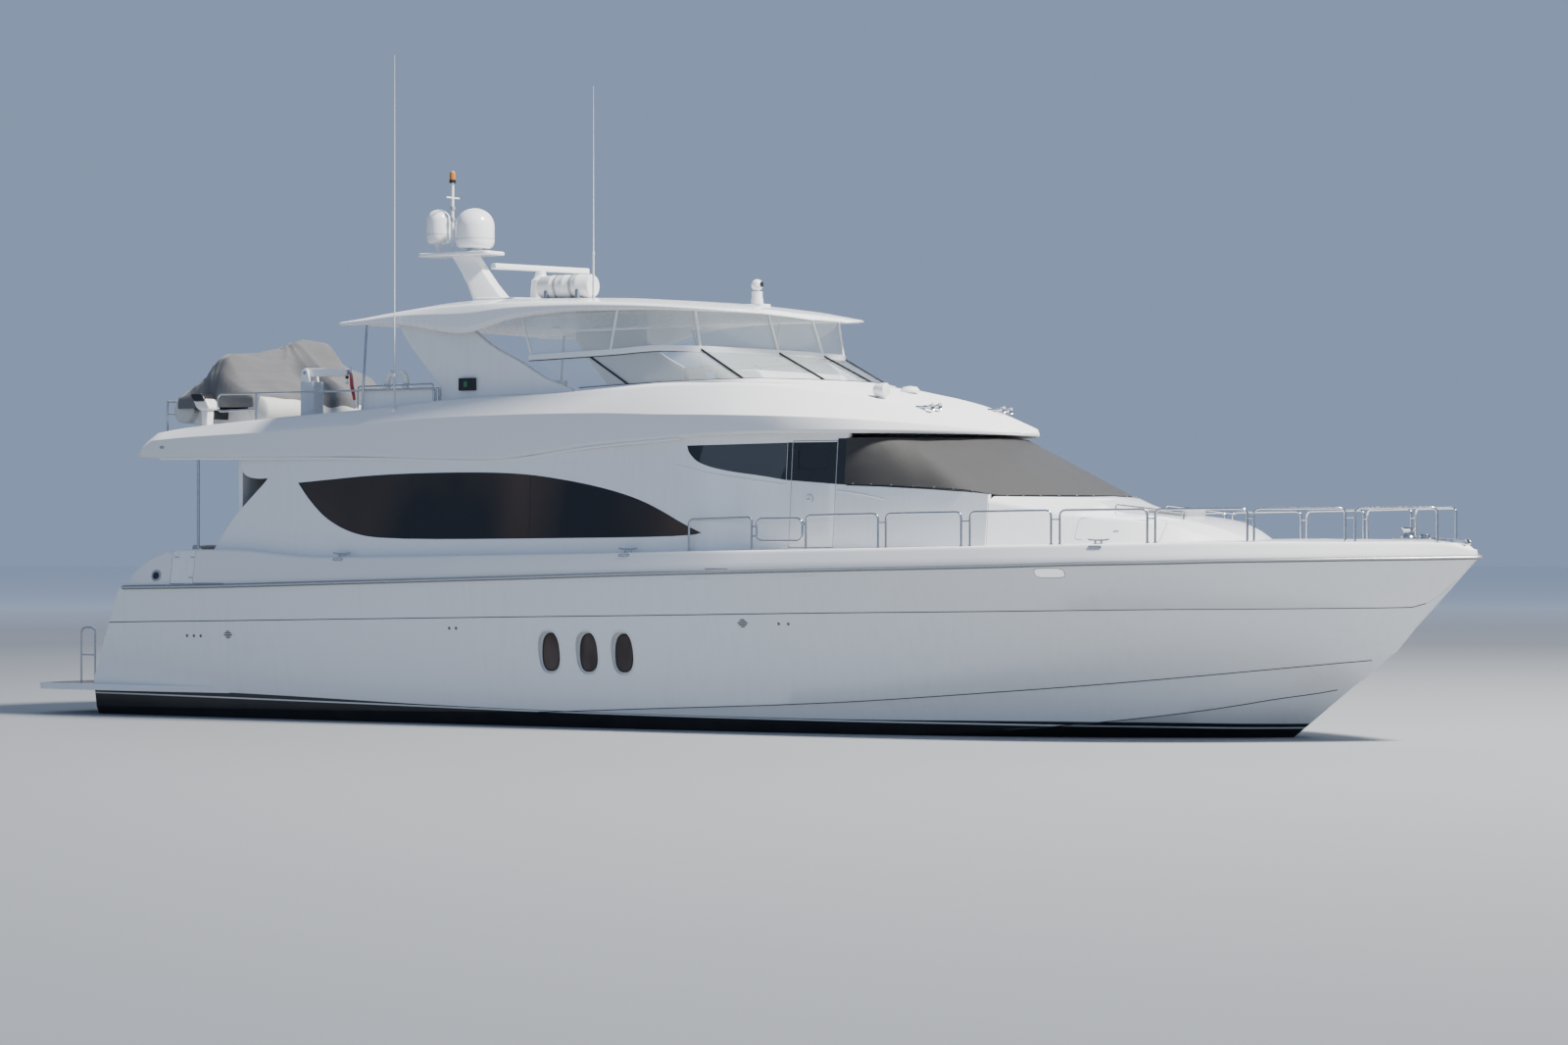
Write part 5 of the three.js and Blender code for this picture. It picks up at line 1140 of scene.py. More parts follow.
def hardtop_solid(name="cutter"):
    return loft(name, [hardtop_ring(x) for x in stations(HARDTOP, 170)])


dress(hardtop_solid("hardtop_form"), GEL_HARDTOP, "hardtop", "hardtop", angle=40)

W = WING_OUTLINE
wing_shape = [W[0]] + curve([W[1], [-4420, 5560], [-4740, 5930], W[2]], 4) + [W[3], W[4]]
wing_shape += curve([W[5], [-3150, 5860], W[6], [-2080, 5310], W[7]], 4) + [W[8]]
for side, word in SIDES:
    low = -2450 if side == STARBOARD else 2330
    panel = cut(prism(f"wing_{word}_form", wing_shape, low, low + 120, "y"), brow_solid(), hardtop_solid())
    bevel(panel, 30, 4, 50)
    dress(panel, GEL, "wing", f"wing_{word}")
    face = -2450 if side == STARBOARD else 2450
    box_low, box_high = sorted((face, face + side * 68))
    box(BLACK, "wing", 8, f"sidelight_{word}_screen", [-3705, box_low, 5150], [-3400, box_high, 5345],
        node=f"wing_{word}")
    spun(GREEN_LENS if side == STARBOARD else RED_LENS, "wing", f"sidelight_{word}_lens",
        [(0, -45), (34, -45), (38, -30), (38, 30), (34, 45), (0, 45)], [-3560, face + side * 62, 5250], 20)


# Enclosure

SILL = [[-1500, -2390, 5120], [-540, -2400, 5160], [900, -2330, 5200], [1380, -2150, 5215], [1930, -700, 5225]]
MIDDLE = [[-2440, -2390, 5640], [-940, -2370, 5690], [-90, -2300, 5735], [500, -2060, 5715], [1000, -650, 5695]]
HEAD = [[-2600, -2380, 6280], [-860, -2300, 6330], [-60, -2220, 6320], [400, -2060, 6310], [790, -620, 6310]]


def rail_section(width, height):
    return fillet([[-width / 2, -height / 2], [width / 2, -height / 2], [width / 2, height / 2],
                   [-width / 2, height / 2]], [8] * 4, 3)


def trimmed(piece):
    return cut(piece, brow_solid(), hardtop_solid())


def smooth_line(line):
    return curve(line + [[x, -y, z] for x, y, z in reversed(line)], 6)


dress(trimmed(tube("enclosure_sill", smooth_line(SILL), 0, section=rail_section(34, 60))), GEL, "enclosure_frame",
    "enclosure_frame", angle=50)
pipe(GEL, "enclosure_frame", "enclosure_middle", smooth_line(MIDDLE), 0, section=rail_section(34, 90),
    node="enclosure_frame", angle=50)
gasket = [[x, y, z - 50] for x, y, z in smooth_line(MIDDLE)]
pipe(BLACK, "enclosure_frame", "enclosure_gasket", gasket, 9, 8)
lower_gasket = [[x, y, z + 34] for x, y, z in smooth_line(SILL)]
pipe(BLACK, "enclosure_frame", "enclosure_lower_gasket", lower_gasket, 9, 8)
UPRIGHTS = [(SILL[1], [-1380, -2370, 5670], BLACK, 16), (SILL[3], MIDDLE[3], BLACK, 16),
    (SILL[4], MIDDLE[4], BLACK, 16), ([-2390, -2385, 5640], HEAD[0], GEL, 30), (MIDDLE[1], HEAD[1], GEL, 34),
    (MIDDLE[3], HEAD[3], GEL, 34), (MIDDLE[4], HEAD[4], GEL, 30)]
for number, (a, b, finish, width) in enumerate(UPRIGHTS):
    for side, word in SIDES:
        path = [[p[0], -side * p[1], p[2]] for p in (a, b)]
        post = tube(f"enclosure_post_{word}_{number}", path, 0, section=rail_section(width, 34))
        if b in HEAD:
            cut(post, hardtop_solid())
        dress(post, finish, "enclosure_frame", "enclosure_frame", angle=50)


def screen(name, lower, upper, start, end):
    line = [(between(a, b, start), between(a, b, end)) for a, b in zip(lower, upper)]
    return trimmed(wrap_sheet(name, line, -17, 8, 6))


dress(screen("lower_screen_form", SILL, MIDDLE, 0.05, 0.95), CLEAR, "lower_screen", "lower_screen")
dress(screen("upper_screen_form", MIDDLE, HEAD, 0.05, 0.97), CLEAR, "upper_screen", "upper_screen")


# Mast and what stands on the hardtop

def mast_ring(x0, x1, half_y, z):
    points = [[x0, -half_y], [x1, -half_y * 0.5], [x1, half_y * 0.5], [x0, half_y]]
    return [[x, y, z] for x, y in fillet(points, [50] * 4, 4)]


pylon_levels = [(-5050, -4330, 260, 6480), (-5140, -4600, 240, 6720), (-5260, -4830, 222, 6960),
                (-5420, -5020, 205, 7200), (-5610, -5200, 190, 7450)]
dress(trimmed(loft("mast_pylon", [mast_ring(*level) for level in pylon_levels])), GEL, "mast", "mast")
dress(trimmed(bevel(prism("mast_foot", [[-5100, 6480], [-3480, 6480], [-3520, 6690], [-4500, 6740], [-5100, 6760]],
    -240, 240, "y"), 45, 4)), GEL, "mast")
slab(GEL, "mast", (18, 3), "mast_platform", rounded([-6250, -270], [-4800, 270], 110), MAST_TOP - 60, MAST_TOP, "z")
PEDESTAL_TOP = 7140 - 60.3
spun(GEL, "mast", "radar_pedestal", [(0, 6690), (175, 6690), (165, 6760), (150, 7000), (110, 7040), (92, PEDESTAL_TOP),
    (0, PEDESTAL_TOP)], [RADAR_X, 0, 0], node="mast")
pipe(WHITE_PLASTIC, "mast", "mast_pole", [[POLE_X, 0, 7490], [POLE_X, 0, 8700]], 24, 16)
pipe(WHITE_PLASTIC, "mast", "mast_spreader", [[POLE_X, -170, 8400], [POLE_X, 170, 8400]], 14, 12)
for z in (8050, 8230):
    spun(GREY, "mast", f"mast_collar_{z}", [(0, -30), (38, -30), (42, 0), (38, 30), (0, 30)], [POLE_X, 0, z], 20)
spun(ORANGE_LENS, "mast", "anchor_light", [(0, 8690), (50, 8690), (50, 8790), (34, 8825), (0, 8838)], [POLE_X, 0, 0],
    24)
spun(BLACK, "mast", "anchor_light_cap", [(0, 8640), (55, 8640), (55, 8692), (0, 8692)], [POLE_X, 0, 0], 24)


def dome(name, x, radius, base, top, neck, node):
    shoulder = top - radius * 0.92
    arc = [(radius * math.cos(a), shoulder + radius * 0.92 * math.sin(a))
           for a in np.linspace(0, math.pi / 2, 12)[1:-1]]
    lower = [(0, MAST_TOP + 0.3), (neck, MAST_TOP + 0.3), (neck, base), (radius * 0.78, base),
        (radius * 0.93, base + 30), (radius, base + 110)]
    profile = lower + [(radius, shoulder)] + arc + [(0, top)]
    spun(GEL, node, name, profile, [x, 0, 0], 48, node=node, angle=50)
    seam = base + 150
    spun(GREY, node, f"{name}_seam", [(radius - 4, seam - 4), (radius + 2, seam - 3), (radius + 2, seam + 3),
        (radius - 4, seam + 4)], [x, 0, 0], 48, angle=60)


dome("satellite_dome_shell", -5250, 320, 7560, 8210, 120, "satellite_dome")
dome("small_dome_shell", -5985, 200, 7660, 8220, 60, "small_dome")

RADAR_TURN = math.radians(75)


def turned(obj, angle, centre):
    c, s = math.cos(angle), math.sin(angle)
    for vertex in obj.data.vertices:
        x, y = vertex.co.x, vertex.co.y
        vertex.co.x, vertex.co.y = c * x - s * y, s * x + c * y
        vertex.co += Vector(centre) * 0.001
    return obj


array_section = fillet([[-70, 0], [70, 0], [58, 92], [-58, 92]], [25] * 4, 4)
array = prism("radar_array_bar", array_section, -975, 975, "x")
dress(turned(bevel(array, 14, 3, 50), RADAR_TURN, [RADAR_X, 0, 7140]), GEL, "radar_array", "radar_array",
    body="radar_array")
spun(GEL, "radar_array", "radar_array_hub", [(0, 7080), (88, 7080), (90, 7100), (76, 7150), (0, 7150)],
    [RADAR_X, 0, 0], 28, body="radar_array")

RAFT_X, RAFT_Y, RAFT_Z, RAFT_HALF, RAFT_R = -2840, -800, 6820, 490, 185
profile = [(0, -RAFT_HALF), (RAFT_R * 0.9, -RAFT_HALF), (RAFT_R, -RAFT_HALF + 30)]
for h in (-250, 0, 250):
    profile += [(RAFT_R, h - 30), (RAFT_R + 6, h - 20), (RAFT_R + 6, h + 20), (RAFT_R, h + 30)]
profile += [(RAFT_R, RAFT_HALF - 30), (RAFT_R * 0.9, RAFT_HALF), (0, RAFT_HALF)]
spun(WHITE_PLASTIC, "life_raft", "raft_canister", profile, [RAFT_X, RAFT_Y, RAFT_Z], 40, "x", node="life_raft",
    angle=40)
for dx in (-300, 300):
    dress(cut(bevel(block(f"raft_cradle_{dx + 300}", [RAFT_X + dx - 25, RAFT_Y - 200, 6400],
        [RAFT_X + dx + 25, RAFT_Y + 200, RAFT_Z - 60]), 5), hardtop_solid()), STEEL, "life_raft")
    strap = [[RAFT_X + dx * 0.5, RAFT_Y + (RAFT_R + 8) * math.cos(a), RAFT_Z + (RAFT_R + 8) * math.sin(a)]
             for a in np.linspace(0, 2 * math.pi, 33)[:-1]]
    pipe(GREY, "life_raft", f"raft_strap_{dx + 300}", strap, 0, joined=True,
        section=[[-2, -20], [2, -20], [2, 20], [-2, 20]], angle=32)

for name, node, x, y, z, top, thick in (("aerial_aft", "aerial_aft", -4700, -2840, 4780, 10390, 5500),
        ("aerial_forward", "aerial_forward", -2000, -1300, 6560, 9890, 7300)):
    profile = [(0, z), (26, z), (26, z + 60), (17, z + 90), (17, thick - 40), (21, thick - 30), (21, thick),
               (11, thick + 25), (7, top - 900), (4, top), (0, top)]
    spun(WHIP, node, f"{name}_whip", profile, [x, y, 0], 14, node=node, angle=50)
for z in (4850, 5400):
    box(WHITE_PLASTIC, "aerial_aft", 6, f"aerial_clamp_{z}", [-4730, -2880, z - 30], [-4670, -2810, z + 30])


# Rails and posts

def rail_y(x):
    return read(RAILS, x)[1]


def hoop_path(first, last, side):
    def spot(x, drop_by):
        _, y, z = read(RAILS, x)
        return [x, side * y, z - drop_by]

    count = 6
    top = [spot(first + (last - first) * i / count, 0) for i in range(1, count)]
    corner = 110
    start = [spot(first, 0)]
    path = [[first, side * rail_y(first), read(GUNWALE, first)[2] - 20], *start, *top, spot(last, 0),
            [last, side * rail_y(last), read(GUNWALE, last)[2] - 20]]
    return fillet(path, [0] + [corner] + [200] * len(top) + [corner, 0], 5)


def foot_plate(name, x, y, z, radius=38):
    return lathe(name, [(0, 0), (radius, 0), (radius, 4), (radius * 0.6, 10), (20, 14), (0, 14)], [x, y, z], 20)


for side, word in SIDES:
    parts = [tube("hoop", hoop_path(*span, side), RAIL_R, 12) for span in HOOPS]
    for (_, a), (b, _) in zip(HOOPS, HOOPS[1:]):
        spots = [[x, side * rail_y(x), read(RAILS, x)[2] - 130] for x in (a, b)]
        parts.append(tube("link", spots, RAIL_R * 0.7, 10))
    dress(join(f"bow_rail_{word}_pipes", parts), STEEL, "bow_rail", f"bow_rail_{word}", angle=60)
    pipe(STEEL, "bow_rail", f"aft_hoop_{word}", hoop_path(*AFT_HOOP, side), RAIL_R, 12)
    feet = [foot_plate("foot", x, side * rail_y(x), read(GUNWALE, x)[2] + read(GUNWALE, x)[3] * 0.1)
            for span in HOOPS + [AFT_HOOP] for x in span]
    dress(join(f"rail_feet_{word}", feet), STEEL, "bow_rail", angle=50)

    gate_y = side * rail_y(2085)
    loop = rounded([2085, 2820], [2880, 3150], 100, 6)
    pipe(STEEL, "gate", f"gate_{word}_loop", [[x, gate_y, z] for x, z in loop], RAIL_R, 12, joined=True,
        node=f"gate_{word}", body=f"gate_{word}")
    for z in (2890, 3030):
        box(STEEL, "gate", 3, f"gate_{word}_lug_{z}", [2018, gate_y - 7, z - 13], [2080, gate_y + 7, z + 13],
            body=f"gate_{word}")
    latch = bend([[2790, gate_y, 3135], [2850, gate_y + side * 10, 3120], [2905, gate_y, 3090], [2915, gate_y, 3050]],
        20)
    pipe(STEEL, "gate", f"gate_{word}_latch", latch, 7, 8, body=f"gate_{word}")

    dress(cut(tube(f"overhang_post_{word}_pipe", [[POST_X, side * 2820, 2600], [POST_X, side * 2820, 4250]], 24, 16),
        deck_solid(), brow_solid()), STEEL, "overhang_post", f"overhang_post_{word}", angle=60)
    dress(foot_plate(f"overhang_foot_{word}", POST_X, side * 2820, read(GUNWALE, POST_X)[2], 55), STEEL,
        "overhang_post", angle=50)

    y = side * 2670
    pipes = [cut(tube("post", [[-5370, y, 6300], [-5500, y, 4500]], 20, 14), brow_solid(), hardtop_solid()),
             cut(tube("post", [[-7610, y, 4500], [-7610, y, 5160]], RAIL_R, 12), brow_solid()),
             cut(tube("post", [[-3985, y, 4600], [-3985, y, 5185]], RAIL_R, 12), brow_solid())]
    if side == STARBOARD:
        pipes.append(tube("top", bend([[-7610, y, 4925], [-8400, y, 4900], [-8400, y, 5175], [-3970, y, 5190]], 90, 6),
                          RAIL_R, 12))
    else:
        def quarter(z):
            return [[-9900, -2150, z], [-9900, 2150, z], [-9650, y - 60, z], [-9450, y, z]]
        pipes.append(tube("top", bend([*quarter(5100), [-7610, y, 5175], [-3970, y, 5190]], 120, 5), RAIL_R, 12))
        pipes.append(tube("low", bend([*quarter(4900), [-7610, y, 4910]], 120, 5), RAIL_R * 0.7, 10))
        for t in (-1, -0.33, 0.33, 1):
            pipes.append(cut(tube("post", [[-9900, t * 2150, 4280], [-9900, t * 2150, 5100]], RAIL_R, 12),
                             brow_solid()))
        pipes.append(cut(tube("post", [[-9450, y, 4450], [-9450, y, 5110]], RAIL_R, 12), brow_solid()))
    dress(join(f"boat_deck_rail_{word}_pipes", pipes), STEEL, "boat_deck_rail", f"boat_deck_rail_{word}", angle=60)


# Crane

CRANE_X, CRANE_Y, CRANE_HALF, CRANE_TOP, PIVOT_X, PIVOT_Z = -6850, -2200, 140, 5360, -6900, 5500
base_outline = rounded([CRANE_X - CRANE_HALF, CRANE_Y - CRANE_HALF], [CRANE_X + CRANE_HALF, CRANE_Y + CRANE_HALF], 40)
# The column's blue-grey colour is painted shade on a white column.
slab(CRANE_PAINTED_SHADE, "crane_column", (8, 2, 50), "crane_post", base_outline, ON_DECK, CRANE_TOP, "z", node="crane_column",
    body="crane_column")
for sign in (-1, 1):
    y = CRANE_Y + sign * 105
    slab(GEL, "crane_column", (5,), f"crane_ear_{sign + 1}", [[PIVOT_X - 80, CRANE_TOP - 20],
        [PIVOT_X + 110, CRANE_TOP - 20], [PIVOT_X + 60, PIVOT_Z + 40], [PIVOT_X + 30, PIVOT_Z + 60],
        [PIVOT_X - 30, PIVOT_Z + 60], [PIVOT_X - 60, PIVOT_Z + 40]], y - 20, y + 20, "y", body="crane_column")
    spun(STEEL, "crane_column", f"crane_pin_cap_{sign + 1}", [(0, -4), (26, -4), (26, 6), (0, 9)]
        if sign > 0 else [(0, -9), (26, -6), (26, 4), (0, 4)], [PIVOT_X, y + sign * 20, PIVOT_Z], 24, "y",
        body="crane_column")
slab(GEL, "crane_column", (5,), "crane_flange", rounded([CRANE_X - 165, CRANE_Y - 165], [CRANE_X + 165, CRANE_Y + 165],
    50), ON_DECK, BOAT_DECK_Z + 20, "z", body="crane_column")
beam_outline = fillet([[PIVOT_X - 70, PIVOT_Z - 60], [PIVOT_X + 800, PIVOT_Z - 60], [PIVOT_X + 800, PIVOT_Z + 50],
    [PIVOT_X - 70, PIVOT_Z + 80]], [35, 40, 45, 50], 5)
slab(GEL, "crane_boom", (12, 3, 50), "crane_beam", beam_outline, CRANE_Y - 78, CRANE_Y + 78, "y", node="crane_boom",
    body="crane_boom")
box(GREY, "crane_boom", 6, "crane_extension", [PIVOT_X + 770, CRANE_Y - 48, PIVOT_Z - 42],
    [PIVOT_X + 812, CRANE_Y + 48, PIVOT_Z + 36], body="crane_boom")
hook_path = bend([[PIVOT_X + 760, CRANE_Y, PIVOT_Z - 50], [PIVOT_X + 760, CRANE_Y, PIVOT_Z - 130],
    [PIVOT_X + 790, CRANE_Y, PIVOT_Z - 165], [PIVOT_X + 760, CRANE_Y, PIVOT_Z - 182],
    [PIVOT_X + 735, CRANE_Y, PIVOT_Z - 160]], 14, 5)
pipe(STEEL, "crane_boom", "crane_hook", hook_path, 9, 10, body="crane_boom")
box(BLACK, "crane_boom", 8, "crane_hook_block", [PIVOT_X + 738, CRANE_Y - 22, PIVOT_Z - 105],
    [PIVOT_X + 782, CRANE_Y + 22, PIVOT_Z - 58], body="crane_boom")


# Tender and its cover

TENDER_X, TENDER_HALF, STERN_Y, BOW_Y, TUBE_Z, TUBE_R = -8850, 780, -2050, 2100, 4950, 210
starboard_tube = [[TENDER_X - TENDER_HALF, STERN_Y, TUBE_Z], [TENDER_X - TENDER_HALF, 900, TUBE_Z],
    [TENDER_X - TENDER_HALF * 0.72, 1450, TUBE_Z], [TENDER_X - TENDER_HALF * 0.3, BOW_Y - TUBE_R - 30, TUBE_Z]]
collar_path = fillet(starboard_tube + [[2 * TENDER_X - x, y, z] for x, y, z in reversed(starboard_tube)],
                     [0, 300, 300, 220, 220, 300, 300, 0], 6)
pipe(HYPALON, "tender", "tender_collar", collar_path, TUBE_R, 28, node="tender")
for sign in (-1, 1):
    x = TENDER_X + sign * TENDER_HALF
    spun(HYPALON, "tender", f"tender_cone_{sign + 1}", [(0, -60), (100, -52), (180, -20), (TUBE_R - 2, 0),
        (TUBE_R - 2, 12)], [x, STERN_Y, TUBE_Z], 28, "y", angle=60)
pipe(GREY, "tender", "tender_strake", collar_path, 0, section=[[TUBE_R - 4, -38], [TUBE_R + 10, -28], [TUBE_R + 14, 0],
    [TUBE_R + 10, 28], [TUBE_R - 4, 38]])


def keel_ring(y, wide, low):
    x = TENDER_X
    return [[x, y, low], [x + wide * 0.5, y, (low + 4760) / 2 - 12], [x + wide, y, 4760], [x + wide, y, 4960],
            [x - wide, y, 4960], [x - wide, y, 4760], [x - wide * 0.5, y, (low + 4760) / 2 - 12]]


body_rings = [keel_ring(STERN_Y + 120, 700, 4520), keel_ring(600, 700, 4520), keel_ring(1000, 640, 4545),
              keel_ring(1350, 500, 4600), keel_ring(1600, 300, 4670), keel_ring(BOW_Y - 330, 120, 4740)]
dress(loft("tender_bottom", body_rings), WHITE_PLASTIC, "tender")
for y in (-1300, 700):
    slab(WHITE_PLASTIC, "tender", (8,), f"tender_chock_{y + 1300}", [[TENDER_X - 420, ON_DECK],
        [TENDER_X + 420, ON_DECK], [TENDER_X + 300, 4700], [TENDER_X + 40, 4560], [TENDER_X - 40, 4560],
        [TENDER_X - 300, 4700]], y - 50, y + 50, "y")


def cover_height(u, v):
    """Height of the cover over its tied edge at a share u of the half-breadth and a place v along the tender."""
    ridge = np.interp(v, [-2190, -2140, -2010, -1850, -1050, -500, -120, 480, 640, 860, 1200, 1750, 2000],
                      [10, 330, 640, 710, 725, 830, 975, 990, 975, 690, 560, 470, 300])
    shoulder = np.interp(v, [-2190, -2120, -1500, -400, 900, 1750, 2000], [4, 190, 330, 440, 330, 220, 90])
    peaked = math.exp(-(u * 2.6) ** 2) * (ridge - shoulder)
    drape = shoulder * (1 - abs(u) ** 3.2)
    return max(0.0, peaked + drape)


def cover_breadth(v):
    return float(np.interp(v, [-2200, -1950, -1500, -400, 900, 1450, 1750, 2000, 2080],
                           [760, 840, 880, 955, 930, 800, 600, 380, 250]))


def tender_cover_sheet():
    columns, rows = 96, 150
    verts, faces = [], []
    for r in range(rows + 1):
        v = -2190 + (2080 + 2190) * r / rows
        wide = cover_breadth(v)
        for c in range(columns + 1):
            u = -1 + 2 * c / columns
            height = cover_height(u, v)
            angle = math.atan2(height, u * wide + 1e-6)
            away = math.atan2(v + 330, (abs(u) + 0.08) * 900)
            crease = 1 - 2 * abs(math.sin(away * 4.5 + u * 1.7))
            fold = 30 * crease * min(1, height / 260) + 10 * math.sin(angle * 9 + v * 0.0021) \
                + 6 * math.sin(angle * 23 + v * 0.006)
            sag = -26 * math.exp(-((v - 500) / 330) ** 2) * math.cos(u * 4)
            z = TUBE_Z + TUBE_R + 6 + height + (fold + sag) * min(1, height / 90)
            out = wide * u * (1 + 0.012 * math.sin(v * 0.011) * abs(u))
            verts.append([TENDER_X + out, v, z])
    width = columns + 1
    faces += quads(rows, width)
    first = len(verts)
    ring = [r * width for r in range(rows + 1)] + [rows * width + c for c in range(1, width)]
    ring += [r * width + width - 1 for r in range(rows - 1, -1, -1)] + list(range(width - 2, 0, -1))
    for level, drop_by, spread in ((0, 60, 14), (1, 130, 22), (2, 190, 16)):
        for k, index in enumerate(ring):
            x, y, z = verts[index]
            centre_x, centre_y = TENDER_X, float(np.clip(y, -1900, 1700))
            dx, dy = x - centre_x, y - centre_y
            size = math.hypot(dx, dy) or 1.0
            wave = 7 * math.sin(k * 0.43) * (level + 1) / 3
            verts.append([x + dx / size * (spread + wave), y + dy / size * (spread + wave), z - drop_by])
    loop = len(ring)
    for level in range(3):
        start = first + level * loop
        for k in range(loop):
            a = ring[k] if level == 0 else start - loop + k
            b = ring[(k + 1) % loop] if level == 0 else start - loop + (k + 1) % loop
            faces.append([a, b, start + (k + 1) % loop, start + k])
    return new_object("tender_canvas", verts, faces)


canvas = tender_cover_sheet()
thicken(canvas, 0.002)
dress(canvas, CANVAS, "tender_cover", "tender_cover", angle=80)

OB = TENDER_X
lean = -140
cowl = prism("outboard_cowl", [[x + lean * (z - 4950) / 255, z] for x, z in rounded([OB - 140, 4935], [OB + 140, 5140],
    70, 8)], -2500, -2235, "y")
bevel(cowl, 45, 5, 50)
dress(cowl, OUTBOARD_WHITE, "tender_outboard", "tender_outboard", angle=50)
dress(bevel(prism("outboard_top", [[x + lean * (z - 4950) / 255, z] for x, z in rounded([OB - 132, 5075],
    [OB + 122, 5205], 50, 6)], -2520, -2225, "y"), 25, 4, 50), BLACK, "tender_outboard", angle=50)
slab(OUTBOARD_WHITE, "tender_outboard", (18, 3), "outboard_leg", [[OB - 45, 4560], [OB + 45, 4560], [OB + 75, 4955],
    [OB - 75, 4955]], -2470, -2310, "y")
box(BLACK, "tender_outboard", 10, "outboard_bracket", [OB - 60, -2320, 4790], [OB + 60, STERN_Y + 119, 4950])
dress(prism("outboard_fin", [[OB - 90, 4600], [OB + 90, 4600], [OB + 90, 4612], [OB - 90, 4612]], -2500, -2300, "y"),
    OUTBOARD_WHITE, "tender_outboard")


# Flybridge furniture

HELM_AFT, HELM_FRONT, KNEE_Z, HELM_BROW, BROW_Z, HELM_HALF = 350, 1180, 5050, 620, 5430, 1250
console_shape = fillet([[HELM_AFT, ON_DECK], [HELM_FRONT, ON_DECK], [HELM_FRONT, BROW_Z - 190],
    [HELM_BROW + 380, BROW_Z - 10], [HELM_BROW, BROW_Z], [HELM_AFT, KNEE_Z]], [0, 0, 90, 90, 40, 30], 5)
slab(GEL, "helm_console", (30, 4, 50), "helm_console_form", console_shape, -HELM_HALF, HELM_HALF, "y",
    node="helm_console")
TILT = math.radians(35.4)
WHEEL_X, WHEEL_Z, WHEEL_R, STANDOFF, WHEEL_Y = 485, 5240, 190, 95, 900


def on_console(u, w, out):
    """A place on the sloping face: u across, w up the slope, out from it, in mm."""
    slope = Vector((HELM_BROW - HELM_AFT, 0, BROW_Z - KNEE_Z)).normalized()
    normal = Vector((-slope.z, 0, slope.x))
    return Vector((HELM_AFT, u, KNEE_Z)) + slope * w + normal * out


def console_panel(name, u0, u1, w0, w1, depth, finish, radius=20):
    outline = rounded([u0, w0], [u1, w1], radius)
    verts = [list(on_console(u, w, out)) for out in (-4, depth) for u, w in outline]
    count = len(outline)
    faces = [list(range(count)), list(range(count, 2 * count))]
    faces += [[i, (i + 1) % count, count + (i + 1) % count, count + i] for i in range(count)]
    return dress(bevel(outward(new_object(name, verts, faces)), 3), finish, "helm_console")


console_panel("helm_panel", -1100, 1100, 30, 430, 4, GREY, 40)
console_panel("helm_display_wide", -420, 80, 90, 400, 9, SCREEN_BLACK)
console_panel("helm_display_port", 150, 560, 110, 380, 9, SCREEN_BLACK)
console_panel("helm_switches", -980, -560, 120, 300, 9, BLACK)
for i in range(6):
    for j in range(2):
        console_panel(f"helm_switch_{i}_{j}", -950 + i * 64, -912 + i * 64, 145 + j * 80, 195 + j * 80, 13, GREY, 8)
for i, u in enumerate((-460, -500)):
    spot = on_console(u, 240, 10)
    pipe(STEEL, "helm_console", f"helm_lever_{i}", [list(spot), list(on_console(u, 300, 120))], 9, 10)

lean_cos, lean_sin = math.cos(TILT), math.sin(TILT)


def wheel_place(out, a, b):
    """From the wheel's own axes (out along its hub to the console, a to port, b up its rim) to the row frame."""
    x0, z0 = WHEEL_X - STANDOFF * lean_cos, WHEEL_Z + STANDOFF * lean_sin
    return [x0 + out * lean_cos + b * lean_sin, WHEEL_Y + a, z0 - out * lean_sin + b * lean_cos]


rim_path = [wheel_place(0, WHEEL_R * math.cos(t), WHEEL_R * math.sin(t)) for t in np.linspace(0, 2 * math.pi, 65)[:-1]]
pipe(LEATHER_BLACK, "helm_wheel", "wheel_rim", rim_path, 15, 14, joined=True, node="helm_wheel", body="helm_wheel")
for i in range(3):
    angle = 2 * math.pi * i / 3 + 0.5
    ends = [wheel_place(8, 30 * math.cos(angle), 30 * math.sin(angle)),
            wheel_place(0, (WHEEL_R - 4) * math.cos(angle), (WHEEL_R - 4) * math.sin(angle))]
    pipe(STEEL, "helm_wheel", f"wheel_spoke_{i}", ends, 9, 12, body="helm_wheel")
hub_rings = [[wheel_place(h, r * math.cos(t), r * math.sin(t)) for t in np.linspace(0, 2 * math.pi, 33)[:-1]]
    for r, h in ((0.5, -18), (30, -16), (36, -4), (36, 20), (30, 40), (30, STANDOFF - 1), (0.5, STANDOFF - 1))]
dress(loft("wheel_hub", hub_rings), STEEL, "helm_wheel", body="helm_wheel")


# Upholstery: crowned pads with piping

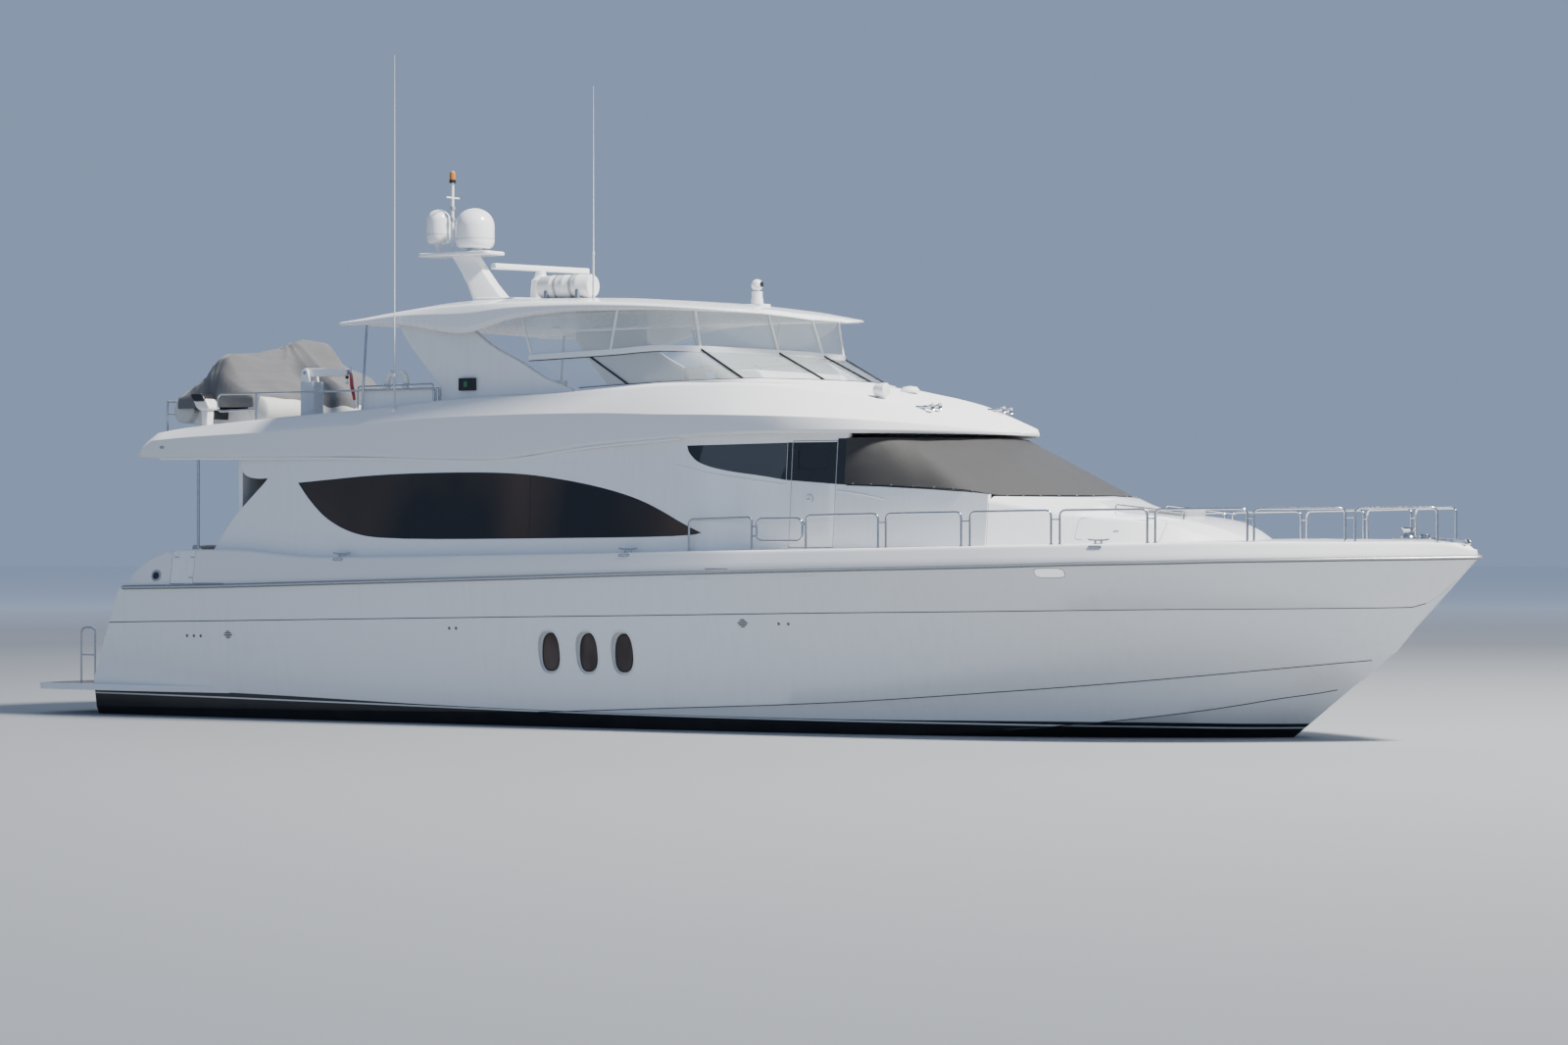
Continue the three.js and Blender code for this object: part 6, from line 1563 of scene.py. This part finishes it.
def pad(name, low, high, crown, radius, lean=0.0, axis="z", slot="settee"):
    """A filled cushion over a box: its two faces bulge, its edges are full and its piping stands proud."""
    low, high = np.array(low, float), np.array(high, float)
    a, b, c = {"z": (0, 1, 2), "x": (1, 2, 0), "y": (0, 2, 1)}[axis]
    size = high - low
    steps_a, steps_b = max(8, int(size[a] / 40)), max(8, int(size[b] / 40))
    verts, faces = [], []
    layers = []
    for face_sign in (-1, 1):
        grid = {}
        for i in range(steps_a + 1):
            for j in range(steps_b + 1):
                s, t = i / steps_a, j / steps_b
                edge = min(s, 1 - s) * size[a], min(t, 1 - t) * size[b]
                fall = [1 - (1 - min(1, e / radius)) ** 2.4 for e in edge]
                swell = math.sin(math.pi * s) ** 0.5 * math.sin(math.pi * t) ** 0.5 if 0 < s < 1 and 0 < t < 1 else 0
                half = size[c] / 2 * (0.35 + 0.65 * min(fall)) + crown * swell
                point = np.zeros(3)
                point[a], point[b] = low[a] + s * size[a], low[b] + t * size[b]
                point[c] = (low[c] + high[c]) / 2 + face_sign * half
                if lean:
                    point[0] -= lean * (point[2] - low[2])
                grid[i, j] = len(verts)
                verts.append(list(point))
        layers.append(grid)
    for sign, grid in enumerate(layers):
        for i in range(steps_a):
            for j in range(steps_b):
                quad = [grid[i, j], grid[i + 1, j], grid[i + 1, j + 1], grid[i, j + 1]]
                faces.append(quad if sign else quad[::-1])
    border = [(i, 0) for i in range(steps_a)] + [(steps_a, j) for j in range(steps_b)] \
        + [(i, steps_b) for i in range(steps_a, 0, -1)] + [(0, j) for j in range(steps_b, 0, -1)]
    for k, key in enumerate(border):
        following = border[(k + 1) % len(border)]
        faces.append([layers[0][key], layers[0][following], layers[1][following], layers[1][key]])
    obj = outward(new_object(name, verts, faces))
    dress(obj, VINYL, slot, angle=60)
    seam = [[(p + q) / 2 for p, q in zip(verts[layers[0][key]], verts[layers[1][key]])] for key in border]
    pipe(PIPING, slot, f"{name}_piping", seam, 5, 6, joined=True)


for word, y in (("starboard", -450), ("port", 450)):
    pad(f"helm_cushion_{word}", [-610, y - 265, 4985], [-75, y + 265, 5070], 14, 70, slot="helm_seat")
    pad(f"helm_back_{word}", [-625, y - 255, 5080], [-545, y + 255, 5510], 14, 70, lean=0.17, axis="x",
        slot="helm_seat")
    box(GEL, "helm_seat", 10, f"helm_seat_shell_{word}", [-620, y - 278, 4962], [-62, y + 278, 4990], node="helm_seat")
    slab(GEL, "helm_seat", (7,), f"helm_back_shell_{word}", [[-700, 4962], [-665, 4962], [-740, 5512], [-758, 5512]],
        y - 262, y + 262, "y")
    spun(STEEL, "helm_seat", f"helm_seat_post_{word}", [(0, ON_DECK), (110, ON_DECK), (110, BOAT_DECK_Z + 14),
        (58, BOAT_DECK_Z + 40), (50, 4900), (80, 4962), (0, 4962)], [-350, y, 0], 28)
box(GEL, "helm_seat", 8, "helm_seat_tie", [-420, -445, 4702], [-280, 445, 4758])

box(GEL, "settee", 12, "settee_base", [-3690, -2150, ON_DECK], [-1902, -1515, 4790], node="settee")
box(GEL, "settee", 12, "settee_end_base", [-3650, -1700, ON_DECK], [-3015, 298, 4790])
for i in range(3):
    low = -3000 + i * 366
    pad(f"settee_cushion_{i}", [low, -2110, 4790], [low + 360, -1505, 4870], 10, 60)
pad("settee_corner", [-3620, -2110, 4790], [-3005, -1505, 4870], 10, 60)
for i in range(2):
    low = -1500 + i * 900
    pad(f"settee_end_cushion_{i}", [-3610, low, 4790], [-3005, low + 893, 4870], 10, 60)
box(GEL, "settee", 15, "settee_back_board", [-3698, -2248, ON_DECK], [-1902, -2190, 5290])
box(GEL, "settee", 15, "settee_end_board", [-3798, -2248, ON_DECK], [-3740, 298, 5290])
for i in range(3):
    low = -3600 + i * 566
    pad(f"settee_back_{i}", [low, -2190, 4880], [low + 560, -2110, 5280], 10, 60, axis="y")
for i in range(2):
    low = -2090 + i * 1195
    pad(f"settee_end_back_{i}", [-3740, low, 4880], [-3620, low + 1188, 5280], 10, 60, axis="x")


# Aft deck settee under its canvas

def settee_canvas():
    profile = curve([[-9745, 1955], [-9744, 2600], [-9735, 2748], [-9655, 2760], [-9570, 2740], [-9500, 2470],
        [-9300, 2405], [-9090, 2400], [-9052, 2370], [-9050, 2160], [-9046, 1962]], 6)
    verts, rows = [], 90
    for r in range(rows + 1):
        y = -1700 + 3400 * r / rows
        for k, (x, z) in enumerate(profile):
            wrinkle = 5 * math.sin(y * 0.013 + k * 0.35) + 3 * math.sin(y * 0.041 - k * 0.2)
            hem = min(1, (z - 1950) / 300)
            verts.append([x - 6 + min(4, wrinkle * 0.4), y, z - 8 + min(6, wrinkle * hem)])
    count = len(profile)
    faces = quads(rows, count) + [[r * count + k for k in range(count)] for r in (0, rows)]
    return new_object("aft_settee_canvas", verts, faces)


dress(join("aft_settee_form", [block("a", [-9730, -1680, ON_SOLE], [-9065, 1680, 2380]),
    block("b", [-9725, -1680, 2360], [-9590, 1680, 2720])]), GEL, "cockpit_settee", "cockpit_settee")
wrap = outward(settee_canvas())
dress(wrap, CANVAS_LIGHT, "cockpit_settee", angle=70)


# Foredeck gear

base = prism("windlass_base", rounded([10950, -170], [11560, 170], 60), 2700, 2860, "z")
cut(base, deck_solid())
dress(bevel(base, 10), STEEL, "windlass", "windlass")
spun(STEEL, "windlass", "windlass_drum", [(0, 2855), (112, 2855), (112, 2866), (92, 2885), (76, 2920), (76, 2955),
    (90, 2990), (108, 3003), (106, 3010), (40, 3012), (0, 3008)], [11150, 0, 0], 40)
spun(STEEL, "windlass", "windlass_gypsy", [(0, 2855), (70, 2855), (78, 2870), (62, 2885), (78, 2900), (70, 2915),
    (0, 2915)], [11400, 0, 0], 32)
for y in (-58, 58):
    dress(cut(bevel(prism(f"bow_roller_cheek_{y + 58}", [[11500, 2765], [12070, 2765], [12080, 2800], [12040, 2838],
        [11500, 2838]], y - 4, y + 4, "y"), 2), deck_solid()), STEEL, "windlass")
for x in (11680, 12020):
    spun(BLACK, "windlass", f"bow_roller_{x}", [(0, -50), (32, -50), (20, 0), (32, 50), (0, 50)], [x, 0, 2808], 24,
        "y")
chain = []
for i in range(22):
    cx = 11440 + i * 26
    flat = i % 2 == 0
    ring = []
    for angle in turns(16):
        u, v = 19 * math.cos(angle), 9 * math.sin(angle)
        ring.append([cx + u, v if flat else 0, 2868 - (cx - 11440) * 0.045 + (0 if flat else v)])
    chain.append(tube("link", ring, 3.6, 6, joined=True))
dress(join("anchor_chain", chain), STEEL, "windlass", angle=60)

slab(GEL, "foredeck_hatch", (10,), "foredeck_hatch_lid", rounded([9858, -292], [10442, 292], 85, 8), 2790.3, 2835, "z",
    node="foredeck_hatch", body="foredeck_hatch")
slab(DARK_GLASS, "foredeck_hatch", (2,), "foredeck_hatch_light", rounded([9930, -220], [10370, 220], 60, 8), 2834.5,
    2838, "z", body="foredeck_hatch")
for y in (-150, 150):
    box(STEEL, "foredeck_hatch", 4, f"hatch_dog_{y + 150}", [9872, y - 18, 2834], [9915, y + 18, 2845],
        body="foredeck_hatch")


# Running gear

SHAFT_Y, PROP_X, PROP_Z, SHAFT_R, SHAFT_RISE = 1250, -8700, -1150, 38, 0.105


def on_shaft(x):
    return PROP_Z + (x - PROP_X) * SHAFT_RISE


for side, word in SIDES:
    y = side * SHAFT_Y
    start = PROP_X + 155.3 / math.hypot(1, SHAFT_RISE)
    dress(cut(tube(f"shaft_{word}_rod", [[start, y, on_shaft(start)], [-4700, y, on_shaft(-4700)]], SHAFT_R, 24),
        hull_solid()), STEEL, "shaft", f"shaft_{word}", angle=60)
    ends = [PROP_X + 180, PROP_X + 520]
    dress(bevel(tube(f"shaft_{word}_bearing", [[x, y, on_shaft(x)] for x in ends], SHAFT_R + 30, 28), 12), BRONZE,
        "shaft", angle=40)
    x = PROP_X
    dress(bevel(cut(prism(f"shaft_{word}_strut", fillet([[x + 220, PROP_Z + 20], [x + 480, PROP_Z + 40], [x + 560, 0],
        [x + 260, 0]], [40, 40, 0, 0], 4), y - 24, y + 24, "y"), hull_solid()), 16, 3), BRONZE, "shaft", angle=40)

    lean = math.atan(SHAFT_RISE)

    def in_place(obj, angle=0.0):
        ca, sa, cl, sl = math.cos(angle), math.sin(angle), math.cos(lean), math.sin(lean)
        for vertex in obj.data.vertices:
            a, b, h = (v * 1000 for v in vertex.co)
            a, b = a * ca - b * sa, a * sa + b * ca
            vertex.co = Vector((PROP_X + h * cl - b * sl, y + a, PROP_Z + h * sl + b * cl)) * 0.001
        return obj

    dress(in_place(lathe(f"propeller_{word}_hub", [(0, -168), (20, -165), (45, -150), (66, -80), (78, 0), (74, 100),
        (71, 155), (0, 155)], [0, 0, 0], 36)), BRONZE, "propeller", f"propeller_{word}", body=f"propeller_{word}")
    for number in range(4):
        rings = []
        for share in np.linspace(0, 1, 9):
            radius = 55 + (420 - 55) * share
            chord = float(np.interp(radius, [40, 120, 220, 320, 390, 420], [66, 115, 145, 142, 100, 26]))
            pitch = float(np.interp(radius, [40, 180, 320, 420], [1.0, 0.75, 0.6, 0.5]))
            thick = float(np.interp(radius, [40, 180, 320, 420], [14, 10, 7, 3]))
            c, s = math.cos(pitch), math.sin(pitch)
            ring = []
            for angle in turns(16):
                u = chord * math.cos(angle) + chord * 0.12 * share
                w = thick * math.sin(angle) * (1 - 0.3 * math.cos(angle))
                ring.append([radius, u * c - w * s, u * s + w * c])
            rings.append(ring)
        blade = loft(f"propeller_{word}_blade_{number}", rings)
        dress(in_place(blade, math.pi / 2 * number), BRONZE, "propeller", body=f"propeller_{word}", angle=60)

    rx, top, foot = -9550, -700, -1480
    rings = []
    for z in np.linspace(foot, top, 8):
        trail = -330 + (foot + 120 - z) * 0.25 if z < foot + 120 else -330
        lead = 210 - max(0, (foot + 160 - z)) * 0.3
        ring = []
        for angle in turns(24):
            share = (1 + math.cos(angle)) / 2
            thick = 34 * math.sqrt(max(share, 0)) * math.sqrt(max(1 - share, 0)) * 2 * (0.35 + 0.65 * share)
            ring.append([rx + (trail + (lead - trail) * share), y + math.copysign(thick, math.sin(angle))
                if abs(math.sin(angle)) > 1e-09 else y, z])
        rings.append(ring)
    dress(loft(f"rudder_{word}_blade", rings), BRONZE, "rudder", f"rudder_{word}", body=f"rudder_{word}", angle=40)
    pipe(STEEL, "rudder", f"rudder_{word}_stock", [[rx, y, top - 20], [rx, y, -560.3]], 40, 28, body=f"rudder_{word}")


# Fittings on the hull and deck

def on_side(name, surface, outline, proud, finish, side, slot="rub_rail", edge=2):
    """A flat fitting laid on a side: its outline in x and z, its faces following the given surface."""
    rings = [laid(surface, outline, out, side) for out in (-6, proud)]
    piece = loft(name, rings)
    if edge:
        bevel(piece, edge, 2, 50)
    return dress(piece, finish, slot)


BOW_PLATE, HAWSE = (6980, 2366), (-9350, 2262)
for side, word in SIDES:
    def on_hull(name, *rest, **more):
        return on_side(f"{name[0]}_{word}_{name[1]}", hull_side_y, *rest, side, **more)

    for number, x in enumerate((-8720, -8575, -8430)):
        on_hull(("through_hull", number), oval(x, 1300, 30, 30, steps=24), 5, STEEL)
        # The black disc in each through-hull's bore is painted shade: the dark inside the hole.
        on_hull(("through_hull_bore", number), oval(x, 1300, 17, 17, steps=20), 6, BLACK, edge=0)
    for number, (x, z) in enumerate(((-7850, 1330), (1940, 1610))):
        for k, reach in enumerate((34, 66, 88, 66, 34)):
            level = z + (k - 2) * 26
            slat = [[x - reach, level - 7], [x + reach, level - 7], [x + reach, level + 7], [x - reach, level + 7]]
            on_hull((f"vent_slat_{k}", number), slat, 7, SEAM_AND_SHADOW, edge=0)
    for number, (x, z) in enumerate(((-3390, 1480), (-3260, 1480), (2550, 1605), (2710, 1605))):
        on_hull(("outlet", number), oval(x, z, 28, 28, steps=20), 5, STEEL)
        # The black disc in each outlet's bore is painted shade.
        on_hull(("outlet_bore_shade", number), oval(x, z, 16, 16, steps=16), 6, BLACK, edge=0)
    for number, (x, z) in enumerate(((1220, 2245), (3030, 2285))):
        on_hull(("recess", number), oval(x, z, 190, 34, 4, 28), 3, GEL_DECK)
    # The hull plate's faint glow is painted light.
    on_hull(("hull_plate", 0), oval(*BOW_PLATE, 215, 62, 4, 40), 9, PLATE)
    frame_line = laid(hull_side_y, oval(*BOW_PLATE, 219, 66, 4, 48), 2, side)
    pipe(SEAM_AND_SHADOW, "rub_rail", f"hull_plate_{word}_rim", frame_line, 4, 6, joined=True)
    belt = [[560, 3955], [900, 3872], [1300, 3795], [1800, 3722], [2330, 3645]]
    for tag, places in (("aft", belt), ("front", [[3190, 3555], [3600, 3498], [3960, 3425]])):
        bead = curve(laid(house_half, places, 1, side), 6)
        pipe(GEL, "house_side", f"belt_{tag}_{word}", bead, 10, 8)
    on_side(f"hawse_{word}_rim", bulwark_y, oval(*HAWSE, 100, 92, 2.2, 36), 14, STEEL, side)
    # The black oval in the hawse mouth is painted shade: the dark inside the hole.
    on_side(f"hawse_{word}_mouth_shade", bulwark_y, oval(*HAWSE, 66, 58, 2.2, 32), 16, BLACK, side, edge=0)
    on_side(f"quarter_scupper_{word}", lambda x, z: read(BROW, x)[3], oval(-9330, 4330, 46, 24, 3, 24), 6, GREY, side,
            slot="flybridge")

    for number, x in enumerate((-5600, -150, 7640)):
        _, inset_y, top, camber = read(GUNWALE, x)
        y = side * (read(HULL, x)[8] - inset_y - 95)
        z = top + camber * 0.1
        box(STEEL, "bow_rail", 6, f"cleat_{word}_{number}_base", [x - 70, y - 26, z - 4], [x + 70, y + 26, z + 10])
        horn = curve([[x - 165, y, z + 62], [x - 100, y, z + 52], [x, y, z + 50], [x + 100, y, z + 52],
            [x + 165, y, z + 62]], 5)
        pipe(STEEL, "bow_rail", f"cleat_{word}_{number}_horn", horn, 13, 12)
        for dx in (-48, 48):
            pipe(STEEL, "bow_rail", f"cleat_{word}_{number}_leg_{dx + 48}", [[x + dx, y, z], [x + dx, y, z + 50]], 14,
                12)
        rim = laid(bulwark_y, oval(x, top - 40, 95, 16, 4, 28), 2, side)
        pipe(STEEL, "bow_rail", f"fairlead_{word}_{number}", rim, 7, 8, joined=True)
    for number, (x0, x1) in enumerate(((-8550, -7900), (1350, 1750))):
        z = read(HULL, x0)[9] + 48
        plate = [[x, side * (bulwark_y(x, z) + 1), z] for x in np.linspace(x0, x1, 9)]
        pipe(GREY, "deck", f"scupper_{word}_{number}", plate, 0, section=[[-3, -12], [3, -12], [3, 12], [-3, 12]],
            angle=50)
    spun(STEEL, "bow_rail", f"deck_filler_{word}", [(0, -4), (44, -4), (44, 3), (36, 5), (0, 5)],
        [-3300, side * 3040, read(GUNWALE, -3300)[2]], 28)

for side, word in SIDES:
    pipe(STEEL, "bow_rail", f"quarter_gate_{word}_bolt", [[-9000, side * (bulwark_y(-9000, 2560) + 5), 2560],
        [-8900, side * (bulwark_y(-8900, 2560) + 5), 2560]], 6, 10, body=f"quarter_gate_{word}")
    for z in (2235, 2560):
        pipe(STEEL, "bow_rail", f"quarter_gate_{word}_hinge_{z}", [[-8650, side * (bulwark_y(-8650, z) + 4), z],
            [-8575, side * (bulwark_y(-8575, z) + 4), z]], 8, 10, body=f"quarter_gate_{word}")


# Trunk door, roof hatch and rail

def trunk_y(x, z):
    _, foot, shoulder, shoulder_z, _, _ = read(TRUNK, x)
    return foot + (shoulder - foot) * (z - 2600) / (shoulder_z - 2600)


for side, word in SIDES:
    outline = rounded([6800, 2845], [7980, 3150], 50, 6)
    outline = [[x, z - (x - 6800) * 0.04] for x, z in outline]
    groove = laid(trunk_y, outline, 0.5, side)
    pipe(GREY, "trunk", f"trunk_door_{word}_seam", groove, 4, 6, joined=True)
    catch = [[7325, side * (trunk_y(7325, 2960) + 4), 2960], [7395, side * (trunk_y(7395, 2958) + 4), 2958]]
    pipe(STEEL, "trunk", f"trunk_door_{word}_catch", catch, 9, 10)
slab(GREY, "trunk", (14,), "trunk_roof_hatch", rounded([7150, -330], [7810, 330], 80, 8), 3150, 3272, "z")
slab(DARK_GLASS, "trunk", (2,), "trunk_roof_hatch_glass", rounded([7220, -260], [7740, 260], 60, 8), 3271, 3275, "z")
for y in (-800, 800):
    bar_path = bend([[6900, y, 3255], [6900, y, 3345], [8000, y, 3225], [8000, y, 3120]], 60, 5)
    pipe(STEEL, "bow_rail", f"trunk_rail_{y + 1150}", bar_path, 13, 10)


# Cover snaps, horns, searchlight

snap_line = curve([low for low, _ in SCREEN_LINE], 4)
for side, word in SIDES:
    snaps = []
    for k in range(1, len(snap_line) - 1, 2):
        x, y, z = snap_line[k]
        along = Vector(snap_line[k + 1]) - Vector(snap_line[k - 1])
        outward_way = Vector((along.y, -along.x)).normalized()
        place = [x + 22 * outward_way.x, side * -(y + 22 * outward_way.y), z + 26]
        snaps.append(lathe("snap", [(0, -11), (11, -8), (14, 0), (11, 8), (0, 11)], place, 14, "z"))
    dress(join(f"cover_snaps_{word}", snaps), STEEL, "windscreen_cover", angle=50)
for side, word in SIDES:
    for number, (x, y, z) in enumerate(((4050, 1180, 4752), (4050, 960, 4766))):
        profile = [(0, -150), (26, -150), (20, -60), (22, 40), (52, 120), (60, 132), (56, 134), (0, 70)]
        spun(STEEL, "flybridge", f"horn_{word}_{number}", profile, [x - 140, side * y, z + 50], 24, "x", angle=50)
        box(STEEL, "flybridge", 4, f"horn_{word}_{number}_foot", [x - 200, side * y - 14, z - 8],
            [x - 150, side * y + 14, z + 40])
LAMP = (3250, -1350)
lamp_profile = [(0, -110), (70, -105), (100, -70), (108, 40), (108, 92), (98, 98), (0, 90)]
spun(GEL, "flybridge", "searchlight_body", lamp_profile, [*LAMP, 5060], 32, "x", angle=50)
spun(CLEAR, "flybridge", "searchlight_glass", [(0, 88), (94, 92), (92, 100), (0, 102)], [*LAMP, 5060], 32, "x")
spun(GEL, "flybridge", "searchlight_post", [(0, 0), (80, 0), (80, 14), (34, 30), (34, 60), (0, 60)], [*LAMP, 4905], 28)
spun(GEL, "flybridge", "brow_pod", [(0, -20), (150, -20), (150, 20), (110, 70), (0, 90)], [2950, 0, 5085], 32)

slab(GEL, "hardtop", (8,), "camera_pad", rounded([-30, -150], [370, 150], 60, 6), 6455, 6492, "z")
spun(WHITE_PLASTIC, "hardtop", "camera_yoke", [(0, 6490), (96, 6490), (96, 6560), (84, 6600), (84, 6690), (0, 6700)],
    [CAMERA_X, 0, 0], 32)
ball = [(92 * math.cos(a), 6790 + 92 * math.sin(a)) for a in np.linspace(-math.pi / 2, math.pi / 2, 15)]
spun(WHITE_PLASTIC, "hardtop", "camera_ball", [(0, 6697)] + ball[1:-1] + [(0, 6882)], [CAMERA_X, 0, 0], 36, angle=60)
spun(BLACK, "hardtop", "camera_lens", [(0, 60), (44, 60), (44, 92), (36, 96), (0, 94)], [CAMERA_X, 0, 6800], 24, "x")

for number, x in enumerate((-4700, -3000, -1300)):
    for side, word in SIDES:
        spun(WHITE_PLASTIC, "hardtop", f"hardtop_light_{word}_{number}", [(0, -8), (60, -8), (66, -2), (66, 4),
            (0, 4)], [x, side * 1500, read(HARDTOP, x)[5] - 2], 28)


# Lifebuoy, locker rail and flag on the flybridge's quarter

buoy = []
for k in range(30):
    angle = math.radians(-62 + 304 * k / 29) + math.pi * 1.5 - math.radians(90)
    buoy.append([-4920 + 190 * math.cos(angle), -2500, 5300 + 190 * math.sin(angle)])
ring = tube("lifebuoy_ring", buoy, 52, 18)
for vertex in ring.data.vertices:
    vertex.co.y = -2.500 + (vertex.co.y + 2.500) * 0.8
dress(bevel(ring, 12, 3, 60), WHITE_PLASTIC, "flybridge", angle=60)
rail = bend([[-5640, -2560, 4900], [-5640, -2560, 5250], [-4150, -2560, 5270], [-4150, -2560, 4980]], 60, 5)
pipe(STEEL, "boat_deck_rail", "quarter_locker_rail", rail, 15, 12)
dress(bevel(block("quarter_locker", [-5600, -2545, 4425], [-4180, -2240, 5225]), 40, 5), GEL, "flybridge", angle=40)
pipe(STEEL, "boat_deck_rail", "flag_staff", [[-5700, -2560, 4900], [-5790, -2560, 5560]], 12, 10)


def furled_flag():
    rings = []
    for k in range(15):
        t = k / 14
        centre = Vector((-5715 - 70 * t, -2560, 5040 + 430 * t))
        ring = []
        for angle in turns(36):
            r = 24 + 9 * math.sin(3 * angle + t * 5) + 4 * math.sin(7 * angle)
            r *= 0.55 + 0.45 * math.sin(math.pi * (0.12 + 0.8 * t))
            ring.append(list(centre + Vector((r * math.cos(angle), r * math.sin(angle), 0))))
        rings.append(ring)
    return loft("furled_flag", rings)


flag = furled_flag()
dress(flag, RED_CLOTH, "tender_cover", angle=70)


# Camera, floor and light

camera_data = bpy.data.cameras.new("view")
camera_data.sensor_width, camera_data.lens = 36, 97.9
camera_data.clip_end = 500
camera = bpy.data.objects.new("view", camera_data)
bpy.context.scene.collection.objects.link(camera)
camera.location = (36.00, -55.67, 2.80)
camera.rotation_euler = (math.radians(90.265), 0, math.radians(32.39))
bpy.context.scene.camera = camera

SKY, SKY_POWER = (0.50, 0.66, 1.0, 1), 0.50
floor = block("floor", [-400000, -400000, -60], [400000, 400000, 0])
n = Nodes("floor")
distance = n.add("VectorMath", {0: n.place}, operation="LENGTH").outputs[1]
far = n.range(distance, 55, 120, 0, 1)
# The floor is dark grey near the boat and pale far off; the pale far floor is painted light, which makes up for the
# key light that does not reach it, so that it meets the sky.
n.set(colour=n.mix(far, (0.28, 0.29, 0.30, 1), (0.92, 0.93, 0.94, 1)), rough=0.7, specular=0.2)
floor.data.materials.append(n.material)


def area_light(name, place, target, size, power, colour):
    data = bpy.data.lights.new(name, "AREA")
    data.shape, data.size, data.size_y = "RECTANGLE", size[0], size[1]
    data.energy, data.color = power, colour
    light = bpy.data.objects.new(name, data)
    bpy.context.scene.collection.objects.link(light)
    light.location = place
    light.rotation_euler = (Vector(target) - Vector(place)).to_track_quat("-Z", "Y").to_euler()
    return light


area_light("key", (36, 6, 52), (0, 0, 3), (9, 8), 118000, (1.0, 0.965, 0.91))
area_light("fill", (10, -60, 14), (0, 0, 3), (50, 16), 3000, (0.58, 0.76, 1.0))
area_light("back", (-30, 46, 30), (0, 0, 3), (34, 18), 6000, (0.92, 0.95, 1.0))
world = bpy.data.worlds.new("sky")
world.use_nodes = True
background = world.node_tree.nodes["Background"]
background.inputs[0].default_value, background.inputs[1].default_value = SKY, SKY_POWER
bpy.context.scene.world = world
